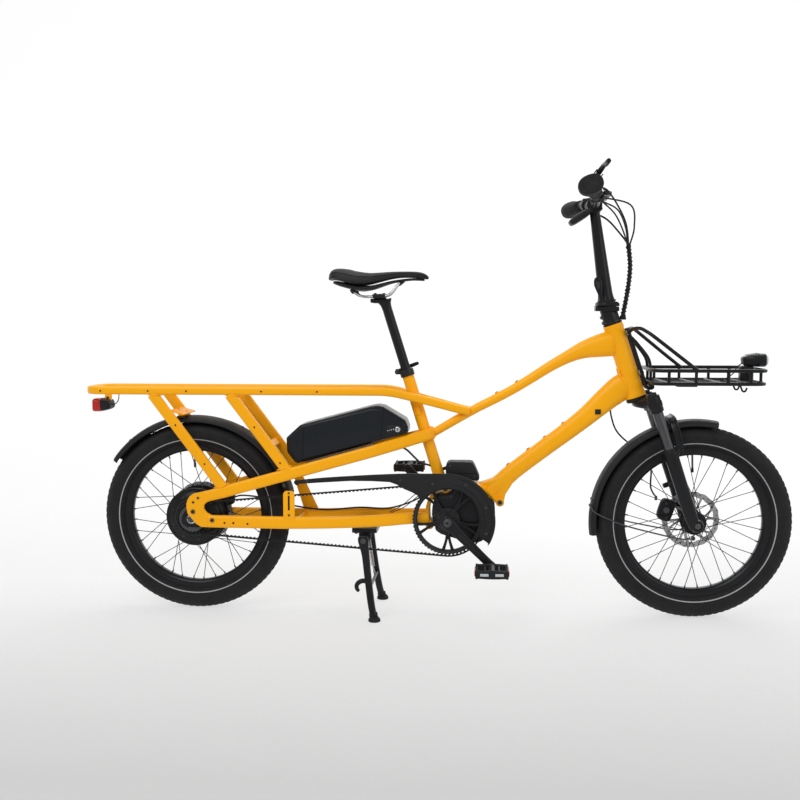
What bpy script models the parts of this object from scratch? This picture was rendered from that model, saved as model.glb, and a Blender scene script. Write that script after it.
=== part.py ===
"""Longtail cargo bicycle with a belt drive, mid motor, rear rack and folding handlebar stem.

Metres, +Z up, +X forward, +Y to the bicycle's left. Drawn with X measured from the rear axle;
part() moves every piece so that the middle of the bicycle's length is at X = 0.
"""
import math

import bmesh
import bpy
from mathutils import Vector

# ---- driving dimensions ----
WHEEL_R = 0.2675
WHEELBASE = 1.396
RIM_INNER_R = 0.187
WHEEL_STEPS = 32
HUB_STEPS = 20
BAR_CLEARANCE = 0.0006
RIM_OUTER_R = 0.2075
RACK_REAR_X = -0.300
ORIGIN_X = (RACK_REAR_X + WHEELBASE + WHEEL_R) / 2
GAP = 0.0004
REAR_AXLE = Vector((0.0, 0.0, WHEEL_R))
FRONT_AXLE = Vector((WHEELBASE, 0.0, WHEEL_R))
HEAD_TOP = Vector((1.166, 0.0, 0.811))
HEAD_BOTTOM = Vector((1.233, 0.0, 0.613))
STEER_DOWN = (HEAD_BOTTOM - HEAD_TOP).normalized()
STEER_FRONT = Vector((-STEER_DOWN.z, 0.0, STEER_DOWN.x))
HEAD_R = 0.0265
STEERER_R = 0.0143
CRANK = Vector((0.720, 0.0, 0.274))
CRANK_LENGTH = 0.170
CRANK_ANGLE = math.radians(-44.5)
BELT_Y = -0.055
BELT_HALF_W = 0.006
RING_BELT_R = 0.0995
COG_BELT_R = 0.0395
BELT_T = 0.004
SIDE_Y = 0.070
TUBE_HALF_W = 0.0095
RAIL_Z = 0.6285
RAIL_HALF_H = 0.0115
SEAT_TOP = Vector((0.602, 0.0, 0.6775))
SEAT_BOTTOM = Vector((0.695, 0.0, 0.381))
SEAT_DOWN = (SEAT_BOTTOM - SEAT_TOP).normalized()
POST_R = 0.0136
STAND_PIVOT = Vector((0.487, 0.0, 0.216))
FOLD_AXIS_Y = 0.027
FOLD_POINT = Vector((1.150, FOLD_AXIS_Y, 0.860))
STEM_FOOT = Vector((1.1480, 0.0, 0.866))
STEM_HEAD = Vector((1.1085, 0.0, 1.132))
LEG_Y = 0.060
LEG_FRONT = 0.0355
GRIP_INNER_Y = 0.195
GRIP_OUTER_Y = 0.318
LEVER_PIVOT = Vector((1.153, 0.134, 1.180))
RIGHT_LEVER_TURN = math.radians(52)
RIGHT_LEVER_DROP = 0.010
LEVER_CLAMP_CENTRE = Vector((1.0995, 0, 1.1465))
SHIFTER_INNER = Vector((1.0955, -0.1600, 1.1490))
SHIFTER_OUTER = Vector((1.0908, -0.1935, 1.1500))
SEAT_LEVER_PIVOT = Vector((0.574, 0.0125, 0.679))
LATCH_AXIS_Y = -0.0315
LATCH_AXIS_Z = 0.8665

ORANGE = (0.93, 0.41, 0.005)
BLACK = (0.016, 0.017, 0.019)
RUBBER = (0.022, 0.022, 0.023)
STEEL = (0.45, 0.45, 0.46)
PAINT = (ORANGE, 0.35, 0.0)
SATIN = (BLACK, 0.40, 0.5)
PLASTIC = (BLACK, 0.55, 0.0)
SOFT = (RUBBER, 0.85, 0.0)
METAL = (STEEL, 0.30, 1.0)


# ---- modelling helpers ----
def new_mesh(bm, name="solid"):
    bmesh.ops.recalc_face_normals(bm, faces=bm.faces)
    mesh = bpy.data.meshes.new(name)
    bm.to_mesh(mesh)
    bm.free()
    return mesh


def section(count, half_w, half_h, power):
    points = []
    for index in range(count):
        angle = 2 * math.pi * (index + 0.5) / count
        x, y = math.cos(angle), math.sin(angle)
        points.append((math.copysign(abs(x) ** (2 / power), x) * half_w,
                       math.copysign(abs(y) ** (2 / power), y) * half_h))
    return points


def per_point(value, count):
    return list(value) if isinstance(value, (list, tuple)) else [value] * count


def sweep(path, half_w, half_h=None, side=(0, 1, 0), count=8, power=2.0):
    """A closed bar along path: half_w lies along side, half_h across it."""
    path = [Vector(point) for point in path]
    total = len(path)
    widths = per_point(half_w, total)
    heights = per_point(half_w if half_h is None else half_h, total)
    bm = bmesh.new()
    rings = []
    for index, point in enumerate(path):
        before = (point - path[index - 1]).normalized() if index else None
        after = (path[index + 1] - point).normalized() if index < total - 1 else None
        tangent = ((before or after) + (after or before)).normalized()
        up = tangent.cross(Vector(side)).normalized()
        across = up.cross(tangent)
        outline = section(count, widths[index], heights[index], power)
        rings.append([bm.verts.new(point + across * x + up * y) for x, y in outline])
    for low, high in zip(rings, rings[1:]):
        for index in range(count):
            after = (index + 1) % count
            bm.faces.new((low[index], low[after], high[after], high[index]))
    bm.faces.new(rings[0])
    bm.faces.new(rings[-1])
    return new_mesh(bm)


def curve_through(points, steps=4):
    """Catmull-Rom points through the given ones."""
    points = [Vector(point) for point in points]
    ends = [2 * points[0] - points[1]] + points + [2 * points[-1] - points[-2]]
    result = []
    for index in range(len(points) - 1):
        a, b, c, d = ends[index:index + 4]
        for step in range(steps):
            t = step / steps
            result.append(0.5 * (2 * b + (c - a) * t + (2 * a - 5 * b + 4 * c - d) * t * t
                                 + (3 * b - 3 * c + d - a) * t ** 3))
    return result + [points[-1]]


def turned(centre, axis, profile, steps=24, closed=False):
    """Revolve (radius, along) points about an axis; a closed profile makes a ring."""
    axis = Vector(axis).normalized()
    helper = Vector((0, 0, 1)) if abs(axis.z) < 0.9 else Vector((1, 0, 0))
    first = (helper - axis * helper.dot(axis)).normalized()
    second = axis.cross(first)
    bm = bmesh.new()
    rings = []
    for radius, along in profile:
        middle = Vector(centre) + axis * along
        ring = []
        for step in range(steps):
            angle = 2 * math.pi * step / steps
            across = first * math.cos(angle) + second * math.sin(angle)
            ring.append(bm.verts.new(middle + across * radius))
        rings.append(ring)
    pairs = list(zip(rings, rings[1:]))
    if closed:
        pairs.append((rings[-1], rings[0]))
    else:
        bm.faces.new(rings[0])
        bm.faces.new(rings[-1])
    for low, high in pairs:
        for step in range(steps):
            after = (step + 1) % steps
            bm.faces.new((low[step], low[after], high[after], high[step]))
    return new_mesh(bm)


def rod(start, end, radius, steps=12, end_radius=None):
    start, end = Vector(start), Vector(end)
    return turned(start, end - start, [(radius, 0), (end_radius or radius, (end - start).length)], steps)


def tube(start, end, outer, inner, steps=16):
    length = (Vector(end) - Vector(start)).length
    profile = [(outer, 0), (outer, length), (inner, length), (inner, 0)]
    return turned(start, Vector(end) - Vector(start), profile, steps, closed=True)


def plate(outline, y_low, y_high):
    """Extrude an (x, z) outline along Y."""
    bm = bmesh.new()
    face = bm.faces.new([bm.verts.new((x, y_low, z)) for x, z in outline])
    grown = bmesh.ops.extrude_face_region(bm, geom=[face])
    moved = [item for item in grown["geom"] if isinstance(item, bmesh.types.BMVert)]
    bmesh.ops.translate(bm, verts=moved, vec=(0, y_high - y_low, 0))
    return new_mesh(bm)


def box(low, high):
    (x0, y0, z0), (x1, y1, z1) = low, high
    return plate([(x0, z0), (x1, z0), (x1, z1), (x0, z1)], y0, y1)


def combine(first, joined=(), cut=()):
    """Boolean union and difference of plain meshes, as one mesh."""
    base = bpy.data.objects.new("base", first)
    bpy.context.scene.collection.objects.link(base)
    helpers = [base]
    for operation, meshes in (("UNION", joined), ("DIFFERENCE", cut)):
        for mesh in meshes:
            helper = bpy.data.objects.new("helper", mesh)
            bpy.context.scene.collection.objects.link(helper)
            helpers.append(helper)
            modifier = base.modifiers.new("Boolean", "BOOLEAN")
            modifier.operation = operation
            modifier.solver = "EXACT"
            modifier.object = helper
    graph = bpy.context.evaluated_depsgraph_get()
    result = bpy.data.meshes.new_from_object(base.evaluated_get(graph))
    for helper in helpers:
        bpy.data.objects.remove(helper)
    return result


def mirrored(mesh):
    """The same mesh on the other side of the bicycle."""
    bm = bmesh.new()
    bm.from_mesh(mesh)
    for vert in bm.verts:
        vert.co.y = -vert.co.y
    bmesh.ops.reverse_faces(bm, faces=bm.faces)
    copy = bpy.data.meshes.new("mirrored")
    bm.to_mesh(copy)
    bm.free()
    return copy


def part(name, mesh, finish, origin=(0, 0, 0)):
    """One named piece with its own material; origin is a point on its joint's axis."""
    origin = Vector(origin)
    bm = bmesh.new()
    bm.from_mesh(mesh)
    bmesh.ops.translate(bm, verts=bm.verts, vec=-origin)
    bmesh.ops.remove_doubles(bm, verts=bm.verts, dist=0.000001)
    bm.to_mesh(mesh)
    bm.free()
    mesh.name = name
    mesh.shade_smooth()
    mesh.set_sharp_from_angle(angle=math.radians(32))
    colour, roughness, metallic = finish
    material = bpy.data.materials.new(name)
    material.use_nodes = True
    shader = material.node_tree.nodes["Principled BSDF"]
    shader.inputs["Base Color"].default_value = (*colour, 1)
    shader.inputs["Roughness"].default_value = roughness
    shader.inputs["Metallic"].default_value = metallic
    mesh.materials.clear()
    mesh.materials.append(material)
    made = bpy.data.objects.new(name, mesh)
    made.location = origin - Vector((ORIGIN_X, 0, 0))
    bpy.context.scene.collection.objects.link(made)
    return made


def steer(front, y, down):
    """A point given in the fork's own directions from the bottom of the head tube."""
    return HEAD_BOTTOM + STEER_FRONT * front + STEER_DOWN * down + Vector((0, y, 0))


def around(centre, radius, degrees, y=0.0):
    angle = math.radians(degrees)
    return Vector((centre.x + radius * math.cos(angle), y, centre.z + radius * math.sin(angle)))


# ---- frame ----
def make_head_and_top_tube():
    head = rod(HEAD_TOP, HEAD_BOTTOM, HEAD_R, 24, HEAD_R + 0.001)
    spine = [(0.688, 0, 0.5165), (0.80, 0, 0.581), (0.90, 0, 0.634), (1.00, 0, 0.698),
             (1.05, 0, 0.727), (1.10, 0, 0.746), (1.175, 0, 0.762)]
    top = sweep(spine, [0.017, 0.0165, 0.0165, 0.0175, 0.019, 0.021, 0.024],
                [0.0115, 0.0125, 0.013, 0.0145, 0.017, 0.027, 0.036], count=12)
    bore = rod(HEAD_TOP - STEER_DOWN * 0.01, HEAD_BOTTOM + STEER_DOWN * 0.01, STEERER_R + 0.003, 16)
    part("head_and_top_tube", combine(head, [top], [bore]), PAINT)


def make_down_tube():
    spine = [(0.846, 0, 0.352), (0.90, 0, 0.4035), (1.00, 0, 0.4815), (1.10, 0, 0.560),
             (1.15, 0, 0.608), (1.215, 0, 0.662)]
    body = sweep(spine, [0.026, 0.024, 0.0225, 0.0225, 0.0235, 0.024],
                 [0.026, 0.024, 0.024, 0.0255, 0.032, 0.036], count=12)
    clear = rod(HEAD_TOP, HEAD_BOTTOM + STEER_DOWN * 0.01, HEAD_R + GAP, 24, HEAD_R + 0.001 + GAP)
    clear_low = rod(HEAD_BOTTOM + STEER_DOWN * 0.0004, HEAD_BOTTOM + STEER_DOWN * 0.1, 0.08, 16)
    part("down_tube", combine(body, cut=[clear, clear_low]), PAINT)


def make_seat_tube():
    body = rod(SEAT_TOP, SEAT_BOTTOM, 0.0162, 24, 0.0170)
    bore = rod(SEAT_TOP - SEAT_DOWN * 0.01, SEAT_TOP + SEAT_DOWN * 0.285, POST_R + 0.0005, 16)
    part("seat_tube", combine(body, cut=[bore]), PAINT)


def make_motor_cradle():
    arc = [(0.853, 0, 0.324), (0.835, 0, 0.345), (0.805, 0, 0.364), (0.760, 0, 0.371), (0.715, 0, 0.367),
           (0.682, 0, 0.345), (0.663, 0, 0.305), (0.664, 0, 0.256)]
    band = sweep(arc, 0.034, 0.006, power=6)
    lugs = [rod(Vector((x, -0.036, z)), Vector((x, 0.036, z)), 0.012, 16)
            for x, z in ((0.863, 0.3205), (0.712, 0.356), (0.668, 0.254))]
    neck = rod((0.694, 0, 0.3785), (0.700, 0, 0.362), 0.0175, 16)
    part("motor_cradle", combine(band, lugs + [neck]), PAINT)


def side_frame():
    """The drive side's dropout plate, chainstay, long stay and two struts, drawn at -Y."""
    y = -SIDE_Y
    stay = [(0.045, y, 0.3325), (0.15, y, 0.362), (0.50, y, 0.4605), (0.58, -0.049, 0.483),
            (0.645, -0.0285, 0.5015)]
    long_stay = sweep(stay, TUBE_HALF_W, 0.0165, power=3)
    chain = [(0.05, y, 0.2625), (0.27, y, 0.2615), (0.45, y, 0.266), (0.55, -0.054, 0.2695),
             (0.60, -0.038, 0.272),
             (0.6455, -0.034, 0.274)]
    chainstay = sweep(chain, TUBE_HALF_W, [0.0175, 0.0175, 0.0165, 0.0165, 0.016, 0.016], power=3)
    outline = [(-0.012, 0.303), (-0.007, 0.326), (0.010, 0.341), (0.050, 0.350), (0.110, 0.366),
               (0.110, 0.338),
               (0.060, 0.323), (0.038, 0.309), (0.038, 0.297), (0.060, 0.279), (0.110, 0.277),
               (0.110, 0.2455),
               (0.030, 0.2465), (0.008, 0.264), (-0.009, 0.284)]
    dropout = plate(outline, y - 0.0065, y + 0.0030)
    rear_strut = sweep([(-0.104, y, 0.6285), (0.092, y, 0.358)], TUBE_HALF_W - 0.0003, 0.0150, power=3)
    front_strut = sweep([(0.115, y, 0.6285), (0.275, y, 0.406)], TUBE_HALF_W - 0.0003, 0.0150, power=3)
    rail_cut = box((-0.3, -0.2, RAIL_Z - RAIL_HALF_H - GAP), (0.4, 0.2, 0.8))
    axle_slot = rod((0, -0.10, WHEEL_R), (0, -0.05, WHEEL_R), 0.0112, 16)
    return long_stay, [chainstay, dropout, rear_strut, front_strut], [rail_cut, axle_slot]


def make_rear_frames():
    base, joined, cut = side_frame()
    slotted = combine(plate([(0.263, 0.270), (0.295, 0.270), (0.295, 0.344), (0.289, 0.352), (0.269, 0.352),
                             (0.263, 0.344)], -0.0785, -0.0745),
                      cut=[box((0.2755, -0.09, 0.296), (0.2825, -0.06, 0.340))])
    part("rear_frame_right", combine(base, joined + [slotted], cut), PAINT)
    base, joined, cut = side_frame()
    brace = combine(plate([(0.262, 0.392), (0.286, 0.392), (0.345, 0.268), (0.300, 0.268)], -0.073, -0.067),
                    cut=[rod((0.288, -0.09, 0.330), (0.288, -0.05, 0.330), 0.006, 12)])
    strut_bridge = sweep([(-0.038, -0.064, 0.5665), (-0.038, 0.0596, 0.5665)], 0.022, 0.0022,
                         side=(1, 0, -0.25), power=6)
    low_bridge = sweep([(0.300, -0.064, 0.262), (0.300, 0.0600, 0.262)], 0.009, 0.009, side=(1, 0, 0))
    mid_bridge = sweep([(0.223, -0.064, 0.478), (0.223, 0.0598, 0.478)], 0.010, 0.0022,
                       side=(0.58, 0, -0.8), power=6)
    mesh = combine(base, joined + [brace, strut_bridge, low_bridge, mid_bridge], cut)
    part("rear_frame_left", mirrored(mesh), PAINT)


def make_rack_rails():
    y, z = SIDE_Y, RAIL_Z
    loop = [(0.765, -0.0285, 0.573), (0.70, -0.0285, 0.5905), (0.63, -0.038, 0.6085),
            (0.575, -0.060, 0.623),
            (0.545, -y, z), (0.15, -y, z), (-0.245, -y, z), (-0.272, -0.063, z), (-0.287, -0.045, z),
            (-0.290, 0, z)]
    half = loop[:-1]
    path = half + [loop[-1]] + [(px, -py, pz) for px, py, pz in reversed(half)]
    rails = sweep(path, RAIL_HALF_H, 0.010, side=(0, 0, 1), power=3)
    bars = [sweep([(x, -0.066, z), (x, 0.066, z)], 0.012, 0.004, side=(1, 0, 0), power=4)
            for x in (-0.163, -0.04, 0.13, 0.30, 0.46)]
    part("rack_rails", combine(rails, bars), PAINT)


# ---- steering and fork ----
def make_fork():
    steerer = rod(steer(0, 0, -0.2400), steer(0, 0, 0.010), STEERER_R, 16)
    race = rod(steer(0, 0, GAP), steer(0, 0, 0.012), 0.0265, 24)
    crown_path = [steer(0.0355, -LEG_Y, 0.030), steer(0.026, -0.044, 0.022), steer(0.012, -0.020, 0.016),
                  steer(0.012, 0.020, 0.016), steer(0.026, 0.044, 0.022), steer(0.0355, LEG_Y, 0.030)]
    crown = sweep(crown_path, [0.019, 0.021, 0.026, 0.026, 0.021, 0.019],
                  [0.017, 0.015, 0.0125, 0.0125, 0.015, 0.017],
                  side=STEER_FRONT, power=3)
    legs = []
    for y in (-LEG_Y, LEG_Y):
        legs.append(rod(steer(LEG_FRONT, y, 0.008), steer(LEG_FRONT, y, 0.050), 0.0182, 16))
        legs.append(rod(steer(LEG_FRONT, y, 0.020), steer(LEG_FRONT, y, 0.235), 0.0142, 16))
    part("fork_crown", combine(steerer, [race, crown] + legs), SATIN, HEAD_BOTTOM)

    legs, bores = [], []
    for y in (-LEG_Y, LEG_Y):
        sign = math.copysign(1, y)
        legs.append(sweep([steer(LEG_FRONT, y, 0.160), steer(LEG_FRONT, y, 0.166),
                           steer(LEG_FRONT, y, 0.30),
                           steer(LEG_FRONT + 0.001, y + 0.002 * sign, 0.375),
                           steer(LEG_FRONT + 0.002, y + 0.003 * sign, 0.392)],
                          [0.0180, 0.0195, 0.0190, 0.0135, 0.011], [0.0180, 0.0195, 0.0190, 0.0165, 0.012],
                          count=12))
        legs.append(rod(FRONT_AXLE + Vector((0, 0.0508 * sign, 0)),
                        FRONT_AXLE + Vector((0, 0.074 * sign, 0)), 0.0165))
        bores.append(rod(steer(LEG_FRONT, y, 0.15), steer(LEG_FRONT, y, 0.305), 0.0148, 16))
    arch = [steer(0.058, -0.066, 0.178), steer(0.067, -0.062, 0.135), steer(0.069, -0.050, 0.098),
            steer(0.069, -0.026, 0.082), steer(0.069, 0.026, 0.082), steer(0.069, 0.050, 0.098),
            steer(0.067, 0.062, 0.135), steer(0.058, 0.066, 0.178)]
    foot = [sweep([steer(0.040, y, 0.175), steer(0.060, y, 0.170)], 0.013, 0.008, power=4) for y in (-0.062,
                                                                                                     0.062)]
    arch = sweep(arch, 0.011, 0.0045, side=STEER_FRONT, power=4)
    part("fork_lowers", combine(legs[0], legs[1:] + foot + [arch], bores), SATIN, FRONT_AXLE)
    shaft = rod(FRONT_AXLE + Vector((0, -0.0478, 0)), FRONT_AXLE + Vector((0, 0.0478, 0)), 0.0055, 16)
    part("front_axle", shaft, METAL, FRONT_AXLE)


def make_front_caliper():
    body = combine(box((1.306, 0.0270, 0.262), (1.3495, 0.0520, 0.326)),
                   cut=[turned(FRONT_AXLE + Vector((0, 0.0352, 0)), (0, 1, 0),
                               [(0.0830, 0), (0.0830, 0.0046)], 32)])
    part("front_caliper", body, SATIN, FRONT_AXLE)


def mudguard(centre, start, end, radius, half_width, steps):
    """An arched strip: a shallow channel turned about the axle from start to end degrees."""
    profile = [(radius - 0.004, half_width), (radius + 0.004, half_width * 0.62), (radius + 0.0065, 0.0),
               (radius + 0.004, -half_width * 0.62), (radius - 0.004, -half_width),
               (radius - 0.006, -half_width + 0.0015), (radius + 0.0015, -half_width * 0.60),
               (radius + 0.004, 0.0),
               (radius + 0.0015, half_width * 0.60), (radius - 0.006, half_width - 0.0015)]
    bm = bmesh.new()
    rings = []
    for step in range(steps + 1):
        degrees = start + (end - start) * step / steps
        rings.append([bm.verts.new(around(centre, r, degrees, y)) for r, y in profile])
    for low, high in zip(rings, rings[1:]):
        for index in range(len(profile)):
            after = (index + 1) % len(profile)
            bm.faces.new((low[index], low[after], high[after], high[index]))
    bm.faces.new(rings[0])
    bm.faces.new(rings[-1])
    return new_mesh(bm)


def make_mudguards():
    rear = mudguard(REAR_AXLE, 14, 146, 0.2815, 0.036, 16)
    part("rear_mudguard", rear, PLASTIC)
    front = mudguard(FRONT_AXLE, 78, 170, 0.2800, 0.035, 16)
    flap = mudguard(FRONT_AXLE, 166, 188, 0.2800, 0.0345, 3)
    stays = []
    for sign in (-1, 1):
        path = [around(FRONT_AXLE, 0.281, 172, 0.033 * sign), (1.295, 0.046 * sign, 0.207),
                (1.345, 0.053 * sign, 0.2120), (1.386, 0.0700 * sign, 0.2270)]
        stays.append(sweep(path, 0.0022, side=(0, 1, 0), count=6))
    part("front_mudguard", combine(front, [flap] + stays), PLASTIC, FRONT_AXLE)


def make_stem():
    top = -(HEAD_TOP - HEAD_BOTTOM).length - GAP
    bore_r, wall_r, roof, height = STEERER_R + GAP, 0.0228, 0.0332, 0.0460
    profile = [(bore_r, roof), (bore_r, 0.0), (wall_r, 0.0), (wall_r, height)]
    clamp = turned(steer(0, 0, top), -STEER_DOWN, profile, 24)
    table = box((1.116, -0.027, 0.8465), (1.180, 0.0195, 0.8597))
    ears = [box((x, 0.0150, 0.8470), (x + 0.016, 0.0320, 0.8595)) for x in (1.119, 1.160)]
    pin = rod((1.121, FOLD_AXIS_Y, 0.860), (1.174, FOLD_AXIS_Y, 0.860), 0.0032, 12)
    bearing = [rod((x, FOLD_AXIS_Y, 0.860), (x + 0.014, FOLD_AXIS_Y, 0.860), 0.0062, 12) for x in (1.120,
                                                                                                   1.161)]
    above = box((1.10, -0.05, 0.8588), (1.22, 0.05, 0.90))
    hinge_room = box((1.130, 0.0190, 0.8480), (1.162, 0.05, 0.90))
    socket = combine(clamp, cut=[above, hinge_room])
    part("stem_base", combine(table, ears + bearing + [pin, socket]), SATIN, HEAD_BOTTOM)

    flange = box((1.118, -0.027, 0.8603), (1.180, 0.0150, 0.8735))
    hinge = combine(tube((1.1360, FOLD_AXIS_Y, 0.860), (1.1590, FOLD_AXIS_Y, 0.860), 0.0070, 0.0036, 12),
                    [box((1.1362, 0.0120, 0.8625), (1.1588, 0.0255, 0.8725))],
                    [rod((1.13, FOLD_AXIS_Y, 0.860), (1.17, FOLD_AXIS_Y, 0.860), 0.0036, 12)])
    skirt = rod((1.1485, -0.003, 0.870), (1.1455, 0, 0.893), 0.0225, 24, 0.0200)
    post = rod(STEM_FOOT, STEM_HEAD, 0.0202, 24, 0.0132)
    low_cut = box((1.10, -0.05, 0.80), (1.20, 0.05, 0.8603))
    collar = tube(STEM_HEAD + Vector((0, -0.024, 0)), STEM_HEAD + Vector((0, 0.024, 0)), 0.0205, 0.0133, 24)
    bar_bore = rod(STEM_HEAD + Vector((0, -0.03, 0)), STEM_HEAD + Vector((0, 0.03, 0)), 0.0133, 24)
    mesh = combine(flange, [skirt, post, collar], [bar_bore, low_cut])
    part("stem_post", combine(mesh, [hinge]), SATIN, FOLD_POINT)

    blade = sweep([(1.132, -0.0300, 0.868), (1.128, -0.0320, 0.888), (1.1225, -0.0300, 0.912),
                   (1.119, -0.0285, 0.937)],
                  [0.0030, 0.0030, 0.0035, 0.0030], [0.0060, 0.0050, 0.0120, 0.0065], power=3)
    cam = rod((1.1245, LATCH_AXIS_Y, LATCH_AXIS_Z), (1.1420, LATCH_AXIS_Y, LATCH_AXIS_Z), 0.0042, 12)
    part("stem_latch", combine(cam, [blade]), SATIN, (1.132, LATCH_AXIS_Y, LATCH_AXIS_Z))


def bar_solid(grow):
    """The handlebar, thicker all round by grow."""
    left = [Vector((1.1085, 0.030, 1.132)), Vector((1.107, 0.075, 1.136)), Vector((1.100, 0.130, 1.146)),
            Vector((1.093, 0.175, 1.150)), Vector((1.086, 0.240, 1.150)), Vector((1.080, 0.312, 1.149))]
    right = [Vector((point.x, -point.y, point.z)) for point in reversed(left)]
    tip, bend, middle = 0.0110 + grow, 0.0114 + grow, 0.0127 + grow
    radii = [tip] * 3 + [tip, bend] + [middle] * 3 + [bend, tip] + [tip] * 3
    return sweep(right + [Vector((1.1085, 0.0, 1.132))] + left, radii, side=(1, 0, 0), count=12)


def make_handlebar():
    part("handlebar", bar_solid(0.0), SATIN, FOLD_POINT)


def make_grips():
    core = sweep([(1.0905, GRIP_INNER_Y, 1.150), (1.086, 0.240, 1.150), (1.0805, 0.304, 1.149),
                  (1.0800, GRIP_OUTER_Y, 1.149)], [0.0165, 0.0165, 0.0180, 0.0165], side=(1, 0, 0),
                  count=12)
    wing = sweep([(1.077, GRIP_INNER_Y + 0.006, 1.147), (1.068, 0.245, 1.1455), (1.0585, 0.290, 1.1410),
                  (1.0600, GRIP_OUTER_Y - 0.002, 1.1425)], [0.010, 0.020, 0.0300, 0.022],
                 [0.009, 0.0105, 0.0125, 0.0095], side=(1, 0, 0.28), count=12)
    grip = combine(core, [wing], [bar_solid(BAR_CLEARANCE)])
    part("grip_right", mirrored(grip), SOFT, FOLD_POINT)
    part("grip_left", grip, SOFT, FOLD_POINT)


def swung_up(point):
    """Where a point of the right brake lever lies once that lever stands up more than the left one."""
    from_bar = Vector(point) - LEVER_CLAMP_CENTRE
    turn, lift = math.cos(RIGHT_LEVER_TURN), math.sin(RIGHT_LEVER_TURN)
    forward = from_bar.x * turn - from_bar.z * lift
    upward = from_bar.x * lift + from_bar.z * turn - RIGHT_LEVER_DROP
    return LEVER_CLAMP_CENTRE + Vector((forward, from_bar.y, upward))


def swung_mesh(mesh):
    for vert in mesh.vertices:
        vert.co = swung_up(vert.co)
    return mesh


def make_brake_controls():
    band = rod((1.1015, 0.1180, 1.1440), (1.0988, 0.1380, 1.1468), 0.0168, 16)
    arm = sweep([(1.108, 0.1280, 1.1560), (1.130, 0.1300, 1.170), (1.152, 0.1340, 1.1800)],
                [0.009, 0.010, 0.010], [0.008, 0.0085, 0.0085], side=(0, 1, 0), power=3)
    reservoir = sweep([(1.128, 0.096, 1.1700), (1.134, 0.130, 1.1740), (1.140, 0.158, 1.1765)],
                      [0.0095, 0.0105, 0.009],
                      [0.0095, 0.0105, 0.008], side=(1, 0, 0), power=3)
    slot = box((1.142, 0.1275, 1.150), (1.20, 0.1425, 1.200))
    cylinder = combine(arm, [reservoir], [slot])
    right = combine(mirrored(band), [swung_mesh(mirrored(cylinder))], [bar_solid(BAR_CLEARANCE)])
    part("brake_perch_right", right, SATIN, FOLD_POINT)
    part("brake_perch_left", combine(band, [cylinder], [bar_solid(BAR_CLEARANCE)]), SATIN, FOLD_POINT)
    pivot = LEVER_PIVOT
    blade = sweep([pivot + Vector((-0.006, 0, 0)), pivot + Vector((0.008, 0.006, 0.001)),
                   (1.168, 0.175, 1.1815),
                   (1.163, 0.235, 1.1790), (1.168, 0.275, 1.1790)],
                  [0.0055, 0.0055, 0.0065, 0.0065, 0.0060], [0.0045, 0.0045, 0.0042, 0.0042, 0.0055],
                  side=(0.3, 0, 1), power=3)
    part("brake_lever_right", swung_mesh(mirrored(blade)), SATIN, swung_up((pivot.x, -pivot.y, pivot.z)))
    part("brake_lever_left", blade, SATIN, pivot)
    start, end = SHIFTER_INNER, SHIFTER_OUTER
    part("twist_shifter", tube(start, end, 0.0185, 0.0144, 16), SOFT, start)


def make_cables():
    route = curve_through([(1.132, -0.040, 1.130), (1.168, -0.022, 1.110), (1.192, -0.006, 1.060),
                           (1.203, 0, 1.020),
                           (1.209, 0, 0.964), (1.203, 0, 0.900), (1.1935, 0, 0.8410), (1.1925, 0, 0.8300)],
                           3)
    bundle = sweep(route, 0.0065, side=(0, 1, 0))
    part("control_cables", bundle, PLASTIC, FOLD_POINT)
    hose = curve_through([(1.166, 0.010, 0.5860), (1.172, 0.016, 0.545), (1.195, 0.030, 0.505),
                          (1.226, 0.040, 0.478), (1.268, 0.0460, 0.450), (1.2850, 0.0460, 0.400),
                          (1.2850, 0.044, 0.360), (1.300, 0.040, 0.3300)], 3)
    part("front_brake_hose", sweep(hose, 0.0023, side=(0, 1, 0), count=6), PLASTIC, FRONT_AXLE)


# ---- wheels ----
def make_tyre(name, centre):
    profile = [(0.2085, -0.0160), (0.225, -0.0290), (0.243, -0.0305), (0.2595, -0.0185), (WHEEL_R, -0.0040),
               (WHEEL_R, 0.0040), (0.2595, 0.0185), (0.243, 0.0305), (0.225, 0.0290), (0.2085, 0.0160),
               (0.2085, 0.0120), (0.2560, 0.0), (0.2085, -0.0120)]
    part(name, turned(centre, (0, 1, 0), profile, WHEEL_STEPS, closed=True), SOFT, centre)


def make_rim(name, centre):
    profile = [(RIM_INNER_R, -0.0090), (0.1950, -0.0155), (RIM_OUTER_R, -0.0155), (RIM_OUTER_R, 0.0155),
               (0.1950, 0.0155), (RIM_INNER_R, 0.0090)]
    part(name, turned(centre, (0, 1, 0), profile, WHEEL_STEPS, closed=True), SATIN, centre)


def make_spokes(centre, flange_r, flange_y, sleeve_r, count, lean):
    outer_r, skin_r, half = flange_r + 0.003, sleeve_r + 0.0012, 0.0016
    profile = [(sleeve_r, -flange_y - half), (outer_r, -flange_y - half), (outer_r, half - flange_y),
               (skin_r, half - flange_y), (skin_r, flange_y - half), (outer_r, flange_y - half),
               (outer_r, flange_y + half), (sleeve_r, flange_y + half)]
    shell = turned(centre, (0, 1, 0), profile, HUB_STEPS, closed=True)
    spokes = []
    for index in range(count):
        side = -1 if index % 2 else 1
        turn = 1 if (index // 2) % 2 else -1
        rim_angle = 360 * (index + 0.5) / count
        start = around(centre, flange_r - 0.001, rim_angle + turn * lean, side * flange_y + turn * 0.0012)
        end = around(centre, RIM_INNER_R - 0.0020, rim_angle, side * 0.004 + turn * 0.0012)
        spokes.append(sweep([start, end], 0.0011, count=3))
    return combine(shell, spokes)


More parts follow.
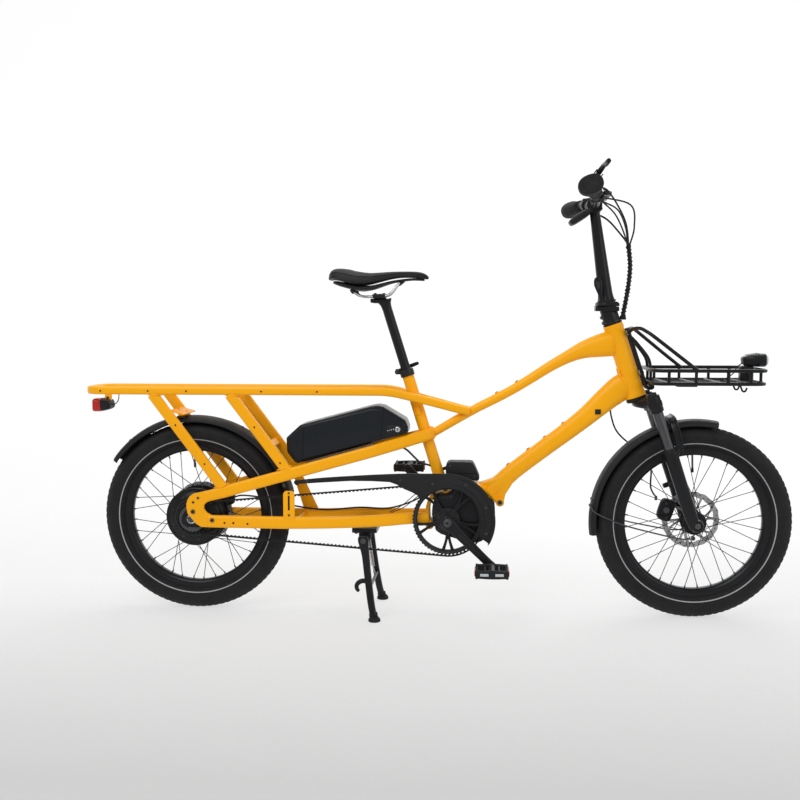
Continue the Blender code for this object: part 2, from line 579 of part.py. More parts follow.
def make_wheels():
    make_tyre("rear_tyre", REAR_AXLE)
    make_rim("rear_rim", REAR_AXLE)
    part("rear_spokes", make_spokes(REAR_AXLE, 0.0790, 0.0310, 0.0740, 36, 24), METAL, REAR_AXLE)
    drum = [(0.030, -0.0440), (0.060, -0.0400), (0.0735, -0.0330), (0.0735, 0.0330), (0.062, 0.0400),
            (0.030, 0.0440),
            (0.030, 0.0560), (0.0062, 0.0560), (0.0062, -0.0440)]
    part("rear_hub", turned(REAR_AXLE, (0, 1, 0), drum, HUB_STEPS, closed=True), SATIN, REAR_AXLE)
    make_tyre("front_tyre", FRONT_AXLE)
    make_rim("front_rim", FRONT_AXLE)
    part("front_spokes", make_spokes(FRONT_AXLE, 0.0285, 0.0270, 0.0240, 32, 68), METAL, FRONT_AXLE)
    shell = [(0.0100, -0.0480), (0.0200, -0.0400), (0.0235, -0.0285), (0.0235, 0.0300), (0.0160, 0.0345),
             (0.0160, 0.0362), (0.0100, 0.0480), (0.0062, 0.0480), (0.0062, -0.0480)]
    part("front_hub", turned(FRONT_AXLE, (0, 1, 0), shell, HUB_STEPS, closed=True), SATIN, FRONT_AXLE)
    for name, centre, radius, y_low, bore in (("front_rotor", FRONT_AXLE, 0.080, 0.0366, 0.0166),
                                              ("rear_rotor", REAR_AXLE, 0.090, 0.0575, 0.0100)):
        disc = tube(centre + Vector((0, y_low, 0)), centre + Vector((0, y_low + 0.0018, 0)), radius, bore,
                    24)
        holes = [rod(around(centre, radius * 0.62, 60 * index, y_low - 0.01),
                     around(centre, radius * 0.62, 60 * index, y_low + 0.01), radius * 0.19,
                     6) for index in range(6)]
        part(name, combine(disc, cut=holes), METAL, centre)


def make_rear_axle():
    shaft = rod(REAR_AXLE + Vector((0, -0.0700, 0)), REAR_AXLE + Vector((0, 0.0700, 0)), 0.0055, 16)
    nuts = [rod(REAR_AXLE + Vector((0, y, 0)), REAR_AXLE + Vector((0, y + 0.0100, 0)), 0.0105, 6)
            for y in (-0.0760, 0.0660)]
    outline = [(-0.030, 0.262), (-0.020, 0.288), (0.006, 0.300), (0.040, 0.296), (0.046, 0.276),
               (0.046, 0.252),
               (0.020, 0.244), (-0.018, 0.246)]
    inserts = [plate(outline, low, low + 0.0042) for low in (-0.0664, 0.0622)]
    part("rear_axle_carrier", combine(shaft, nuts + inserts), SATIN)


def make_rear_caliper():
    body = combine(box((0.048, 0.0480, 0.2870), (0.096, 0.0664, 0.3170)),
                   cut=[turned(REAR_AXLE + Vector((0, 0.0563, 0)), (0, 1, 0),
                               [(0.0930, 0), (0.0930, 0.0042)], 32),
                        rod(REAR_AXLE, REAR_AXLE + Vector((0, 0.1, 0)), 0.0470, 24),
                        plate([(0.0, 0.20), (0.074, 0.20), (0.074, 0.2775), (0.042, 0.2975), (0.0, 0.302)],
                              0.0618, 0.08)])
    part("rear_caliper", body, SATIN)


# ---- drive ----
def belt_outline(extra):
    """Outline (x, z) of the belt loop round the ring and the cog, extra metres outside its inner face."""
    ring_r, cog_r = RING_BELT_R + extra, COG_BELT_R + extra
    run = CRANK - REAR_AXLE
    lean = math.atan2(run.z, run.x)
    wrap = math.acos((RING_BELT_R - COG_BELT_R) / run.length)
    points = []
    for step in range(29):
        angle = lean - math.pi + wrap + (2 * math.pi - 2 * wrap) * step / 28
        points.append((CRANK.x + ring_r * math.cos(angle), CRANK.z + ring_r * math.sin(angle)))
    for step in range(17):
        angle = lean + math.pi - wrap + 2 * wrap * step / 16
        points.append((REAR_AXLE.x + cog_r * math.cos(angle), REAR_AXLE.z + cog_r * math.sin(angle)))
    return points


def make_drive():
    outer, inner = belt_outline(BELT_T), belt_outline(0.0)
    bm = bmesh.new()
    loops = [[bm.verts.new((x, y, z)) for x, z in outline]
             for outline, y in ((outer, BELT_Y - BELT_HALF_W), (outer, BELT_Y + BELT_HALF_W),
                                (inner, BELT_Y + BELT_HALF_W), (inner, BELT_Y - BELT_HALF_W))]
    for low, high in zip(loops, loops[1:] + loops[:1]):
        for index in range(len(low)):
            after = (index + 1) % len(low)
            bm.faces.new((low[index], low[after], high[after], high[index]))
    part("drive_belt", new_mesh(bm), SOFT)

    centre = CRANK + Vector((0, BELT_Y, 0))
    rim = tube(centre - Vector((0, 0.0052, 0)), centre + Vector((0, 0.0052, 0)), 0.0984, 0.0890, 32)
    hub = tube(centre - Vector((0, 0.0040, 0)), centre + Vector((0, 0.0030, 0)), 0.0330, 0.0124, 24)
    arms = []
    for index in range(5):
        for spread in (-1, 1):
            angle = -90 + 72 * index
            arms.append(sweep([around(CRANK, 0.030, angle + spread * 3, BELT_Y),
                               around(CRANK, 0.0925, angle + spread * 9, BELT_Y)], 0.0025, 0.0038, count=6,
                               power=3))
    part("chainring", combine(rim, [hub] + arms), PLASTIC, CRANK)
    cog = tube(REAR_AXLE + Vector((0, BELT_Y - 0.0055, 0)), REAR_AXLE + Vector((0, BELT_Y + 0.0055, 0)),
               0.0386, 0.0062, 32)
    part("rear_sprocket", cog, SATIN, REAR_AXLE)

    spindle = rod(CRANK + Vector((0, -0.0900, 0)), CRANK + Vector((0, 0.1020, 0)), 0.0120, 16)
    for name, sign, angle in (("crank_arm_right", -1, CRANK_ANGLE),
                              ("crank_arm_left", 1, CRANK_ANGLE + math.pi)):
        direction = Vector((math.cos(angle), 0, math.sin(angle)))
        eye = CRANK + direction * CRANK_LENGTH
        y = sign * 0.103
        arm = sweep([CRANK + direction * t + Vector((0, y, 0)) for t in (-0.016, -0.008, 0.03, 0.160, 0.178,
                                                                         0.184)],
                    [0.0080, 0.0085, 0.0085, 0.0070, 0.0070, 0.0060],
                    [0.012, 0.0185, 0.0170, 0.0125, 0.0125, 0.008],
                    count=12, power=3)
        axle = rod(eye + Vector((0, y, 0)), eye + Vector((0, sign * 0.200, 0)), 0.0050, 12)
        extra = [axle, spindle] if sign > 0 else [axle]
        part(name, combine(arm, extra), SATIN, CRANK)
        body = box((eye.x - 0.044, 0.119, eye.z - 0.012), (eye.x + 0.044, 0.212, eye.z + 0.012))
        slots = [box((eye.x + low, 0.131, eye.z - 0.03), (eye.x + high, 0.200, eye.z + 0.03))
                 for low, high in ((-0.036, -0.011), (0.011, 0.036))]
        bore = rod((eye.x, 0.11, eye.z), (eye.x, 0.2020, eye.z), 0.0056, 12)
        pedal = combine(body, cut=slots + [bore])
        pedal = mirrored(pedal) if sign < 0 else pedal
        part("pedal_right" if sign < 0 else "pedal_left", pedal, PLASTIC, eye)


def make_motor():
    outline = [(0.6745, 0.283), (0.6760, 0.312), (0.6910, 0.341), (0.7000, 0.3425), (0.7240, 0.3425),
               (0.740, 0.3625),
               (0.795, 0.3560), (0.826, 0.3380), (0.8500, 0.3120), (0.850, 0.290), (0.826, 0.222),
               (0.800, 0.205),
               (0.740, 0.218), (0.700, 0.230), (0.6830, 0.240), (0.6810, 0.262)]
    body = plate(outline, -0.046, 0.060)
    bore = rod(CRANK + Vector((0, -0.07, 0)), CRANK + Vector((0, 0.08, 0)), 0.0124, 16)
    part("motor_housing", combine(body, cut=[bore]), PLASTIC)
    outline = [(0.7140, 0.3850), (0.7120, 0.424), (0.724, 0.431), (0.780, 0.431), (0.790, 0.424),
               (0.806, 0.3880),
               (0.800, 0.3790), (0.760, 0.3810), (0.722, 0.3790)]
    part("motor_cover", plate(outline, -0.030, 0.030), PLASTIC)
    centre = CRANK + Vector((0, -0.0755, 0))
    outer_r, inner_r = 0.1310, 0.0925
    points = [around(centre, outer_r, degrees) for degrees in range(90, -31, -12)]
    back = [around(centre, inner_r, degrees) for degrees in range(-26, 149, 12)]
    outline = [(0.296, 0.3810), (0.296, 0.3710), (0.45, 0.382), (0.560, 0.380), (0.595, 0.362),
               (0.640, 0.346)]
    outline = outline + [(p.x, p.z) for p in reversed(back)] + [(p.x, p.z) for p in reversed(points)]
    outline = outline + [(0.60, 0.4040), (0.45, 0.3950)]
    guard = plate(outline, -0.0800, -0.0660)
    part("belt_guard", guard, PLASTIC)


# ---- battery, stand, lights, tray ----
def make_battery():
    outline = [(0.270, 0.457), (0.2680, 0.497), (0.307, 0.533), (0.505, 0.5860), (0.539, 0.585),
               (0.600, 0.549),
               (0.6080, 0.530), (0.6080, 0.5140), (0.585, 0.5065), (0.300, 0.4255), (0.2950, 0.4265)]
    case = combine(plate(outline, -0.055, 0.055),
                   cut=[box((0.548, -0.06, 0.512), (0.592, -0.0525, 0.535))])
    part("battery_case", case, PLASTIC, (0.44, 0, 0.50))
    tray = sweep([(0.318, 0, 0.4155), (0.505, 0, 0.4685)], 0.0585, 0.0050, power=8, count=8)
    ears = [box((x, -0.0585, z - 0.012), (x + 0.03, 0.0585, z)) for x, z in ((0.36, 0.4265), (0.45, 0.452))]
    part("battery_tray", combine(tray, ears), PLASTIC)


def make_stand():
    plate_y = 0.0590
    base = box((0.452, -plate_y, 0.2310), (0.522, plate_y, 0.2470))
    ears = [box((0.470, low, 0.2020), (0.504, low + 0.006, 0.2400)) for low in (-0.0440, 0.0380)]
    bore = rod(STAND_PIVOT + Vector((0, -0.1, 0)), STAND_PIVOT + Vector((0, 0.1, 0)), 0.0065, 16)
    part("kickstand_bracket", combine(base, ears, [bore]), SATIN)
    shaft = rod(STAND_PIVOT + Vector((0, -0.0880, 0)), STAND_PIVOT + Vector((0, 0.0880, 0)), 0.0060, 16)
    pieces = []
    for sign in (-1, 1):
        leg = [STAND_PIVOT + Vector((-0.002, 0.082 * sign, 0.010)), (0.494, 0.087 * sign, 0.175),
               (0.501, 0.098 * sign, 0.120), (0.511, 0.112 * sign, 0.050), (0.520, 0.122 * sign, 0.008)]
        pieces.append(sweep(leg, [0.006, 0.0075, 0.009, 0.009, 0.009],
                            [0.015, 0.011, 0.0105, 0.0100, 0.0095],
                            power=3))
        low, high = sorted((0.108 * sign, 0.142 * sign))
        pieces.append(box((0.504, low, 0.0), (0.539, high, 0.014)))
    brace = sweep([(0.507, -0.104, 0.088), (0.507, 0.104, 0.088)], 0.0045, side=(1, 0, 0), count=8)
    hook = sweep([(0.500, -0.103, 0.104), (0.484, -0.106, 0.108), (0.470, -0.108, 0.097),
                  (0.479, -0.110, 0.080)],
                 [0.006, 0.007, 0.007, 0.005], [0.006, 0.007, 0.006, 0.0045], power=3)
    part("kickstand_legs", combine(shaft, pieces + [brace, hook]), SATIN, STAND_PIVOT)


def make_lights():
    lens = box((-0.291, -0.035, 0.5640), (-0.240, 0.035, 0.6030))
    arm = box((-0.262, -0.006, 0.5900), (-0.244, 0.006, 0.6165))
    part("rear_light", combine(lens, [arm]), ((0.30, 0.01, 0.01), 0.3, 0.0))
    body = rod((1.508, 0, 0.7235), (1.552, 0, 0.7235), 0.0200, 24, 0.0235)
    foot = box((1.520, -0.009, 0.6990), (1.542, 0.009, 0.712))
    part("front_light", combine(body, [foot]), PLASTIC)


def make_front_tray():
    top_z, low_z, half_y = 0.6905, 0.6560, 0.1300
    rear_x, front_x = 1.262, 1.553
    wire = 0.0050

    def loop(z, inset):
        y, x0, x1, bend = half_y - inset, rear_x, front_x - inset, 0.03
        half = [(x0, 0, z), (x0, y - bend, z), (x0 + 0.009, y - 0.009, z), (x0 + bend, y, z),
                (x1 - bend, y, z),
                (x1 - 0.009, y - 0.009, z), (x1, y - bend, z), (x1, 0, z)]
        return half + [(x, -yy, zz) for x, yy, zz in reversed(half[1:-1])]

    def ring_bar(points):
        points = [Vector(p) for p in points]
        bm = bmesh.new()
        rings = []
        for index, point in enumerate(points):
            after = points[(index + 1) % len(points)]
            before = points[index - 1]
            tangent = (after - before).normalized()
            outward = tangent.cross(Vector((0, 0, 1))).normalized()
            rings.append([bm.verts.new(point + outward * x + Vector((0, 0, y))) for x,
                          y in section(6, wire, wire, 2)])
        for low, high in zip(rings, rings[1:] + rings[:1]):
            for index in range(6):
                nxt = (index + 1) % 6
                bm.faces.new((low[index], low[nxt], high[nxt], high[index]))
        return new_mesh(bm)

    pieces = [ring_bar(loop(low_z, 0.002))]
    posts = [(x, y) for x in (1.300, 1.370, 1.452, 1.510) for y in (-0.129, 0.129)]
    posts += [(1.552, y) for y in (-0.06, 0.06)]
    for x, y in posts:
        pieces.append(rod((x, y, low_z), (x, y, top_z), 0.0042, 6))
    for x in (1.300, 1.370, 1.440, 1.510):
        pieces.append(rod((x, -0.127, low_z), (x, 0.127, low_z), 0.0040, 6))
    for y in (-0.045, 0.045):
        pieces.append(rod((rear_x, y, low_z - 0.002), (front_x - 0.003, y, low_z - 0.002), 0.0038, 6))
    pieces.append(box((1.335, -0.04, low_z - 0.013), (1.392, 0.04, low_z - 0.0015)))
    pieces.append(box((1.508, -0.014, low_z + 0.001), (1.545, 0.014, 0.6986)))
    spine = HEAD_R + 0.0065
    for y in (-0.0170, 0.0170):
        pieces.append(sweep([steer(spine, y, -0.188), steer(spine, y, -0.02),
                             steer(spine + 0.012, y, -0.012),
                             (rear_x + 0.003, y, low_z)], 0.0048, count=6))
    pieces.append(box((1.2615, -0.02, low_z - 0.004), (1.27, 0.02, low_z + 0.004)))
    for down in (-0.175, -0.060):
        pieces.append(sweep([steer(spine, -0.0185, down), steer(spine, 0.0185, down)], 0.008, 0.0042,
                            side=STEER_DOWN, power=4, count=8))
    for sign in (-1, 1):
        hoop = [steer(spine, 0.0150 * sign, -0.172), (1.2150, 0.045 * sign, 0.7960),
                (1.232, 0.085 * sign, 0.8000),
                (1.262, 0.112 * sign, 0.779), (1.320, 0.124 * sign, 0.7330), (1.374, 0.129 * sign, top_z)]
        pieces.append(sweep(hoop, 0.0050, side=(0, 1, 0), count=6))
        inner = [steer(spine, 0.0170 * sign, -0.165), (1.2600, 0.028 * sign, 0.720),
                 (1.2660, 0.030 * sign, low_z)]
        pieces.append(sweep(inner, 0.0040, side=(0, 1, 0), count=6))
    part("front_tray", combine(ring_bar(loop(top_z, 0.0)), pieces), SATIN)


# ---- seat ----
def make_seat():
    bore_r, wall_r, lip = POST_R + 0.0006, 0.0167, -0.0006
    profile = [(bore_r, -0.009), (0.0200, -0.009), (0.0200, 0.010), (wall_r, 0.010), (wall_r, lip),
               (bore_r, lip)]
    collar = combine(turned(SEAT_TOP, SEAT_DOWN, profile, 24, closed=True),
                     [box((0.5700, -0.009, 0.6725), (0.5845, 0.0020, 0.6880))])
    part("seat_clamp", collar, SATIN)
    lever = sweep([(0.5740, 0.0125, 0.6790), (0.5745, 0.0215, 0.6810), (0.5900, 0.0260, 0.6880),
                   (0.6120, 0.0258, 0.6960),
                   (0.6330, 0.0225, 0.7040)], [0.0045, 0.004, 0.003, 0.003, 0.003],
                  [0.0045, 0.0045, 0.0048, 0.0050, 0.0045], side=(0.3, 1, 0), power=3)
    part("seat_clamp_lever", lever, SATIN, SEAT_LEVER_PIVOT)

    top = SEAT_TOP - SEAT_DOWN * 0.206
    bottom = SEAT_TOP + SEAT_DOWN * 0.165
    post = combine(rod(bottom, top, POST_R, 24),
                   [box((0.503, -0.016, 0.8690), (0.548, 0.016, 0.8835)),
                    rod((0.500, 0, 0.8765), (0.512, 0, 0.8765), 0.0055, 10)])
    part("seatpost", post, SATIN, SEAT_TOP)
    rails = []
    for sign in (-1, 1):
        path = [(0.4560, 0.036 * sign, 0.9020), (0.472, 0.030 * sign, 0.8890),
                (0.488, 0.024 * sign, 0.8870),
                (0.548, 0.022 * sign, 0.8910), (0.562, 0.018 * sign, 0.9000), (0.585, 0.008 * sign, 0.9300)]
        rails.append(sweep(path, 0.0036, side=(0, 1, 0), count=8))
    clamp = [box((0.506, -0.026, 0.8839), (0.545, 0.026, 0.8960))]
    shell = sweep([(0.405, 0, 0.925), (0.43, 0, 0.919), (0.47, 0, 0.910), (0.51, 0, 0.9130),
                   (0.56, 0, 0.927),
                   (0.62, 0, 0.9345), (0.650, 0, 0.9330)],
                  [0.030, 0.052, 0.056, 0.040, 0.020, 0.014, 0.010],
                  [0.006, 0.008, 0.008, 0.006, 0.004, 0.0035, 0.003],
                  count=12, power=3)
    part("saddle_frame", combine(shell, rails + clamp), PLASTIC, SEAT_TOP)
    pad = sweep([(0.389, 0, 0.9440), (0.394, 0, 0.9500), (0.415, 0, 0.9500), (0.450, 0, 0.9430),
                 (0.490, 0, 0.9370),
                 (0.53, 0, 0.9420), (0.57, 0, 0.9470), (0.62, 0, 0.9475), (0.650, 0, 0.9440),
                 (0.6620, 0, 0.9390)],
                [0.040, 0.058, 0.073, 0.076, 0.062, 0.038, 0.025, 0.020, 0.017, 0.010],
                [0.0070, 0.0140, 0.0155, 0.0180, 0.0190, 0.0150, 0.0120, 0.0095, 0.0085, 0.005], count=12,
                power=2.6)
    part("saddle_pad", combine(pad, cut=[shell_space()]), SOFT, SEAT_TOP)


def shell_space():
    """What the saddle's pad leaves free for the shell under it."""
    return sweep([(0.385, 0, 0.9255), (0.43, 0, 0.9195), (0.47, 0, 0.9105), (0.51, 0, 0.9135),
                  (0.56, 0, 0.9275),
                  (0.62, 0, 0.9350), (0.690, 0, 0.9330)],
                 [0.090] * 7, [0.0070, 0.0088, 0.0088, 0.0068, 0.0048, 0.0042, 0.0038], count=8, power=8)


for leftover in list(bpy.data.objects):
    bpy.data.objects.remove(leftover)
make_head_and_top_tube()
make_down_tube()
make_seat_tube()
make_motor_cradle()
make_rear_frames()
make_rack_rails()
make_fork()
make_front_caliper()
make_mudguards()
make_stem()
make_handlebar()
make_grips()
make_brake_controls()
make_cables()
make_wheels()
make_rear_axle()
make_rear_caliper()
make_drive()
make_motor()
make_battery()
make_stand()
make_lights()
make_front_tray()
make_seat()
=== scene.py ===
"""Looks for the longtail cargo bicycle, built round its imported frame. Metres, X from the rear axle."""
import math

import bmesh
import bpy
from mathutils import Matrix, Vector


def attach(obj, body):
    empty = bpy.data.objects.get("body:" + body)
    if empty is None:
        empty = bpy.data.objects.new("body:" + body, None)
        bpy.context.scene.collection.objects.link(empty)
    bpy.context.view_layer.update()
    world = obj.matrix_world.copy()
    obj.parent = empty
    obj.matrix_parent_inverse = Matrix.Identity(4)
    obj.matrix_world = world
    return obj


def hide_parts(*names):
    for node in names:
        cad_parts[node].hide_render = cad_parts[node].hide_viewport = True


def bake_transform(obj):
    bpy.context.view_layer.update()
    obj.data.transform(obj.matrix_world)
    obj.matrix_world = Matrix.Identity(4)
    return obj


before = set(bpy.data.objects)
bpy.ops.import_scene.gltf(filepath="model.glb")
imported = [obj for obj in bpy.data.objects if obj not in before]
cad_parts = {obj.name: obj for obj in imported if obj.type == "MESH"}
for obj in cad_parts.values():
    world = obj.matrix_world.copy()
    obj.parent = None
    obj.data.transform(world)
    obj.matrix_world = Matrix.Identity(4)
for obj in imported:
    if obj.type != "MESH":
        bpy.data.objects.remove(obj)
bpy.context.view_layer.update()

# ---- dimensions shared with the frame ----
ORIGIN_X = 0.68175
WHEEL_R = 0.2675
REAR = Vector((0.0, 0.0, WHEEL_R))
FRONT = Vector((1.396, 0.0, WHEEL_R))
RIM_INNER_R = 0.187
HEAD_TOP = Vector((1.166, 0.0, 0.811))
HEAD_BOTTOM = Vector((1.233, 0.0, 0.613))
STEER_DOWN = (HEAD_BOTTOM - HEAD_TOP).normalized()
STEER_FRONT = Vector((-STEER_DOWN.z, 0.0, STEER_DOWN.x))
CRANK = Vector((0.72, 0.0, 0.274))
CRANK_ANGLE = math.radians(-44.5)
CRANK_LENGTH = 0.17
BELT_Y = -0.055
RING_BELT_R = 0.0995
COG_BELT_R = 0.0395
BELT_PITCH = 0.011
RING_TEETH = 58
COG_TEETH = 24
SIDE_Y = 0.07
RAIL_Z = 0.6285
SEAT_TOP = Vector((0.602, 0.0, 0.6775))
SEAT_BOTTOM = Vector((0.695, 0.0, 0.381))
SEAT_DOWN = (SEAT_BOTTOM - SEAT_TOP).normalized()
STAND_PIVOT = Vector((0.487, 0.0, 0.216))
STEM_FOOT = Vector((1.148, 0.0, 0.866))
STEM_HEAD = Vector((1.1085, 0.0, 1.132))
HINGE_Y = 0.027
LEG_Y = 0.06
RIGHT_LEVER_TURN = math.radians(52)
RIGHT_LEVER_DROP = 0.01
LEVER_CLAMP_CENTRE = Vector((1.0995, 0, 1.1465))
LEG_FRONT = 0.0355
UP = Vector((0, 0, 1))
SIDEWAYS = Vector((0, 1, 0))


# ---- materials ----
class Nodes:
    """A Principled material whose colour, roughness and bump come from nodes."""

    def __init__(self, name, colour, roughness, metallic=0.0, coat=0.0, ior=1.3):
        self.material = bpy.data.materials.new(name)
        self.material.use_nodes = True
        self.tree = self.material.node_tree
        self.shader = self.tree.nodes["Principled BSDF"]
        self.colour, self.roughness = colour, roughness
        self.shader.inputs["Metallic"].default_value = metallic
        self.shader.inputs["Coat Weight"].default_value = coat
        self.shader.inputs["Coat Roughness"].default_value = 0.12
        self.shader.inputs["IOR"].default_value = ior
        self.place = self.add("ShaderNodeTexCoord").outputs["Object"]
        self.height = None

    def add(self, kind, **values):
        node = self.tree.nodes.new(kind)
        for key, value in values.items():
            setattr(node, key, value)
        return node

    def link(self, output, socket):
        self.tree.links.new(output, socket)

    def noise(self, scale, detail=3.0, stretch=(1, 1, 1)):
        mapping = self.add("ShaderNodeMapping")
        mapping.inputs["Scale"].default_value = stretch
        self.link(self.place, mapping.inputs["Vector"])
        node = self.add("ShaderNodeTexNoise")
        node.inputs["Scale"].default_value = scale
        node.inputs["Detail"].default_value = detail
        self.link(mapping.outputs["Vector"], node.inputs["Vector"])
        return node.outputs["Fac"]

    def math(self, operation, first, second=0.0, third=0.0):
        node = self.add("ShaderNodeMath", operation=operation)
        for socket, value in zip(node.inputs, (first, second, third)):
            if isinstance(value, (int, float)):
                socket.default_value = value
            else:
                self.link(value, socket)
        return node.outputs[0]

    def span(self, value, low, high, to_low, to_high):
        node = self.add("ShaderNodeMapRange")
        for socket, amount in zip(node.inputs[1:5], (low, high, to_low, to_high)):
            socket.default_value = amount
        self.link(value, node.inputs[0])
        return node.outputs[0]

    def mix(self, factor, first, second):
        node = self.add("ShaderNodeMix", data_type="RGBA")
        self.link(factor, node.inputs[0])
        for socket, value in ((node.inputs[6], first), (node.inputs[7], second)):
            if isinstance(value, tuple):
                socket.default_value = (*value[:3], 1)
            else:
                self.link(value, socket)
        return node.outputs[2]

    def bump(self, height, distance, strength=1.0):
        node = self.add("ShaderNodeBump")
        node.inputs["Strength"].default_value = strength
        node.inputs["Distance"].default_value = distance
        self.link(height, node.inputs["Height"])
        if self.height is not None:
            self.link(self.height, node.inputs["Normal"])
        self.height = node.outputs["Normal"]

    def finish(self, vary=0.12, wear=0.0, grain=6.0):
        """Blotches of colour and roughness, convex edges mixed towards grey in noisy patches, then everything
        joined to the shader.
        """
        patches = self.noise(grain, 4.0)
        dark = tuple(channel * (1 - vary) for channel in self.colour) if isinstance(self.colour,
                tuple) else None
        colour = self.colour
        if dark:
            pale = tuple(min(1.0, channel * (1 + vary)) for channel in self.colour)
            colour = self.mix(self.span(patches, 0.35, 0.65, 0.0, 1.0), dark, pale)
        if wear:
            edge = self.add("ShaderNodeNewGeometry").outputs["Pointiness"]
            amount = self.math("MULTIPLY", self.span(edge, 0.54, 0.62, 0.0, wear), self.noise(90.0))
            colour = self.mix(amount, colour, (0.3, 0.3, 0.3))
        self.link(colour, self.shader.inputs["Base Color"])
        fine = self.noise(grain * 9, 3.0)
        rough = self.span(fine, 0.3, 0.7, self.roughness * 0.85, min(1.0, self.roughness * 1.15))
        self.link(rough, self.shader.inputs["Roughness"])
        if self.height is not None:
            self.link(self.height, self.shader.inputs["Normal"])
        return self.material


def plain(name, colour, roughness, metallic=0.0, grain=180.0, depth=0.0002, **extra):
    nodes = Nodes(name, colour, roughness, metallic, extra.get("coat", 0.0), extra.get("ior", 1.3))
    nodes.bump(nodes.noise(grain, 2.0), depth, extra.get("strength", 0.5))
    return nodes.finish(extra.get("vary", 0.12), extra.get("wear", 0.0), extra.get("patches", 6.0))


def wheel_radius(nodes):
    """Distance from the wheel's axle, in a piece whose origin is on that axle."""
    split = nodes.add("ShaderNodeSeparateXYZ")
    nodes.link(nodes.place, split.inputs[0])
    across = nodes.math("MULTIPLY", split.outputs[0], split.outputs[0])
    upward = nodes.math("MULTIPLY", split.outputs[2], split.outputs[2])
    return nodes.math("SQRT", nodes.math("ADD", across, upward))


def between(nodes, value, low, high, soft=0.0002):
    rising = nodes.span(value, low - soft, low + soft, 0.0, 1.0)
    falling = nodes.span(value, high - soft, high + soft, 1.0, 0.0)
    return nodes.math("MULTIPLY", rising, falling)


def make_tyre_material():
    nodes = Nodes("tyre_rubber", (0.0135, 0.0138, 0.0145), 0.74)
    radius = wheel_radius(nodes)
    stripe = between(nodes, radius, 0.2192, 0.2218)
    glint = nodes.noise(900.0, 1.0)
    silver = nodes.mix(nodes.span(glint, 0.4, 0.6, 0.0, 1.0), (0.3, 0.31, 0.32), (0.46, 0.47, 0.48))
    nodes.colour = nodes.mix(stripe, nodes.mix(nodes.noise(14.0), (0.011, 0.011, 0.012),
            (0.019, 0.019, 0.02)), silver)
    ribs = nodes.math("SINE", nodes.math("MULTIPLY", radius, 4200.0))
    ribbed = nodes.math("MULTIPLY", ribs, between(nodes, radius, 0.2235, 0.242, 0.001))
    nodes.bump(ribbed, 0.0004, 0.6)
    nodes.bump(nodes.noise(420.0, 2.0), 0.0003, 0.5)
    return nodes.finish(0.0)


def make_brushed(name, colour, roughness, stretch):
    nodes = Nodes(name, colour, roughness, 1.0)
    nodes.bump(nodes.noise(260.0, 2.0, stretch), 0.0001, 0.4)
    return nodes.finish(0.1, 0.0, 20.0)


def make_rotor_material():
    nodes = Nodes("disc_steel", (0.42, 0.42, 0.43), 0.32, 1.0)
    radius = wheel_radius(nodes)
    rings = nodes.math("SINE", nodes.math("MULTIPLY", radius, 9000.0))
    nodes.bump(rings, 0.00008, 0.5)
    return nodes.finish(0.15, 0.0, 30.0)


def make_grip_material():
    nodes = Nodes("grip_rubber", (0.017, 0.017, 0.018), 0.82)
    cells = nodes.add("ShaderNodeTexVoronoi")
    cells.inputs["Scale"].default_value = 330.0
    nodes.link(nodes.place, cells.inputs["Vector"])
    nodes.bump(cells.outputs["Distance"], 0.0006, 0.7)
    return nodes.finish(0.15)


def make_leather():
    nodes = Nodes("saddle_skin", (0.012, 0.012, 0.013), 0.5)
    cells = nodes.add("ShaderNodeTexVoronoi")
    cells.inputs["Scale"].default_value = 420.0
    nodes.link(nodes.place, cells.inputs["Vector"])
    nodes.bump(cells.outputs["Distance"], 0.0003, 0.35)
    nodes.bump(nodes.noise(60.0, 4.0), 0.0006, 0.25)
    return nodes.finish(0.2)


PAINT = plain("frame_paint", (0.985, 0.425, 0.0), 0.38, 0.0, 750.0, 0.00008, coat=0.08, vary=0.03,
        patches=3.0)
# near-black painted shade, laid as discs, strips and lines in sockets, holes, slots and seam gaps
PAINTED_SHADE = plain("shadowed_hole", (0.01, 0.008, 0.006), 0.8)
ALLOY = plain("black_alloy", (0.016, 0.0165, 0.018), 0.36, 0.45, 420.0, 0.0001, vary=0.15, wear=0.25)
SATIN_BLACK = plain("satin_black", (0.0125, 0.013, 0.0145), 0.32, 0.25, 300.0, 0.0001, vary=0.12,
        coat=0.05)
PLASTIC = plain("black_plastic", (0.015, 0.0155, 0.0165), 0.5, 0.0, 620.0, 0.0003, vary=0.15)
MOTOR = plain("motor_plastic", (0.018, 0.0185, 0.02), 0.46, 0.0, 500.0, 0.0004, vary=0.12)
BATTERY = plain("battery_plastic", (0.007, 0.0095, 0.013), 0.3, 0.0, 300.0, 0.00004, vary=0.08,
        coat=0.12)
RUBBER = plain("belt_rubber", (0.014, 0.014, 0.015), 0.72, 0.0, 350.0, 0.0003)
TYRE = make_tyre_material()
GRIP = make_grip_material()
STEEL = make_brushed("bright_steel", (0.55, 0.55, 0.56), 0.28, (1, 1, 14))
DARK_STEEL = make_brushed("dark_steel", (0.1, 0.1, 0.105), 0.34, (1, 1, 10))
SPOKE = plain("spoke_black", (0.028, 0.028, 0.03), 0.34, 0.8, 300.0, 0.0001)
DISC = make_rotor_material()
LEATHER = make_leather()
RED_LENS = plain("red_lens", (0.42, 0.012, 0.006), 0.12, 0.0, 260.0, 0.0006, coat=0.6)
CLEAR_LENS = plain("clear_lens", (0.55, 0.57, 0.6), 0.1, 0.0, 260.0, 0.0006, coat=0.6)


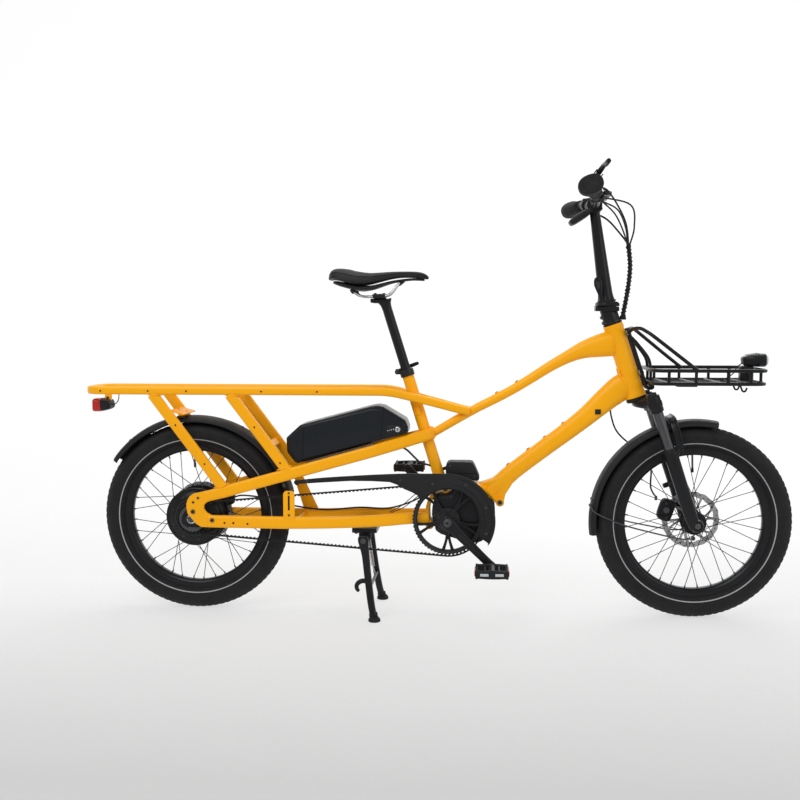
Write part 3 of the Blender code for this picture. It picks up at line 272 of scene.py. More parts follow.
# ---- modelling helpers ----
def spline(points, steps=8):
    """Rows of numbers made smooth through the given rows (Catmull-Rom)."""
    rows = [tuple(point) for point in points]
    if len(rows) < 3 or steps < 2:
        return rows
    before = tuple(2 * a - b for a, b in zip(rows[0], rows[1]))
    after = tuple(2 * a - b for a, b in zip(rows[-1], rows[-2]))
    rows = [before] + rows + [after]
    result = []
    for index in range(1, len(rows) - 2):
        a, b, c, d = rows[index - 1:index + 3]
        for step in range(steps):
            t = step / steps
            result.append(tuple(0.5 * (2 * q + (r - p) * t + (2 * p - 5 * q + 4 * r - s) * t * t
                    + (3 * q - 3 * r + s - p) * t ** 3) for p, q, r, s in zip(a, b, c, d)))
    result.append(rows[-2])
    return result


def steer(front, y, down):
    return HEAD_BOTTOM + STEER_FRONT * front + STEER_DOWN * down + Vector((0, y, 0))


def steered(rows):
    """Rows of (front, y, down, sizes) along the steering axis, as loft rows."""
    return [(*steer(front, y, down), *sizes) for front, y, down, *sizes in rows]


def mirrored(rows):
    """Rows that end on the middle plane, followed by their reflection in it."""
    return rows + [(x, -y, *rest) for x, y, *rest in reversed(rows[:-1])]


def beside(point, y):
    return point + Vector((0, y, 0))


def around(centre, radius, degrees, y=0.0):
    angle = math.radians(degrees)
    return Vector((centre.x + radius * math.cos(angle), y, centre.z + radius * math.sin(angle)))


def frame_of(axis):
    axis = Vector(axis).normalized()
    helper = UP if abs(axis.z) < 0.9 else Vector((1, 0, 0))
    first = (helper - axis * helper.dot(axis)).normalized()
    return axis, first, axis.cross(first)


class Shape:
    """Geometry gathered into one piece. Each method takes the material of what it adds."""

    def __init__(self):
        self.bm = bmesh.new()
        self.materials = []

    def paint(self, faces, material):
        if material not in self.materials:
            self.materials.append(material)
        index = self.materials.index(material)
        for face in faces:
            face.material_index = index

    def rings(self, rings, material, closed=False, caps=True):
        made = [[self.bm.verts.new(point) for point in ring] for ring in rings]
        faces = []
        pairs = list(zip(made, made[1:]))
        if closed:
            pairs.append((made[-1], made[0]))
        count = len(made[0])
        for low, high in pairs:
            for index in range(count):
                after = (index + 1) % count
                faces.append(self.bm.faces.new((low[index], low[after], high[after], high[index])))
        if caps and not closed:
            faces.append(self.bm.faces.new(made[0]))
            faces.append(self.bm.faces.new(made[-1]))
        self.paint(faces, material)
        return self

    def loft(self, rows, material, side=SIDEWAYS, count=24, power=2.0, steps=8, closed=False,
            round_ends=0.0):
        """A bar through rows of (x, y, z, half width along side, half height across it)."""
        rows = [tuple(row) for row in rows]
        if closed:
            rows = rows[-2:] + rows + rows[:3]
            rows = spline(rows, steps)[2 * steps:-3 * steps + 1][:-1] if steps > 1 else rows[2:-3]
        else:
            rows = spline(rows, steps)
        if round_ends:
            rows = self.rounded(rows, round_ends)
        total = len(rows)
        rings = []
        for index, row in enumerate(rows):
            point = Vector(row[:3])
            back = Vector(rows[index - 1][:3]) if index or closed else point
            ahead = Vector(rows[(index + 1) % total][:3]) if index < total - 1 or closed else point
            tangent = (ahead - back).normalized()
            up = tangent.cross(Vector(side)).normalized()
            across = up.cross(tangent)
            ring = []
            for step in range(count):
                angle = 2 * math.pi * (step + 0.5) / count
                x, y = math.cos(angle), math.sin(angle)
                x = math.copysign(abs(x) ** (2 / power), x) * row[3]
                y = math.copysign(abs(y) ** (2 / power), y) * row[4]
                ring.append(point + across * x + up * y)
            rings.append(ring)
        return self.rings(rings, material, closed)

    @staticmethod
    def rounded(rows, reach):
        """Rows with a short quarter-round taper at both ends."""
        result = list(rows)
        for end, near in ((0, 1), (-1, -2)):
            tip, inner = rows[end], rows[near]
            inward = (Vector(inner[:3]) - Vector(tip[:3])).normalized()
            extra = []
            for along, size in ((0.0, 0.55), (0.25, 0.83), (0.6, 0.96)):
                point = Vector(tip[:3]) + inward * reach * along
                extra.append((*point, tip[3] * size, tip[4] * size))
            start = Vector(tip[:3]) + inward * reach
            if end == 0:
                result = extra + [(*start, tip[3], tip[4])] + result[1:]
            else:
                result = result[:-1] + [(*start, tip[3], tip[4])] + extra[::-1]
        return result

    def tube(self, points, radius, material, count=12, steps=6, closed=False):
        rows = [(*point, radius, radius) for point in points]
        return self.loft(rows, material, self.side_of(points), count, 2.0, steps, closed)

    @staticmethod
    def side_of(points):
        """A direction that no stretch of the path runs along."""
        runs = [(Vector(b) - Vector(a)).normalized() for a, b in zip(points, points[1:])]
        choices = [Vector((0, 1, 0)), Vector((0, 0, 1)), Vector((1, 0, 0)), Vector((0.6, 0.64, 0.48))]
        return min(choices, key=lambda choice: max(abs(run.dot(choice)) for run in runs))

    def turned(self, centre, axis, profile, material, steps=32, closed=False):
        axis, first, second = frame_of(axis)
        rings = []
        for radius, along in profile:
            middle = Vector(centre) + axis * along
            rings.append([middle + (first * math.cos(2 * math.pi * step / steps) + second
                    * math.sin(2 * math.pi * step / steps)) * radius for step in range(steps)])
        return self.rings(rings, material, closed)

    def rod(self, start, end, radius, material, steps=24, chamfer=None, end_radius=None):
        start, end = Vector(start), Vector(end)
        length = (end - start).length
        far = end_radius or radius
        cut = min(radius, far, length) * 0.12 if chamfer is None else chamfer
        profile = [(radius - cut, 0), (radius, cut), (far, length - cut), (far - cut, length)]
        return self.turned(start, end - start, profile, material, steps)

    def bolt(self, centre, axis, radius, material=None, height=None):
        """A round head with a hexagonal socket, its inside a dark disc of painted shade."""
        material = material or DARK_STEEL
        height = height or radius * 0.7
        self.turned(centre, axis, [(radius * 0.96, -0.001), (radius, 0.0), (radius, height * 0.7),
                (radius * 0.85, height), (radius * 0.5, height)], material, 20)
        axis = Vector(axis).normalized()
        return self.turned(Vector(centre) + axis * (height - radius * 0.02), axis,
                [(radius * 0.48, 0), (radius * 0.48, radius * 0.03)], PAINTED_SHADE, 6)

    def hole(self, centre, axis, radius, rim=None):
        """A dark disc of painted shade, standing for the shade inside a hole, set in a thin raised rim."""
        axis = Vector(axis).normalized()
        if rim:
            self.turned(centre, axis, [(radius, -0.001), (radius * 1.35, -0.001),
                    (radius * 1.35, 0.0006), (radius, 0.0009)], rim, 20, True)
        return self.turned(centre, axis, [(radius * 1.02, -0.001), (radius * 1.02, 0.00025)],
                PAINTED_SHADE, 18)

    def plate(self, outline, y_low, y_high, material, bevel=0.001, segments=2):
        """An (x, z) outline extruded along Y with rounded edges."""
        bm = bmesh.new()
        face = bm.faces.new([bm.verts.new((x, y_low, z)) for x, z in outline])
        grown = bmesh.ops.extrude_face_region(bm, geom=[face])
        moved = [item for item in grown["geom"] if isinstance(item, bmesh.types.BMVert)]
        bmesh.ops.translate(bm, verts=moved, vec=(0, y_high - y_low, 0))
        return self.take(bm, material, bevel, segments)

    def block(self, low, high, material, bevel=0.001, segments=2, turn=None, about=None):
        (x0, y0, z0), (x1, y1, z1) = low, high
        bm = bmesh.new()
        lower = [bm.verts.new(point) for point in ((x0, y0, z0), (x1, y0, z0), (x1, y1, z0),
                (x0, y1, z0))]
        upper = [bm.verts.new(point) for point in ((x0, y0, z1), (x1, y0, z1), (x1, y1, z1),
                (x0, y1, z1))]
        bm.faces.new(lower)
        bm.faces.new(upper)
        for index in range(4):
            after = (index + 1) % 4
            bm.faces.new((lower[index], lower[after], upper[after], upper[index]))
        if turn:
            bmesh.ops.rotate(bm, verts=bm.verts, cent=about or Vector(low).lerp(Vector(high), 0.5),
                    matrix=turn)
        return self.take(bm, material, bevel, segments)

    def take(self, bm, material, bevel, segments):
        bmesh.ops.recalc_face_normals(bm, faces=bm.faces)
        if bevel:
            sharp = [edge for edge in bm.edges if edge.calc_face_angle(0) > 0.45]
            bmesh.ops.bevel(bm, geom=sharp, offset=bevel, segments=segments, profile=0.5,
                    affect="EDGES", clamp_overlap=True)
        faces = []
        made = {vert: self.bm.verts.new(vert.co) for vert in bm.verts}
        for face in bm.faces:
            faces.append(self.bm.faces.new([made[vert] for vert in face.verts]))
        bm.free()
        self.paint(faces, material)
        return self

    def weld(self, centre, normal, across, half_across, half_along, material=None, bead=0.0022,
            ripples=26):
        """A rippled bead round an elliptical joint between tubes."""
        normal = Vector(normal).normalized()
        first = (Vector(across) - normal * normal.dot(Vector(across))).normalized()
        second = normal.cross(first)
        rings = []
        for step in range(ripples * 4):
            angle = 2 * math.pi * step / (ripples * 4)
            out = first * math.cos(angle) * half_across + second * math.sin(angle) * half_along
            outward = out.normalized()
            size = bead * (1 + 0.22 * math.cos(angle * ripples))
            rings.append([Vector(centre) + out + (outward * math.cos(t) + normal * math.sin(t)) * size
                    for t in [2 * math.pi * corner / 8 for corner in range(8)]])
        return self.rings(rings, material or PAINT, True)

    def piece(self, name, body, slot, *nodes, origin=(0, 0, 0), angle=32, blend=None):
        bmesh.ops.recalc_face_normals(self.bm, faces=self.bm.faces)
        origin = Vector(origin)
        for vert in self.bm.verts:
            vert.co -= origin
        mesh = bpy.data.meshes.new(name)
        self.bm.to_mesh(mesh)
        self.bm.free()
        for material in self.materials:
            mesh.materials.append(material)
        mesh.shade_smooth()
        mesh.set_sharp_from_angle(angle=math.radians(angle))
        made = bpy.data.objects.new(name, mesh)
        made.location = origin - Vector((ORIGIN_X, 0, 0))
        bpy.context.scene.collection.objects.link(made)
        if nodes:
            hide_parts(*nodes)
        if blend:
            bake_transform(made)
        else:
            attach(made, body)
        return made


# ---- wheels ----
def tread_height(turn, y):
    """Depth of the tread's grooves at a turn (in blocks) and a distance from the middle."""
    across = abs(y)
    if across > 0.0215:
        return 0.0
    rounding = 0.0008 if abs(across - 0.0062) > 0.0007 else -0.0009
    sipe = (turn + across * 34.0 + (0.5 if y > 0 else 0.0)) % 1.0
    if 0.0062 < across < 0.02 and sipe < 0.26:
        rounding = -0.0009
    if across < 0.0055 and (turn + 0.25) % 1.0 < 0.1:
        rounding = -0.0004
    return rounding


def make_tyre(name, centre, body, node):
    half = [(0.2082, 0.015), (0.2115, 0.02), (0.2165, 0.0252), (0.2235, 0.0288), (0.2315, 0.0303),
            (0.2395, 0.0304), (0.2465, 0.0294), (0.252, 0.0268), (0.2562, 0.023), (0.2596, 0.0188),
            (0.2626, 0.0142), (0.2648, 0.0096), (0.2662, 0.0048), (0.2666, 0.0)]
    half = spline(half, 3)
    profile = half + [(radius, -y) for radius, y in reversed(half[:-1])]
    shape = Shape()
    count, blocks = 360, 90
    rings = []
    for step in range(count):
        angle = 360 * step / count
        ring = []
        for radius, y in profile:
            lift = tread_height(step * blocks / count, y) if radius > 0.2575 else 0.0
            ring.append(around(centre, radius + lift, angle, y))
        rings.append(ring)
    shape.rings(rings, TYRE, True)
    shape.piece(name, body, "tyre_rubber", node, origin=centre, angle=50)


def make_rim(name, centre, body, node, count):
    profile = [(0.1868, -0.0078), (0.188, -0.0098), (0.1935, -0.0142), (0.1965, -0.0152),
            (0.2062, -0.0155), (0.2084, -0.015), (0.2084, -0.0128), (0.2005, -0.0118), (0.2005, 0.0118),
            (0.2084, 0.0128), (0.2084, 0.015), (0.2062, 0.0155), (0.1965, 0.0152), (0.1935, 0.0142),
            (0.188, 0.0098), (0.1868, 0.0078)]
    shape = Shape()
    shape.turned(centre, SIDEWAYS, profile, SATIN_BLACK, 160, True)
    for index in range(count):
        angle = 360 * (index + 0.5) / count
        y = 0.0045 * (-1 if index % 2 else 1)
        shape.rod(around(centre, 0.188, angle, y), around(centre, 0.1795, angle, y * 1.3), 0.0021,
                DARK_STEEL, 8)
    shape.rod(around(centre, 0.188, 92), around(centre, 0.147, 92), 0.0028, DARK_STEEL, 10)
    shape.rod(around(centre, 0.151, 92), around(centre, 0.138, 92), 0.0036, PLASTIC, 10, 0.0008)
    shape.piece(name, body, "black_alloy", node, origin=centre)


def make_spokes(name, centre, body, node, flange_r, flange_y, count, lean):
    shape = Shape()
    for index in range(count):
        side = -1 if index % 2 else 1
        turn = 1 if (index // 2) % 2 else -1
        angle = 360 * (index + 0.5) / count
        start = around(centre, flange_r, angle + turn * lean, side * (flange_y + 0.0022 * turn))
        end = around(centre, RIM_INNER_R - 0.004, angle, side * 0.0045)
        middle = start.lerp(end, 0.55)
        shape.rod(start, middle, 0.00105, SPOKE, 8, 0.0)
        shape.rod(middle, end, 0.00105, SPOKE, 8, 0.0)
        shape.rod(start - Vector((0, 0.0018, 0)), start + Vector((0, 0.0018, 0)), 0.0021, SPOKE, 8)
    for side in (-1, 1):
        y = side * flange_y
        shape.turned(beside(centre, y), SIDEWAYS, [(flange_r - 0.007, -0.0016),
                (flange_r + 0.0022, -0.0016), (flange_r + 0.0034, -0.0008), (flange_r + 0.0034, 0.0008),
                (flange_r + 0.0022, 0.0016), (flange_r - 0.007, 0.0016)], SATIN_BLACK, 72, True)
    shape.piece(name, body, "spoke_steel", node, origin=centre)


def make_rotor(name, centre, body, node, radius, y):
    shape = Shape()
    thick = 0.0009
    wave = radius * 0.012
    rings = []
    for step in range(180):
        angle = 360 * step / 180
        outer = radius - wave + wave * math.cos(math.radians(angle) * 18)
        inner = radius * 0.8 + wave * math.cos(math.radians(angle) * 18)
        rings.append([around(centre, outer, angle, y - thick), around(centre, outer, angle, y + thick),
                around(centre, inner, angle, y + thick), around(centre, inner, angle, y - thick)])
    shape.rings(rings, DISC, True)
    for index in range(6):
        for twist in (26, 4):
            start = around(centre, radius * 0.3, 60 * index, y)
            bend = around(centre, radius * 0.56, 60 * index + twist * 0.62, y)
            end = around(centre, radius * 0.82, 60 * index + twist, y)
            rows = [(*point, thick * 0.95, size) for point,
                    size in ((start, 0.0042), (bend, 0.003), (end, 0.0036))]
            shape.loft(rows, DISC, SIDEWAYS, 8, 6.0, 5)
    shape.turned(beside(centre, y), SIDEWAYS, [(radius * 0.2, -thick), (radius * 0.34, -thick),
            (radius * 0.34, thick), (radius * 0.2, thick)], DISC, 48, True)
    for index in range(36):
        distance = radius * (0.86 + 0.045 * (index % 3))
        for sign in (-1, 1):
            face = around(centre, distance, 10 * index, y + sign * thick)
            shape.hole(face, (0, sign, 0), 0.0017)
    for index in range(6):
        shape.bolt(around(centre, radius * 0.27, 60 * index + 30, y + thick), SIDEWAYS, 0.003,
                DARK_STEEL, 0.0012)
    shape.piece(name, body, "spoke_steel", node, origin=centre)


def make_rear_hub():
    shape = Shape()
    drum = [(0.0065, -0.044), (0.026, -0.044), (0.03, -0.0432), (0.032, -0.0418), (0.056, -0.0404),
            (0.06, -0.0392), (0.066, -0.0368), (0.0725, -0.0338), (0.0738, -0.032), (0.0738, -0.0265),
            (0.0715, -0.025), (0.071, -0.02), (0.0722, -0.015), (0.0722, 0.015), (0.071, 0.02),
            (0.0715, 0.025), (0.0738, 0.0265), (0.0738, 0.032), (0.0725, 0.0338), (0.064, 0.039),
            (0.06, 0.0404), (0.032, 0.043), (0.03, 0.0445), (0.03, 0.056), (0.0285, 0.057),
            (0.0065, 0.057)]
    shape.turned(REAR, SIDEWAYS, drum, SATIN_BLACK, 96, True)
    for radius in (0.0445, 0.052):
        shape.turned(beside(REAR, -0.0412), SIDEWAYS, [(radius, -0.0004), (radius + 0.0022, -0.0004),
                (radius + 0.0022, 0.002), (radius, 0.002)], ALLOY, 72, True)
    for index in range(9):
        shape.bolt(around(REAR, 0.0635, 40 * index, -0.0378), (0, -1, 0), 0.0027, DARK_STEEL, 0.0016)
        shape.bolt(around(REAR, 0.0635, 40 * index, 0.0395), (0, 1, 0), 0.0027, DARK_STEEL, 0.0012)
    shape.turned(beside(REAR, -0.0475), SIDEWAYS, [(0.0065, -0.001), (0.021, -0.001), (0.023, 0.001),
            (0.023, 0.0036), (0.0065, 0.0036)], DARK_STEEL, 48, True)
    shape.piece("gear_hub", "rear_wheel", "black_alloy", "rear_hub", origin=REAR)


def make_front_hub():
    shape = Shape()
    shell = [(0.0062, -0.048), (0.0092, -0.048), (0.01, -0.047), (0.011, -0.044), (0.019, -0.04),
            (0.0215, -0.037), (0.0238, -0.029), (0.0238, -0.0252), (0.015, -0.0215), (0.0132, -0.015),
            (0.0128, 0.0), (0.0132, 0.015), (0.015, 0.0215), (0.0238, 0.0252), (0.0238, 0.03),
            (0.0165, 0.0345), (0.0165, 0.0392), (0.012, 0.0415), (0.01, 0.047), (0.0092, 0.048),
            (0.0062, 0.048)]
    shape.turned(FRONT, SIDEWAYS, shell, SATIN_BLACK, 64, True)
    shape.piece("front_hub_shell", "front_wheel", "black_alloy", "front_hub", origin=FRONT)


def make_wheels():
    make_tyre("rear_tyre_skin", REAR, "rear_wheel", "rear_tyre")
    make_tyre("front_tyre_skin", FRONT, "front_wheel", "front_tyre")
    make_rim("rear_rim_hoop", REAR, "rear_wheel", "rear_rim", 36)
    make_rim("front_rim_hoop", FRONT, "front_wheel", "front_rim", 32)
    make_spokes("rear_spoke_set", REAR, "rear_wheel", "rear_spokes", 0.079, 0.031, 36, 24)
    make_spokes("front_spoke_set", FRONT, "front_wheel", "front_spokes", 0.0285, 0.027, 32, 68)
    make_rotor("rear_brake_disc", REAR, "rear_wheel", "rear_rotor", 0.0895, 0.0584)
    make_rotor("front_brake_disc", FRONT, "front_wheel", "front_rotor", 0.08, 0.0375)
    make_rear_hub()
    make_front_hub()


# ---- frame ----
def make_front_frame():
    shape = Shape()
    head = (HEAD_TOP - HEAD_BOTTOM).length
    shape.turned(HEAD_TOP, STEER_DOWN, [(0.018, 0.0002), (0.0262, 0.0002), (0.0272, 0.0012),
            (0.0274, 0.011), (0.0262, 0.015), (0.026, 0.03), (0.0262, head - 0.03),
            (0.027, head - 0.015), (0.0282, head - 0.011), (0.0282, head - 0.0012),
            (0.0272, head - 0.0002), (0.018, head - 0.0002)], PAINT, 64, True)
    spine = [(0.66, 0, 0.501, 0.015, 0.011), (0.688, 0, 0.5165, 0.0166, 0.0116),
            (0.745, 0, 0.55, 0.0168, 0.012), (0.8, 0, 0.5815, 0.0165, 0.0125),
            (0.85, 0, 0.607, 0.0165, 0.0128), (0.9, 0, 0.6345, 0.0166, 0.0131),
            (0.95, 0, 0.6655, 0.017, 0.0138), (1.0, 0, 0.6975, 0.0176, 0.0148),
            (1.05, 0, 0.725, 0.0188, 0.018), (1.09, 0, 0.7425, 0.0204, 0.0245),
            (1.13, 0, 0.753, 0.0222, 0.0315), (1.172, 0, 0.761, 0.0238, 0.0365)]
    shape.loft(spine, PAINT, SIDEWAYS, 36, 2.35, 6)
    shape.weld((1.166, 0, 0.76), (1, 0, 0.16), SIDEWAYS, 0.0236, 0.0375, bead=0.003, ripples=30)
    for x, z in ((0.852, 0.6225), (0.907, 0.6535)):
        shape.turned((x, -0.003, z), (-0.5, 0, 0.86), [(0.0062, -0.003), (0.0062, 0.0014),
                (0.0054, 0.002)], PAINT, 24)
        shape.bolt((x - 0.0008, -0.003, z + 0.0014), (-0.5, 0, 0.86), 0.0038, DARK_STEEL, 0.002)
    for down in (0.006, head - 0.006):
        shape.turned(HEAD_TOP, STEER_DOWN, [(0.0255, down - 0.0004), (0.0277, down - 0.0004),
                (0.0277, down + 0.0004), (0.0255, down + 0.0004)], PAINT, 48, True)
    shape.piece("head_tube_and_top_tube", "frame", "frame_paint", "head_and_top_tube", angle=40)

    shape = Shape()
    spine = [(0.824, 0, 0.338, 0.0255, 0.02), (0.846, 0, 0.354, 0.0262, 0.0255),
            (0.87, 0, 0.376, 0.025, 0.025), (0.9, 0, 0.404, 0.0242, 0.0242),
            (0.95, 0, 0.443, 0.0232, 0.024), (1.0, 0, 0.4815, 0.0227, 0.0243),
            (1.05, 0, 0.5195, 0.0227, 0.0252), (1.1, 0, 0.56, 0.0228, 0.0272),
            (1.15, 0, 0.605, 0.0234, 0.0322), (1.19, 0, 0.638, 0.0238, 0.036),
            (1.215, 0, 0.656, 0.0225, 0.03)]
    shape.loft(spine, PAINT, SIDEWAYS, 36, 2.5, 6)
    shape.weld((1.1935, 0, 0.652), STEER_FRONT, SIDEWAYS, 0.0215, 0.04, bead=0.0026, ripples=34)
    for x, z in ((0.885, 0.4225), (0.94, 0.466), (0.985, 0.5), (1.035, 0.539)):
        shape.turned((x, 0, z), (-0.62, 0, 0.78), [(0.0066, -0.003), (0.0066, 0.0012),
                (0.0058, 0.0018)], PAINT, 24)
        shape.bolt((x - 0.0007, 0, z + 0.001), (-0.62, 0, 0.78), 0.0042, DARK_STEEL, 0.0018)
    shape.plate([(0.8, 0.368), (0.838, 0.336), (0.862, 0.316), (0.874, 0.32), (0.878, 0.34),
            (0.898, 0.372), (0.88, 0.402), (0.85, 0.386)], -0.0235, 0.0235, PAINT, 0.005, 4)
    shape.block((1.12, -0.0245, 0.566), (1.136, -0.0215, 0.58), PLASTIC, 0.001)
    shape.rod((1.158, 0.01, 0.59), (1.17, 0.01, 0.581), 0.0055, PLASTIC, 16)
    shape.piece("down_tube_skin", "frame", "frame_paint", "down_tube", angle=40)


def make_seat_tube():
    shape = Shape()
    length = (SEAT_BOTTOM - SEAT_TOP).length
    shape.turned(SEAT_TOP, SEAT_DOWN, [(0.0141, 0.0), (0.0162, 0.0), (0.0165, 0.002),
            (0.0165, length - 0.02), (0.017, length), (0.0141, length)], PAINT, 48, True)
    for down, reach in ((0.07, 0.0158), (0.11, 0.0162)):
        point = SEAT_TOP + SEAT_DOWN * down
        shape.weld(point + Vector((0.0, -0.0165, 0)), (0, 1, 0), (1, 0, 0.5), reach * 0.7, 0.012,
                bead=0.0016)
    for down in (0.17, 0.19):
        point = SEAT_TOP + SEAT_DOWN * down
        shape.bolt(point + Vector((0.0164, 0, 0.004)), (0.95, 0, 0.3), 0.004)
    shape.weld(SEAT_TOP + SEAT_DOWN * (length - 0.004), SEAT_DOWN, SIDEWAYS, 0.017, 0.0175, bead=0.0022)
    shape.piece("seat_tube_skin", "frame", "frame_paint", "seat_tube", angle=40)


def make_motor_cradle():
    shape = Shape()
    arc = [(0.858, 0, 0.318), (0.853, 0, 0.324), (0.835, 0, 0.345), (0.805, 0, 0.364), (0.76, 0, 0.371),
            (0.715, 0, 0.367), (0.682, 0, 0.345), (0.663, 0, 0.305), (0.664, 0, 0.256)]
    shape.loft([(*point, 0.034, 0.0058) for point in arc], PAINT, SIDEWAYS, 32, 7.0, 6,
            round_ends=0.003)
    for x, z in ((0.863, 0.3205), (0.712, 0.356), (0.668, 0.254)):
        for sign in (-1, 1):
            shape.rod((x, 0, z), (x, 0.036 * sign, z), 0.0118, PAINT, 36, 0.0015)
            shape.bolt((x, 0.036 * sign, z), (0, sign, 0), 0.0068, DARK_STEEL, 0.0035)
    shape.rod((0.694, 0, 0.3785), (0.7, 0, 0.362), 0.0176, PAINT, 40)
    shape.piece("motor_cradle_skin", "frame", "frame_paint", "motor_cradle", angle=40)


def make_side(shape):
    """Dropout plate, stays and struts of the drive side, at -Y."""
    y = -SIDE_Y
    stay = [(0.045, y, 0.3325, 0.0094, 0.015), (0.1, y, 0.3475, 0.0095, 0.0163),
            (0.15, y, 0.362, 0.0095, 0.0165), (0.325, y, 0.4112, 0.0095, 0.0165),
            (0.5, y, 0.4605, 0.0095, 0.0165), (0.54, -0.0625, 0.472, 0.0095, 0.0165),
            (0.58, -0.049, 0.483, 0.0095, 0.0165), (0.615, -0.037, 0.493, 0.0095, 0.0165),
            (0.65, -0.026, 0.503, 0.0095, 0.0165), (0.676, -0.015, 0.5105, 0.009, 0.016)]
    shape.loft(stay, PAINT, SIDEWAYS, 32, 3.2, 5)
    chain = [(0.05, y, 0.2625, 0.0095, 0.0175), (0.16, y, 0.2618, 0.0095, 0.0175),
            (0.27, y, 0.2615, 0.0095, 0.0175), (0.37, y, 0.2633, 0.0095, 0.017),
            (0.45, -0.0695, 0.266, 0.0095, 0.0165), (0.505, -0.063, 0.2678, 0.0095, 0.0165),
            (0.55, -0.0535, 0.2695, 0.0095, 0.0165), (0.6, -0.0395, 0.272, 0.0095, 0.016),
            (0.64, -0.0335, 0.2735, 0.0095, 0.0155), (0.664, -0.03, 0.2745, 0.009, 0.015)]
    shape.loft(chain, PAINT, SIDEWAYS, 32, 3.2, 5)
    outline = [(-0.012, 0.303), (-0.0115, 0.314), (-0.007, 0.326), (0.0, 0.335), (0.01, 0.341),
            (0.05, 0.35), (0.11, 0.366), (0.11, 0.338), (0.06, 0.323), (0.045, 0.316), (0.038, 0.308),
            (0.038, 0.298), (0.046, 0.287), (0.06, 0.28), (0.11, 0.277), (0.11, 0.2455), (0.03, 0.2465),
            (0.016, 0.2545), (0.008, 0.264), (-0.009, 0.284)]
    shape.plate(outline, y - 0.0068, y + 0.0028, PAINT, 0.0016, 3)
    for start, end in (((-0.103, y, 0.6185), (0.092, y, 0.358)),
            ((0.1155, y, 0.6185), (0.275, y, 0.406))):
        shape.loft([(*start, 0.0091, 0.015), (*end, 0.0091, 0.015)], PAINT, SIDEWAYS, 32, 3.2, 1)
    for centre, normal, half in (((-0.0945, y, 0.6165), (0, 0, 1), 0.019),
            ((0.1235, y, 0.6165), (0, 0, 1), 0.019)):
        shape.weld(centre, normal, SIDEWAYS, 0.0093, half, bead=0.0017, ripples=22)
    for centre, half in (((0.0875, y, 0.3625), 0.0205), ((0.2655, y, 0.415), 0.0195)):
        shape.weld(centre, (-0.27, 0, 0.96), SIDEWAYS, 0.0093, half, bead=0.0017, ripples=22)
    for x, z, radius in ((0.007, 0.29, 0.0062), (0.062, 0.267, 0.0058)):
        shape.bolt((x, y - 0.0098 if x > 0.05 else y - 0.0068, z), (0, -1, 0), radius, DARK_STEEL,
                0.004)
    for x, z in ((0.022, 0.329), (0.008, 0.3165)):
        shape.bolt((x, y - 0.0068, z), (0, -1, 0), 0.0034)
    for x, z in ((0.097, 0.26), (0.122, 0.26), (0.162, 0.258)):
        shape.hole((x, y - 0.0096, z), (0, -1, 0), 0.003, PAINT)
    for x, z in ((-0.037, 0.533), (0.043, 0.425), (0.185, 0.529), (0.256, 0.43)):
        shape.hole((x, y - 0.0092, z), (0, -1, 0), 0.0026, PAINT)
    shape.weld((0.67, -0.017, 0.509), (1, 0.45, 0.3), SIDEWAYS, 0.01, 0.017, bead=0.0018)


def make_rear_frames():
    shape = Shape()
    make_side(shape)
    shape.plate([(0.263, 0.27), (0.295, 0.27), (0.295, 0.344), (0.289, 0.352), (0.269, 0.352),
            (0.263, 0.344)], -0.0795, -0.0755, PAINT, 0.0012, 3)
    # the plate's slot, drawn as a flat strip of painted shade
    shape.loft([(0.279, -0.0798, 0.298, 0.0026, 0.0004), (0.279, -0.0798, 0.339, 0.0026, 0.0004)],
            PAINTED_SHADE, (1, 0, 0), 16, 3.0, 1)
    for z in (0.284, 0.346):
        shape.bolt((0.279, -0.0795, z), (0, -1, 0), 0.003)
    shape.piece("rear_frame_drive_side", "frame", "frame_paint", "rear_frame_right", angle=38)

    shape = Shape()
    make_side(shape)
    shape.plate([(0.262, 0.392), (0.286, 0.392), (0.345, 0.268), (0.3, 0.268)], -0.073, -0.067, PAINT,
            0.0015, 3)
    shape.hole((0.288, -0.073, 0.33), (0, -1, 0), 0.0055, PAINT)
    for vert in shape.bm.verts:
        vert.co.y = -vert.co.y
    shape.loft([(-0.038, -0.0605, 0.5665, 0.022, 0.0022), (-0.038, 0.0605, 0.5665, 0.022, 0.0022)],
            PAINT, (1, 0, -0.25), 24, 7.0, 1)
    for x in (-0.05, -0.026):
        shape.hole((x, 0.0, 0.569 - (x + 0.038) * 0.25), (0.24, 0, 0.97), 0.003, PAINT)
    shape.rod((0.3, -0.0605, 0.262), (0.3, 0.0605, 0.262), 0.009, PAINT, 32, 0.0)
    shape.loft([(0.223, -0.0605, 0.478, 0.01, 0.0022), (0.223, 0.0605, 0.478, 0.01, 0.0022)], PAINT,
            (0.58, 0, -0.8), 20, 7.0, 1)
    shape.piece("rear_frame_brake_side", "frame", "frame_paint", "rear_frame_left", angle=38)


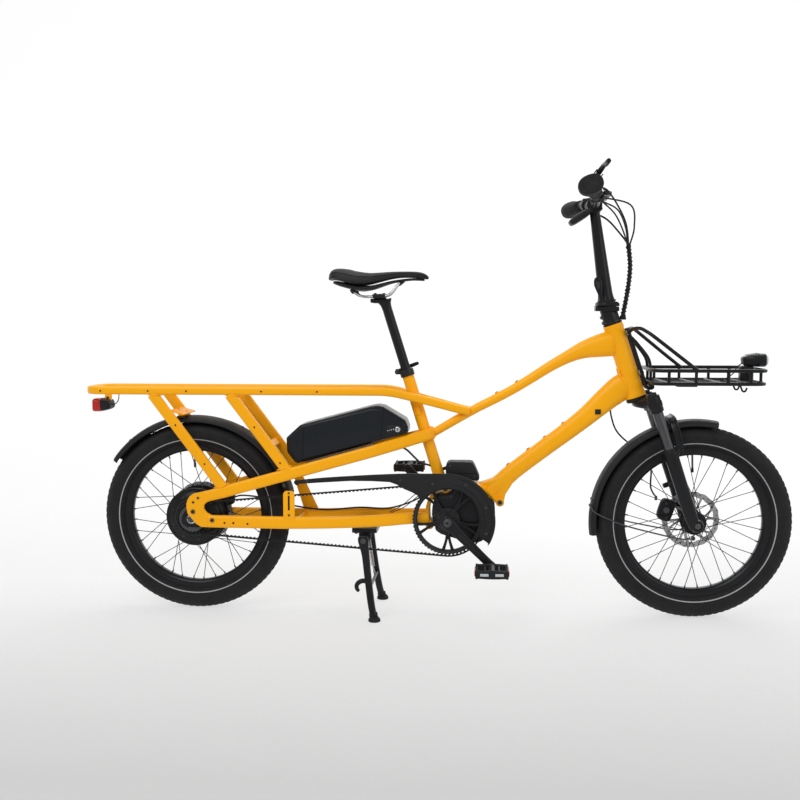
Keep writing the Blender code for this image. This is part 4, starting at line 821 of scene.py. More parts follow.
def make_rack():
    shape = Shape()
    y, z = SIDE_Y, RAIL_Z
    half = [(0.775, -0.0165, 0.572), (0.745, -0.0245, 0.5785), (0.7, -0.0285, 0.5905),
            (0.665, -0.032, 0.5995), (0.63, -0.038, 0.6085), (0.6, -0.048, 0.6165),
            (0.575, -0.059, 0.623), (0.545, -0.068, 0.6275), (0.51, -y, z), (0.3, -y, z), (0.15, -y, z),
            (-0.1, -y, z), (-0.235, -y, z), (-0.262, -0.0672, z), (-0.279, -0.057, z),
            (-0.287, -0.044, z), (-0.2885, -0.02, z), (-0.2885, 0.0, z)]
    rows = mirrored([(*point, 0.0114, 0.01) for point in half])
    shape.loft(rows, PAINT, UP, 32, 3.2, 4)
    for x in (-0.163, -0.04, 0.13, 0.3, 0.46):
        shape.loft([(x, -0.063, z, 0.012, 0.004), (x, 0.063, z, 0.012, 0.004)], PAINT, (1, 0, 0), 24,
                4.0, 1)
        for sign in (-1, 1):
            shape.weld((x, 0.0605 * sign, z), SIDEWAYS, (1, 0, 0), 0.0124, 0.0048, bead=0.0014,
                    ripples=16)
    for sign in (-1, 1):
        for x in (-0.248, -0.163, -0.113, -0.005, 0.205, 0.36, 0.465):
            shape.hole((x, sign * (y + 0.0098), z - 0.0008), (0, sign, 0), 0.0027, PAINT)
        shape.weld((0.755, sign * 0.019, 0.5755), (1, -sign * 0.35, 0), UP, 0.01, 0.0104, bead=0.0012)
        shape.weld((0.615, sign * 0.018, 0.612), SIDEWAYS, (1, 0, 0), 0.012, 0.01, bead=0.0016)
        shape.rod((0.615, sign * 0.015, 0.6125), (0.615, sign * 0.04, 0.6125), 0.0075, PAINT, 24, 0.0)
    shape.piece("rack_rails_skin", "frame", "frame_paint", "rack_rails", angle=38)


# ---- fork ----
def make_fork():
    shape = Shape()
    shape.rod(steer(0, 0, -0.24), steer(0, 0, 0.01), 0.0142, DARK_STEEL, 24)
    shape.turned(steer(0, 0, 0), STEER_DOWN, [(0.027, 0.0008), (0.0288, 0.0014), (0.0294, 0.004),
            (0.029, 0.008), (0.027, 0.0105), (0.015, 0.011)], ALLOY, 48)
    crown = [(0.0362, -0.0735, 0.034, 0.012, 0.0085), (0.0358, -0.066, 0.032, 0.0195, 0.016),
            (0.033, -0.054, 0.027, 0.0205, 0.017), (0.024, -0.04, 0.021, 0.0215, 0.015),
            (0.013, -0.02, 0.0165, 0.0262, 0.012), (0.0105, 0, 0.0155, 0.0272, 0.0115)]
    shape.loft(steered(mirrored(crown)), SATIN_BLACK, STEER_FRONT, 28, 3.0, 5)
    for y in (-LEG_Y, LEG_Y):
        shape.turned(steer(LEG_FRONT, y, 0.0), STEER_DOWN, [(0.008, 0.005), (0.01, 0.004),
                (0.0168, 0.005), (0.0182, 0.007), (0.0186, 0.018), (0.0188, 0.048), (0.0178, 0.051),
                (0.0152, 0.0515), (0.0142, 0.052), (0.0142, 0.235)], SATIN_BLACK, 40)
        shape.turned(steer(LEG_FRONT, y, -0.0035), STEER_DOWN,
                [(0.006, 0), (0.011, 0.0006), (0.0124, 0.003), (0.0124, 0.008)], ALLOY, 24)
        shape.rod(steer(LEG_FRONT, y, 0.053), steer(LEG_FRONT, y, 0.235), 0.01435, DARK_STEEL, 40,
                0.0003)
        for down in (0.03, 0.041):
            shape.bolt(steer(LEG_FRONT - 0.018, y * 0.92, down), -STEER_FRONT, 0.0032)
    shape.piece("fork_crown_and_stanchions", "fork", "black_alloy", "fork_crown")


def make_fork_lowers():
    shape = Shape()
    for y in (-LEG_Y, LEG_Y):
        sign = math.copysign(1, y)
        leg = [(LEG_FRONT, y, 0.164, 0.0178, 0.0178), (LEG_FRONT, y, 0.17, 0.0192, 0.0192),
                (LEG_FRONT, y, 0.195, 0.0186, 0.0186), (LEG_FRONT, y, 0.25, 0.0178, 0.0182),
                (LEG_FRONT, y, 0.31, 0.0172, 0.018), (LEG_FRONT, y + 0.001 * sign, 0.345, 0.015,
                0.0175), (LEG_FRONT + 0.001, y + 0.002 * sign, 0.37, 0.013, 0.016),
                (LEG_FRONT + 0.002, y + 0.003 * sign, 0.388, 0.0105, 0.0125)]
        shape.loft(steered(leg), SATIN_BLACK, SIDEWAYS, 32, 2.2, 6, round_ends=0.004)
        shape.turned(steer(LEG_FRONT, y, 0.156), STEER_DOWN,
                [(0.0147, 0.0), (0.0166, 0.0004), (0.018, 0.0022), (0.0184, 0.005), (0.019, 0.006),
                (0.019, 0.0088), (0.0147, 0.0096)], RUBBER, 36, True)
        shape.turned(beside(FRONT, 0.0508 * sign), (0, sign, 0),
                [(0.01, 0.0), (0.0158, 0.0), (0.017, 0.0014), (0.017, 0.0185), (0.0155, 0.0225),
                (0.0105, 0.0232), (0.01, 0.0212), (0.004, 0.0212)], SATIN_BLACK, 36)
        shape.turned(beside(FRONT, 0.0722 * sign), (0, sign, 0),
                [(0.0085, 0), (0.0085, 0.0022), (0.007, 0.003)], DARK_STEEL, 6)
        shape.loft([(*steer(0.04, y * 1.03, 0.176), 0.0125, 0.0078),
                (*steer(0.052, y * 1.04, 0.1725), 0.011, 0.0066),
                (*steer(0.062, y * 1.04, 0.165), 0.01, 0.0052)], SATIN_BLACK, SIDEWAYS, 20, 3.0, 4)
        shape.bolt(steer(LEG_FRONT + 0.0178, y, 0.178), STEER_FRONT, 0.0032)
        shape.turned(steer(LEG_FRONT, y + 0.003 * sign, 0.3895), STEER_DOWN,
                [(0.0075, -0.003), (0.0075, 0.003), (0.006, 0.0042)], DARK_STEEL, 18)
    arch = [(0.0585, -0.0655, 0.176, 0.0112, 0.0046), (0.065, -0.0635, 0.15, 0.0108, 0.0044),
            (0.068, -0.059, 0.118, 0.0108, 0.0044), (0.069, -0.049, 0.095, 0.0112, 0.0046),
            (0.069, -0.033, 0.084, 0.0118, 0.0048), (0.069, 0.0, 0.081, 0.012, 0.0048)]
    arch = mirrored(arch)
    shape.loft(steered(arch), SATIN_BLACK, STEER_FRONT, 24, 4.0, 6)
    rib = [(front + 0.007, y, down, 0.0022, 0.007) for front, y, down, a, b in arch[1:-1]]
    shape.loft(steered(rib), SATIN_BLACK, STEER_FRONT, 12, 4.0, 5)
    for down in (0.268, 0.33):
        shape.loft([(*steer(LEG_FRONT - 0.005, 0.054, down), 0.008, 0.008),
                (*steer(LEG_FRONT - 0.034, 0.047, down), 0.0066, 0.0066)], SATIN_BLACK, SIDEWAYS, 18,
                3.0, 4, round_ends=0.002)
    shape.piece("fork_lower_legs_and_arch", "fork_lowers", "black_alloy", "fork_lowers")


def make_front_axle():
    shape = Shape()
    shape.turned(beside(FRONT, -0.0478), SIDEWAYS, [(0.004, 0.0), (0.0053, 0.0008), (0.0055, 0.0025),
            (0.0055, 0.02), (0.005, 0.0206), (0.005, 0.075), (0.0055, 0.0756), (0.0055, 0.0931),
            (0.0053, 0.0948), (0.004, 0.0956)], STEEL, 24)
    shape.piece("front_axle_pin", "fork_lowers", "spoke_steel", "front_axle", origin=FRONT)


def make_caliper(name, body, node, low, high, tilt, cut_y, pipe):
    """Two machined halves either side of the disc, with bolts, pads and a hose joint."""
    shape = Shape()
    (x0, y0, z0), (x1, y1, z1) = low, high
    middle = (Vector(low) + Vector(high)) * 0.5
    across = (x1 - x0) * 0.5
    tall = (z1 - z0) * 0.5
    for inner, outer in ((cut_y - 0.0032, y0), (cut_y + 0.0032, y1)):
        outline = []
        for step in range(28):
            angle = 2 * math.pi * step / 28
            x = math.copysign(abs(math.cos(angle)) ** 0.55, math.cos(angle)) * across * 0.98
            z = math.copysign(abs(math.sin(angle)) ** 0.55, math.sin(angle)) * tall * 0.98
            outline.append((middle.x + x * math.cos(tilt) - z * math.sin(tilt),
                    middle.z + x * math.sin(tilt) + z * math.cos(tilt)))
        shape.plate(outline, min(inner, outer), max(inner, outer), ALLOY, 0.0028, 3)
    for along in (-0.62, 0.62):
        point = middle + Vector((0, 0, along * tall))
        shape.rod((point.x, y0 - 0.001, point.z), (point.x, y1 + 0.0012, point.z), 0.0055, ALLOY, 24)
        shape.bolt((point.x, y1 + 0.001, point.z), (0, 1, 0), 0.0036)
        shape.bolt((point.x, y0 - 0.001, point.z), (0, -1, 0), 0.0036)
    for y, sign in ((y0 - 0.0004, -1), (y1 - 0.0006, 1)):
        shape.turned((middle.x, y, middle.z), (0, sign, 0),
                [(0.0095, -0.002), (0.0095, 0.0), (0.0086, 0.0012)], DARK_STEEL, 30)
    for side in (-1, 1):
        shape.block((middle.x - across * 0.62, cut_y + side * 0.0022 - 0.0008, middle.z - tall * 0.45),
                (middle.x + across * 0.62, cut_y + side * 0.0022 + 0.0008, middle.z + tall * 0.72),
                DARK_STEEL, 0.0004)
    shape.rod(Vector(pipe) + Vector((0, 0, -0.006)), Vector(pipe) + Vector((0, 0, 0.006)), 0.004,
            DARK_STEEL, 12)
    shape.piece(name, body, "black_alloy", node)


def make_calipers():
    make_caliper("front_caliper_body", "fork_lowers", "front_caliper", (1.3065, 0.0275, 0.2625),
            (1.349, 0.0515, 0.3255), -0.3, 0.0375, (1.3, 0.04, 0.3265))
    make_caliper("rear_caliper_body", "frame", "rear_caliper", (0.049, 0.0485, 0.2875),
            (0.095, 0.0655, 0.3165), 0.1, 0.0584, (0.095, 0.051, 0.313))


def make_rear_axle():
    shape = Shape()
    shape.rod(beside(REAR, -0.07), beside(REAR, 0.07), 0.0055, STEEL, 20, 0.0006)
    outline = [(-0.03, 0.262), (-0.028, 0.274), (-0.02, 0.288), (-0.008, 0.296), (0.006, 0.3),
            (0.026, 0.299), (0.04, 0.296), (0.045, 0.288), (0.046, 0.276), (0.046, 0.252),
            (0.02, 0.244), (0.0, 0.2435), (-0.018, 0.246), (-0.027, 0.252)]
    for low in (-0.0664, 0.0622):
        shape.plate(outline, low, low + 0.0042, ALLOY, 0.0008, 2)
    for sign in (-1, 1):
        y = 0.0664 * sign
        shape.turned(beside(REAR, y), (0, sign, 0), [(0.0135, -0.0004), (0.0135, 0.0012),
                (0.0125, 0.0016), (0.006, 0.0016)], STEEL, 32)
        shape.turned(beside(REAR, y + 0.0012 * sign), (0, sign, 0),
                [(0.0105, 0.0), (0.0105, 0.0068), (0.0088, 0.0082), (0.0055, 0.0082)], DARK_STEEL, 6)
        shape.bolt((-0.014, y + 0.0002 * sign, 0.27), (0, sign, 0), 0.0034)
        shape.bolt((0.034, y + 0.0002 * sign, 0.286), (0, sign, 0), 0.0034)
    shape.piece("rear_axle_and_sliders", "frame", "black_alloy", "rear_axle_carrier", angle=30)


# ---- mudguards ----
def guard_profile(radius, half):
    """A shallow channel with rolled edges and a slightly raised middle."""
    outer = [(radius - 0.0118, half - 0.0008), (radius - 0.0108, half + 0.0003), (radius - 0.006, half),
            (radius - 0.0022, half * 0.97), (radius + 0.001, half * 0.88),
            (radius + 0.004, half * 0.66), (radius + 0.0056, half * 0.36),
            (radius + 0.0064, half * 0.14), (radius + 0.0066, 0.0)]
    inner = [(radius + 0.0044, 0.0), (radius + 0.0042, half * 0.14), (radius + 0.0034, half * 0.36),
            (radius + 0.002, half * 0.64), (radius - 0.0008, half * 0.85),
            (radius - 0.004, half * 0.93), (radius - 0.01, half * 0.955)]
    right = [(r, -y) for r, y in reversed(outer[:-1])]
    left = [(r, -y) for r, y in reversed(inner[1:])]
    return outer + right + left + inner


def add_guard(shape, centre, start, end, radius, half, steps=72, material=None):
    profile = guard_profile(radius, half)
    rings = []
    for step in range(steps + 1):
        along = step / steps
        reach = min(along, 1 - along) * (end - start)
        pinch = 1.0 if reach > 3.0 else 0.82 + 0.18 * math.sqrt(max(0.0, 1 - (1 - reach / 3.0) ** 2))
        rings.append([around(centre, r, start + (end - start) * along, y * pinch) for r, y in profile])
    shape.rings(rings, material or PLASTIC)


def make_mudguards():
    shape = Shape()
    add_guard(shape, REAR, 14, 146, 0.2815, 0.0358)
    for degrees in (38, 62, 100, 132):
        shape.bolt(around(REAR, 0.288, degrees), around(Vector((0, 0, 0)), 1, degrees), 0.0042,
                DARK_STEEL, 0.0018)
    shape.loft([(*around(REAR, 0.285, 96, y), 0.0065, 0.0012) for y in (-0.034, 0.034)], DARK_STEEL,
            (1, 0, 0), 16, 6.0, 1)
    for sign in (-1, 1):
        shape.loft([(*around(REAR, 0.278, 20, sign * 0.0352), 0.0012, 0.008),
                (*around(REAR, 0.27, 20, sign * 0.0365), 0.0012, 0.005)], DARK_STEEL, SIDEWAYS, 12, 4.0,
                2)
    shape.piece("rear_mudguard_shell", "frame", "black_plastic", "rear_mudguard")

    shape = Shape()
    add_guard(shape, FRONT, 78, 170, 0.28, 0.0348)
    add_guard(shape, FRONT, 166.5, 188, 0.2794, 0.034, 20, RUBBER)
    for degrees in (168, 172):
        for y in (-0.018, 0.018):
            shape.bolt(around(FRONT, 0.2855, degrees, y), around(Vector((0, 0, 0)), 1, degrees), 0.003,
                    DARK_STEEL, 0.0014)
    for sign in (-1, 1):
        stay = [around(FRONT, 0.283, 172, 0.025 * sign), around(FRONT, 0.2835, 172, 0.033 * sign),
                (1.13, 0.0385 * sign, 0.293), (1.2, 0.0445 * sign, 0.264), (1.28, 0.056 * sign, 0.245),
                (1.35, 0.068 * sign, 0.232), (1.384, 0.0715 * sign, 0.233)]
        shape.tube(stay, 0.0021, DARK_STEEL, 10, 5)
        shape.turned((1.385, 0.069 * sign, 0.234), (0, sign, 0),
                [(0.0024, 0), (0.0058, 0), (0.0058, 0.003), (0.0024, 0.003)], DARK_STEEL, 20, True)
        shape.bolt((1.385, 0.072 * sign, 0.234), (0, sign, 0), 0.0036)
    shape.loft([(1.318, -0.01, 0.535, 0.01, 0.0012), (1.323, -0.01, 0.544, 0.01, 0.0012)], DARK_STEEL,
            SIDEWAYS, 12, 4.0, 2)
    shape.bolt(around(FRONT, 0.2868, 104), around(Vector((0, 0, 0)), 1, 104), 0.0045, DARK_STEEL, 0.002)
    shape.piece("front_mudguard_shell", "fork_lowers", "black_plastic", "front_mudguard")


# ---- stem and handlebar ----
def stem_radius(along):
    return 0.0206 + (0.013 - 0.0206) * along ** 0.85


def make_stem():
    shape = Shape()
    top = steer(0, 0, -(HEAD_TOP - HEAD_BOTTOM).length)
    shape.turned(top, -STEER_DOWN, [(0.0143, 0.0006), (0.0262, 0.0006), (0.0268, 0.0016),
            (0.0262, 0.0042), (0.024, 0.0052), (0.023, 0.006), (0.0231, 0.042), (0.0224, 0.0448),
            (0.018, 0.0455), (0.0143, 0.0455)], SATIN_BLACK, 44, True)
    shape.turned(top, -STEER_DOWN, [(0.0232, 0.0055), (0.024, 0.006), (0.024, 0.0082),
            (0.0232, 0.0087)], ALLOY, 44, True)
    for down in (0.012, 0.028):
        place = steer(-0.0245, 0, -(HEAD_TOP - HEAD_BOTTOM).length - down)
        shape.loft([(*(place + Vector((0.003, -0.012, 0))), 0.005, 0.0055),
                (*(place + Vector((0.003, 0.012, 0))), 0.005, 0.0055)], SATIN_BLACK, STEER_DOWN, 18,
                4.0, 1)
        shape.bolt(place + Vector((0.003, -0.012, 0)), (0, -1, 0), 0.0042)
    outline = [(1.1165, 0.847), (1.1795, 0.847), (1.18, 0.852), (1.179, 0.8594), (1.117, 0.8594),
            (1.116, 0.853)]
    shape.plate(outline, -0.0268, 0.0193, SATIN_BLACK, 0.0016, 3)
    for x in (1.119, 1.16):
        shape.block((x, 0.015, 0.8472), (x + 0.016, 0.032, 0.861), SATIN_BLACK, 0.0028, 3)
        shape.rod((x + 0.0005, HINGE_Y, 0.86), (x + 0.0155, HINGE_Y, 0.86), 0.0064, SATIN_BLACK, 28,
                0.0008)
    shape.rod((1.1175, HINGE_Y, 0.86), (1.1775, HINGE_Y, 0.86), 0.003, STEEL, 16, 0.0008)
    shape.piece("stem_clamp_and_hinge", "fork", "black_alloy", "stem_base")

    shape = Shape()
    outline = [(1.118, 0.8604), (1.18, 0.8604), (1.18, 0.868), (1.174, 0.873), (1.125, 0.873),
            (1.1185, 0.87)]
    shape.plate(outline, -0.0268, 0.0148, SATIN_BLACK, 0.0016, 3)
    shape.rod((1.1362, HINGE_Y, 0.86), (1.1588, HINGE_Y, 0.86), 0.007, SATIN_BLACK, 28, 0.0008)
    shape.block((1.1364, 0.011, 0.862), (1.1586, 0.0265, 0.8728), SATIN_BLACK, 0.0022, 3)
    rows = []
    for step in range(13):
        along = step / 12
        point = STEM_FOOT.lerp(STEM_HEAD, along)
        flare = max(0.0, 1 - along / 0.13)
        size = stem_radius(along) + 0.005 * flare ** 2
        rows.append((*point, size, size * 1.02))
    shape.loft(rows, SATIN_BLACK, SIDEWAYS, 48, 2.1, 3)
    shape.weld(STEM_FOOT + Vector((0, 0, 0.0085)), STEM_HEAD - STEM_FOOT, SIDEWAYS, 0.0236, 0.024,
            SATIN_BLACK, 0.0018, 30)
    shape.weld(STEM_HEAD - (STEM_HEAD - STEM_FOOT).normalized() * 0.019, STEM_HEAD - STEM_FOOT,
            SIDEWAYS, 0.014, 0.0142, SATIN_BLACK, 0.0014, 22)
    forward = Vector((0.986, 0, 0.146))
    for sign in (-1, 1):
        shape.turned(beside(STEM_HEAD, sign * 0.0052), (0, sign, 0),
                [(0.0131, 0.0), (0.0196, 0.0), (0.0206, 0.001), (0.0206, 0.0178), (0.0194, 0.0188),
                (0.0131, 0.0188)], SATIN_BLACK, 44, True)
        for lift in (-0.013, 0.013):
            lug = STEM_HEAD + forward * 0.013 + Vector((0, sign * 0.015, lift))
            shape.rod(lug - forward * 0.009, lug + forward * 0.007, 0.0052, SATIN_BLACK, 20)
            shape.bolt(lug + forward * 0.007, forward, 0.0034)
    shape.loft([(*(STEM_HEAD + forward * 0.0195 + Vector((0, 0, lift))), 0.0205,
            0.0022) for lift in (-0.012, 0, 0.012)], SATIN_BLACK, SIDEWAYS, 20, 5.0, 2)
    shape.piece("folding_stem_post", "stem", "black_alloy", "stem_post")

    shape = Shape()
    shape.loft([(1.1335, -0.0302, 0.864, 0.0032, 0.006), (1.131, -0.0312, 0.876, 0.003, 0.005),
            (1.1275, -0.0318, 0.89, 0.003, 0.0056), (1.124, -0.031, 0.905, 0.0032, 0.0086),
            (1.1215, -0.0298, 0.918, 0.0032, 0.0112), (1.1195, -0.0288, 0.93, 0.003, 0.0098),
            (1.1185, -0.0284, 0.938, 0.0026, 0.0058)], SATIN_BLACK, SIDEWAYS, 24, 3.0, 6,
            round_ends=0.0015)
    shape.rod((1.1245, -0.0315, 0.8665), (1.142, -0.0315, 0.8665), 0.0042, ALLOY, 24, 0.0005)
    shape.rod((1.1195, -0.0315, 0.8665), (1.1245, -0.0315, 0.8665), 0.0058, DARK_STEEL, 6, 0.0005)
    shape.loft([(1.1222, -0.0338, 0.907, 0.0008, 0.004), (1.1195, -0.0322, 0.926, 0.0008, 0.004)],
            ALLOY, SIDEWAYS, 14, 4.0, 3)
    shape.piece("stem_latch_lever", "stem_latch", "black_alloy", "stem_latch")


def bar_points():
    left = [(1.1085, 0.03, 1.132), (1.107, 0.075, 1.136), (1.1, 0.13, 1.146), (1.093, 0.175, 1.15),
            (1.086, 0.24, 1.15), (1.08, 0.312, 1.149)]
    return [(x, -y, z) for x, y, z in reversed(left)] + [(1.1085, 0, 1.132)] + left


def make_handlebar():
    shape = Shape()
    sizes = [0.011] * 4 + [0.0113] + [0.0127] * 3 + [0.0113] + [0.011] * 4
    rows = [(*point, size, size) for point, size in zip(bar_points(), sizes)]
    shape.loft(rows, SATIN_BLACK, (1, 0, 0), 28, 2.0, 6)
    for x in (-0.027, 0.027):
        shape.turned((1.1084, x, 1.1322), SIDEWAYS, [(0.0126, -0.0006), (0.0131, -0.0003),
                (0.0131, 0.0003), (0.0126, 0.0006)], ALLOY, 32, True)
    shape.piece("handlebar_tube", "stem", "black_alloy", "handlebar")
    make_console()


def make_console():
    """A small blank control screen behind the bar clamp."""
    shape = Shape()
    shape.loft([(1.096, 0, 1.1155, 0.014, 0.006), (1.09, 0, 1.112, 0.027, 0.009),
            (1.072, 0, 1.101, 0.031, 0.0105), (1.054, 0, 1.089, 0.03, 0.0095),
            (1.044, 0, 1.0825, 0.026, 0.0065)], PLASTIC, SIDEWAYS, 36, 4.0, 5, round_ends=0.002)
    shape.loft([(1.088, 0, 1.1195, 0.0225, 0.0012), (1.045, 0, 1.092, 0.0225, 0.0012)], BATTERY,
            SIDEWAYS, 24, 6.0, 1)
    for sign in (-1, 1):
        shape.loft([(1.104, sign * 0.0285, 1.124, 0.004, 0.006),
                (1.094, sign * 0.027, 1.114, 0.004, 0.0055),
                (1.084, sign * 0.024, 1.107, 0.004, 0.005)], PLASTIC, SIDEWAYS, 14, 3.0, 3)
        shape.turned((1.1075, sign * 0.0275, 1.133), (0, sign, 0),
                [(0.0128, 0), (0.0158, 0), (0.0158, 0.008), (0.0128, 0.008)], PLASTIC, 28, True)
    shape.piece("control_screen", "stem", "black_plastic")


def add_grip(shape):
    """A palm grip: round core, flattened wing to the rear, end clamp with a bolt."""
    rows = [(1.089, 0.2, 1.1498, 0.0168, 0.016), (1.0862, 0.21, 1.1492, 0.0192, 0.017),
            (1.0815, 0.23, 1.1482, 0.0235, 0.0178), (1.0775, 0.25, 1.1482, 0.027, 0.0188),
            (1.074, 0.27, 1.149, 0.03, 0.0205), (1.0722, 0.288, 1.15, 0.0312, 0.0225),
            (1.0718, 0.302, 1.1506, 0.0314, 0.0238), (1.0718, 0.313, 1.1508, 0.0306, 0.0234),
            (1.0718, 0.3165, 1.1508, 0.0286, 0.0214)]
    shape.loft(rows, GRIP, (1, 0, 0.35), 40, 2.3, 5)
    shape.turned((1.0722, 0.316, 1.1508), SIDEWAYS, [(0.02, 0.0), (0.0192, 0.0016), (0.014, 0.0022)],
            GRIP, 36)
    shape.turned((1.0905, 0.196, 1.15), (-0.03, 1, 0), [(0.0113, 0.0), (0.016, 0.0), (0.0168, 0.001),
            (0.0168, 0.0085), (0.016, 0.0095), (0.0113, 0.0095)], ALLOY, 36, True)
    shape.bolt((1.0905, 0.2005, 1.1336), (0, 0, -1), 0.003)
    shape.turned((1.08, 0.317, 1.15), SIDEWAYS, [(0.0092, 0.0), (0.0088, 0.0016), (0.007, 0.002)],
            PLASTIC, 30)
    for index in range(7):
        y = 0.218 + index * 0.0115
        shape.loft([(1.096 - index * 0.0006, y, 1.1625, 0.008, 0.001),
                (1.101 - index * 0.0008, y + 0.0005, 1.156, 0.006, 0.001)], GRIP, SIDEWAYS, 10, 3.0, 2)


def make_grips():
    for sign, side in ((-1, "right"), (1, "left")):
        shape = Shape()
        add_grip(shape)
        for vert in shape.bm.verts:
            vert.co.y *= sign
        shape.piece(f"palm_grip_{side}", "stem", "grip_rubber", f"grip_{side}")


def swung_up(point):
    """Where a point of the right brake lever lies: that lever stands up more than the left one."""
    from_bar = Vector(point) - LEVER_CLAMP_CENTRE
    turn, lift = math.cos(RIGHT_LEVER_TURN), math.sin(RIGHT_LEVER_TURN)
    return LEVER_CLAMP_CENTRE + Vector((from_bar.x * turn - from_bar.z * lift, from_bar.y,
            from_bar.x * lift + from_bar.z * turn - RIGHT_LEVER_DROP))


def add_lever_clamp(shape):
    shape.turned((1.1013, 0.119, 1.1443), (-0.13, 1, 0.14),
            [(0.0116, 0.0), (0.0152, 0.0), (0.0162, 0.001), (0.0162, 0.0172), (0.0152, 0.0182),
            (0.0116, 0.0182)], ALLOY, 36, True)
    for lift in (-0.015, 0.015):
        shape.rod((1.09, 0.1225, 1.1445 + lift), (1.114, 0.1225, 1.147 + lift), 0.0042, ALLOY, 18)
        shape.bolt((1.0895, 0.1225, 1.1445 + lift), (-1, 0, 0), 0.003)


def add_master_cylinder(shape):
    shape.loft([(1.107, 0.1275, 1.155, 0.01, 0.0085), (1.12, 0.1285, 1.164, 0.0105, 0.009),
            (1.134, 0.13, 1.172, 0.0105, 0.0088), (1.146, 0.132, 1.1775, 0.01, 0.008)], ALLOY, SIDEWAYS,
            24, 3.2, 5)
    shape.loft([(1.125, 0.083, 1.166, 0.006, 0.006), (1.127, 0.092, 1.168, 0.009, 0.0092),
            (1.13, 0.108, 1.171, 0.0105, 0.0106), (1.134, 0.13, 1.1745, 0.0108, 0.0106),
            (1.1375, 0.148, 1.1768, 0.0098, 0.009), (1.14, 0.157, 1.178, 0.007, 0.0062)], ALLOY,
            (1, 0, 0), 28, 2.8, 5, round_ends=0.0015)
    shape.loft([(1.1305, 0.102, 1.1815, 0.0085, 0.0014), (1.135, 0.142, 1.1862, 0.0085, 0.0014)],
            SATIN_BLACK, (1, 0, 0), 24, 5.0, 2)
    for y, z in ((0.106, 1.1832), (0.138, 1.1868)):
        shape.bolt((1.1328 + (y - 0.12) * 0.1, y, z), (-0.1, -0.05, 1), 0.002, DARK_STEEL, 0.001)
    for z in (1.17, 1.1895):
        shape.rod((1.1525, 0.134, z - 0.002), (1.1525, 0.134, z + 0.001), 0.0068, ALLOY, 24, 0.0005)
    shape.rod((1.1252, 0.083, 1.166), (1.133, 0.07, 1.162), 0.0042, PLASTIC, 16)


def add_blade(shape):
    """The finger blade, running outward from its pivot to a rounded, drilled tip."""
    rows = [(1.148, 0.131, 1.18, 0.0052, 0.0046), (1.156, 0.136, 1.1804, 0.007, 0.0052),
            (1.166, 0.15, 1.181, 0.0068, 0.0046), (1.171, 0.17, 1.1813, 0.0064, 0.0042),
            (1.169, 0.2, 1.1805, 0.0064, 0.0042), (1.1655, 0.23, 1.1795, 0.0066, 0.0042),
            (1.165, 0.255, 1.179, 0.0066, 0.0044), (1.168, 0.272, 1.179, 0.0062, 0.0052),
            (1.1705, 0.279, 1.179, 0.0046, 0.0046)]
    shape.loft(rows, ALLOY, (0.25, 0, 1), 24, 3.0, 6, round_ends=0.0018)
    shape.rod((1.1525, 0.134, 1.1735), (1.1525, 0.134, 1.1862), 0.0036, DARK_STEEL, 20)
    # drilled holes in the blade, drawn as thin discs of painted shade
    for y in (0.165, 0.178, 0.191):
        shape.turned((1.1705 - (y - 0.165) * 0.05, y, 1.1771), (0, 0, -1),
                [(0.0024, -0.0005), (0.0024, 0.0002)], PAINTED_SHADE, 14)


def swing(shape, sign):
    for vert in shape.bm.verts:
        vert.co.y *= sign
        if sign < 0:
            vert.co = swung_up(vert.co)


def make_brakes():
    for sign, side in ((-1, "right"), (1, "left")):
        shape = Shape()
        add_master_cylinder(shape)
        swing(shape, sign)
        before = set(shape.bm.verts)
        add_lever_clamp(shape)
        for vert in shape.bm.verts:
            if vert not in before:
                vert.co.y *= sign
        shape.piece(f"brake_master_{side}", "stem", "black_alloy", f"brake_perch_{side}")
        shape = Shape()
        add_blade(shape)
        swing(shape, sign)
        shape.piece(f"brake_blade_{side}", f"brake_lever_{side}", "black_alloy", f"brake_lever_{side}")


def make_shifter():
    inner, outer = Vector((1.0955, -0.16, 1.149)), Vector((1.0908, -0.1935, 1.15))
    axis = outer - inner
    shape = Shape()
    rings = []
    for along, size in ((0.0, 0.0172), (0.0015, 0.0182), (0.0045, 0.0185), (0.0065, 0.0178),
            (0.0085, 0.018), (0.031, 0.0184), (0.033, 0.0176), (0.0338, 0.0166)):
        ribbed = 0.0008 if 0.008 < along < 0.032 else 0.0
        unit, first, second = frame_of(axis)
        middle = inner + unit * along
        rings.append([middle + (first * math.cos(t) + second * math.sin(t))
                * (size + ribbed * math.cos(t * 22)) for t in [2 * math.pi * step / 132
                for step in range(132)]])
    inside = [[inner + frame_of(axis)[0] * along + (point - (inner + frame_of(axis)[0]
            * start)).normalized() * 0.0146 for point in rings[index]] for along, start,
            index in ((0.0338, 0.0338, -1), (0.0, 0.0, 0))]
    shape.rings(rings + inside, GRIP, True)
    shape.piece("twist_sleeve", "twist_shifter", "grip_rubber", "twist_shifter", origin=inner, angle=50)
    shape = Shape()
    shape.turned(inner - axis.normalized() * 0.015, axis, [(0.0114, 0.0), (0.016, 0.0),
            (0.0176, 0.0014), (0.0182, 0.004), (0.0182, 0.013), (0.0172, 0.0146), (0.0114, 0.0146)],
            PLASTIC, 44, True)
    shape.loft([(1.113, -0.15, 1.138, 0.0065, 0.005), (1.116, -0.14, 1.133, 0.006, 0.0048),
            (1.118, -0.13, 1.128, 0.004, 0.004)], PLASTIC, (1, 0, 0.4), 18, 3.0, 4)
    shape.bolt((1.096, -0.153, 1.1308), (0, 0, -1), 0.0028)
    shape.piece("shifter_body", "stem", "black_plastic")


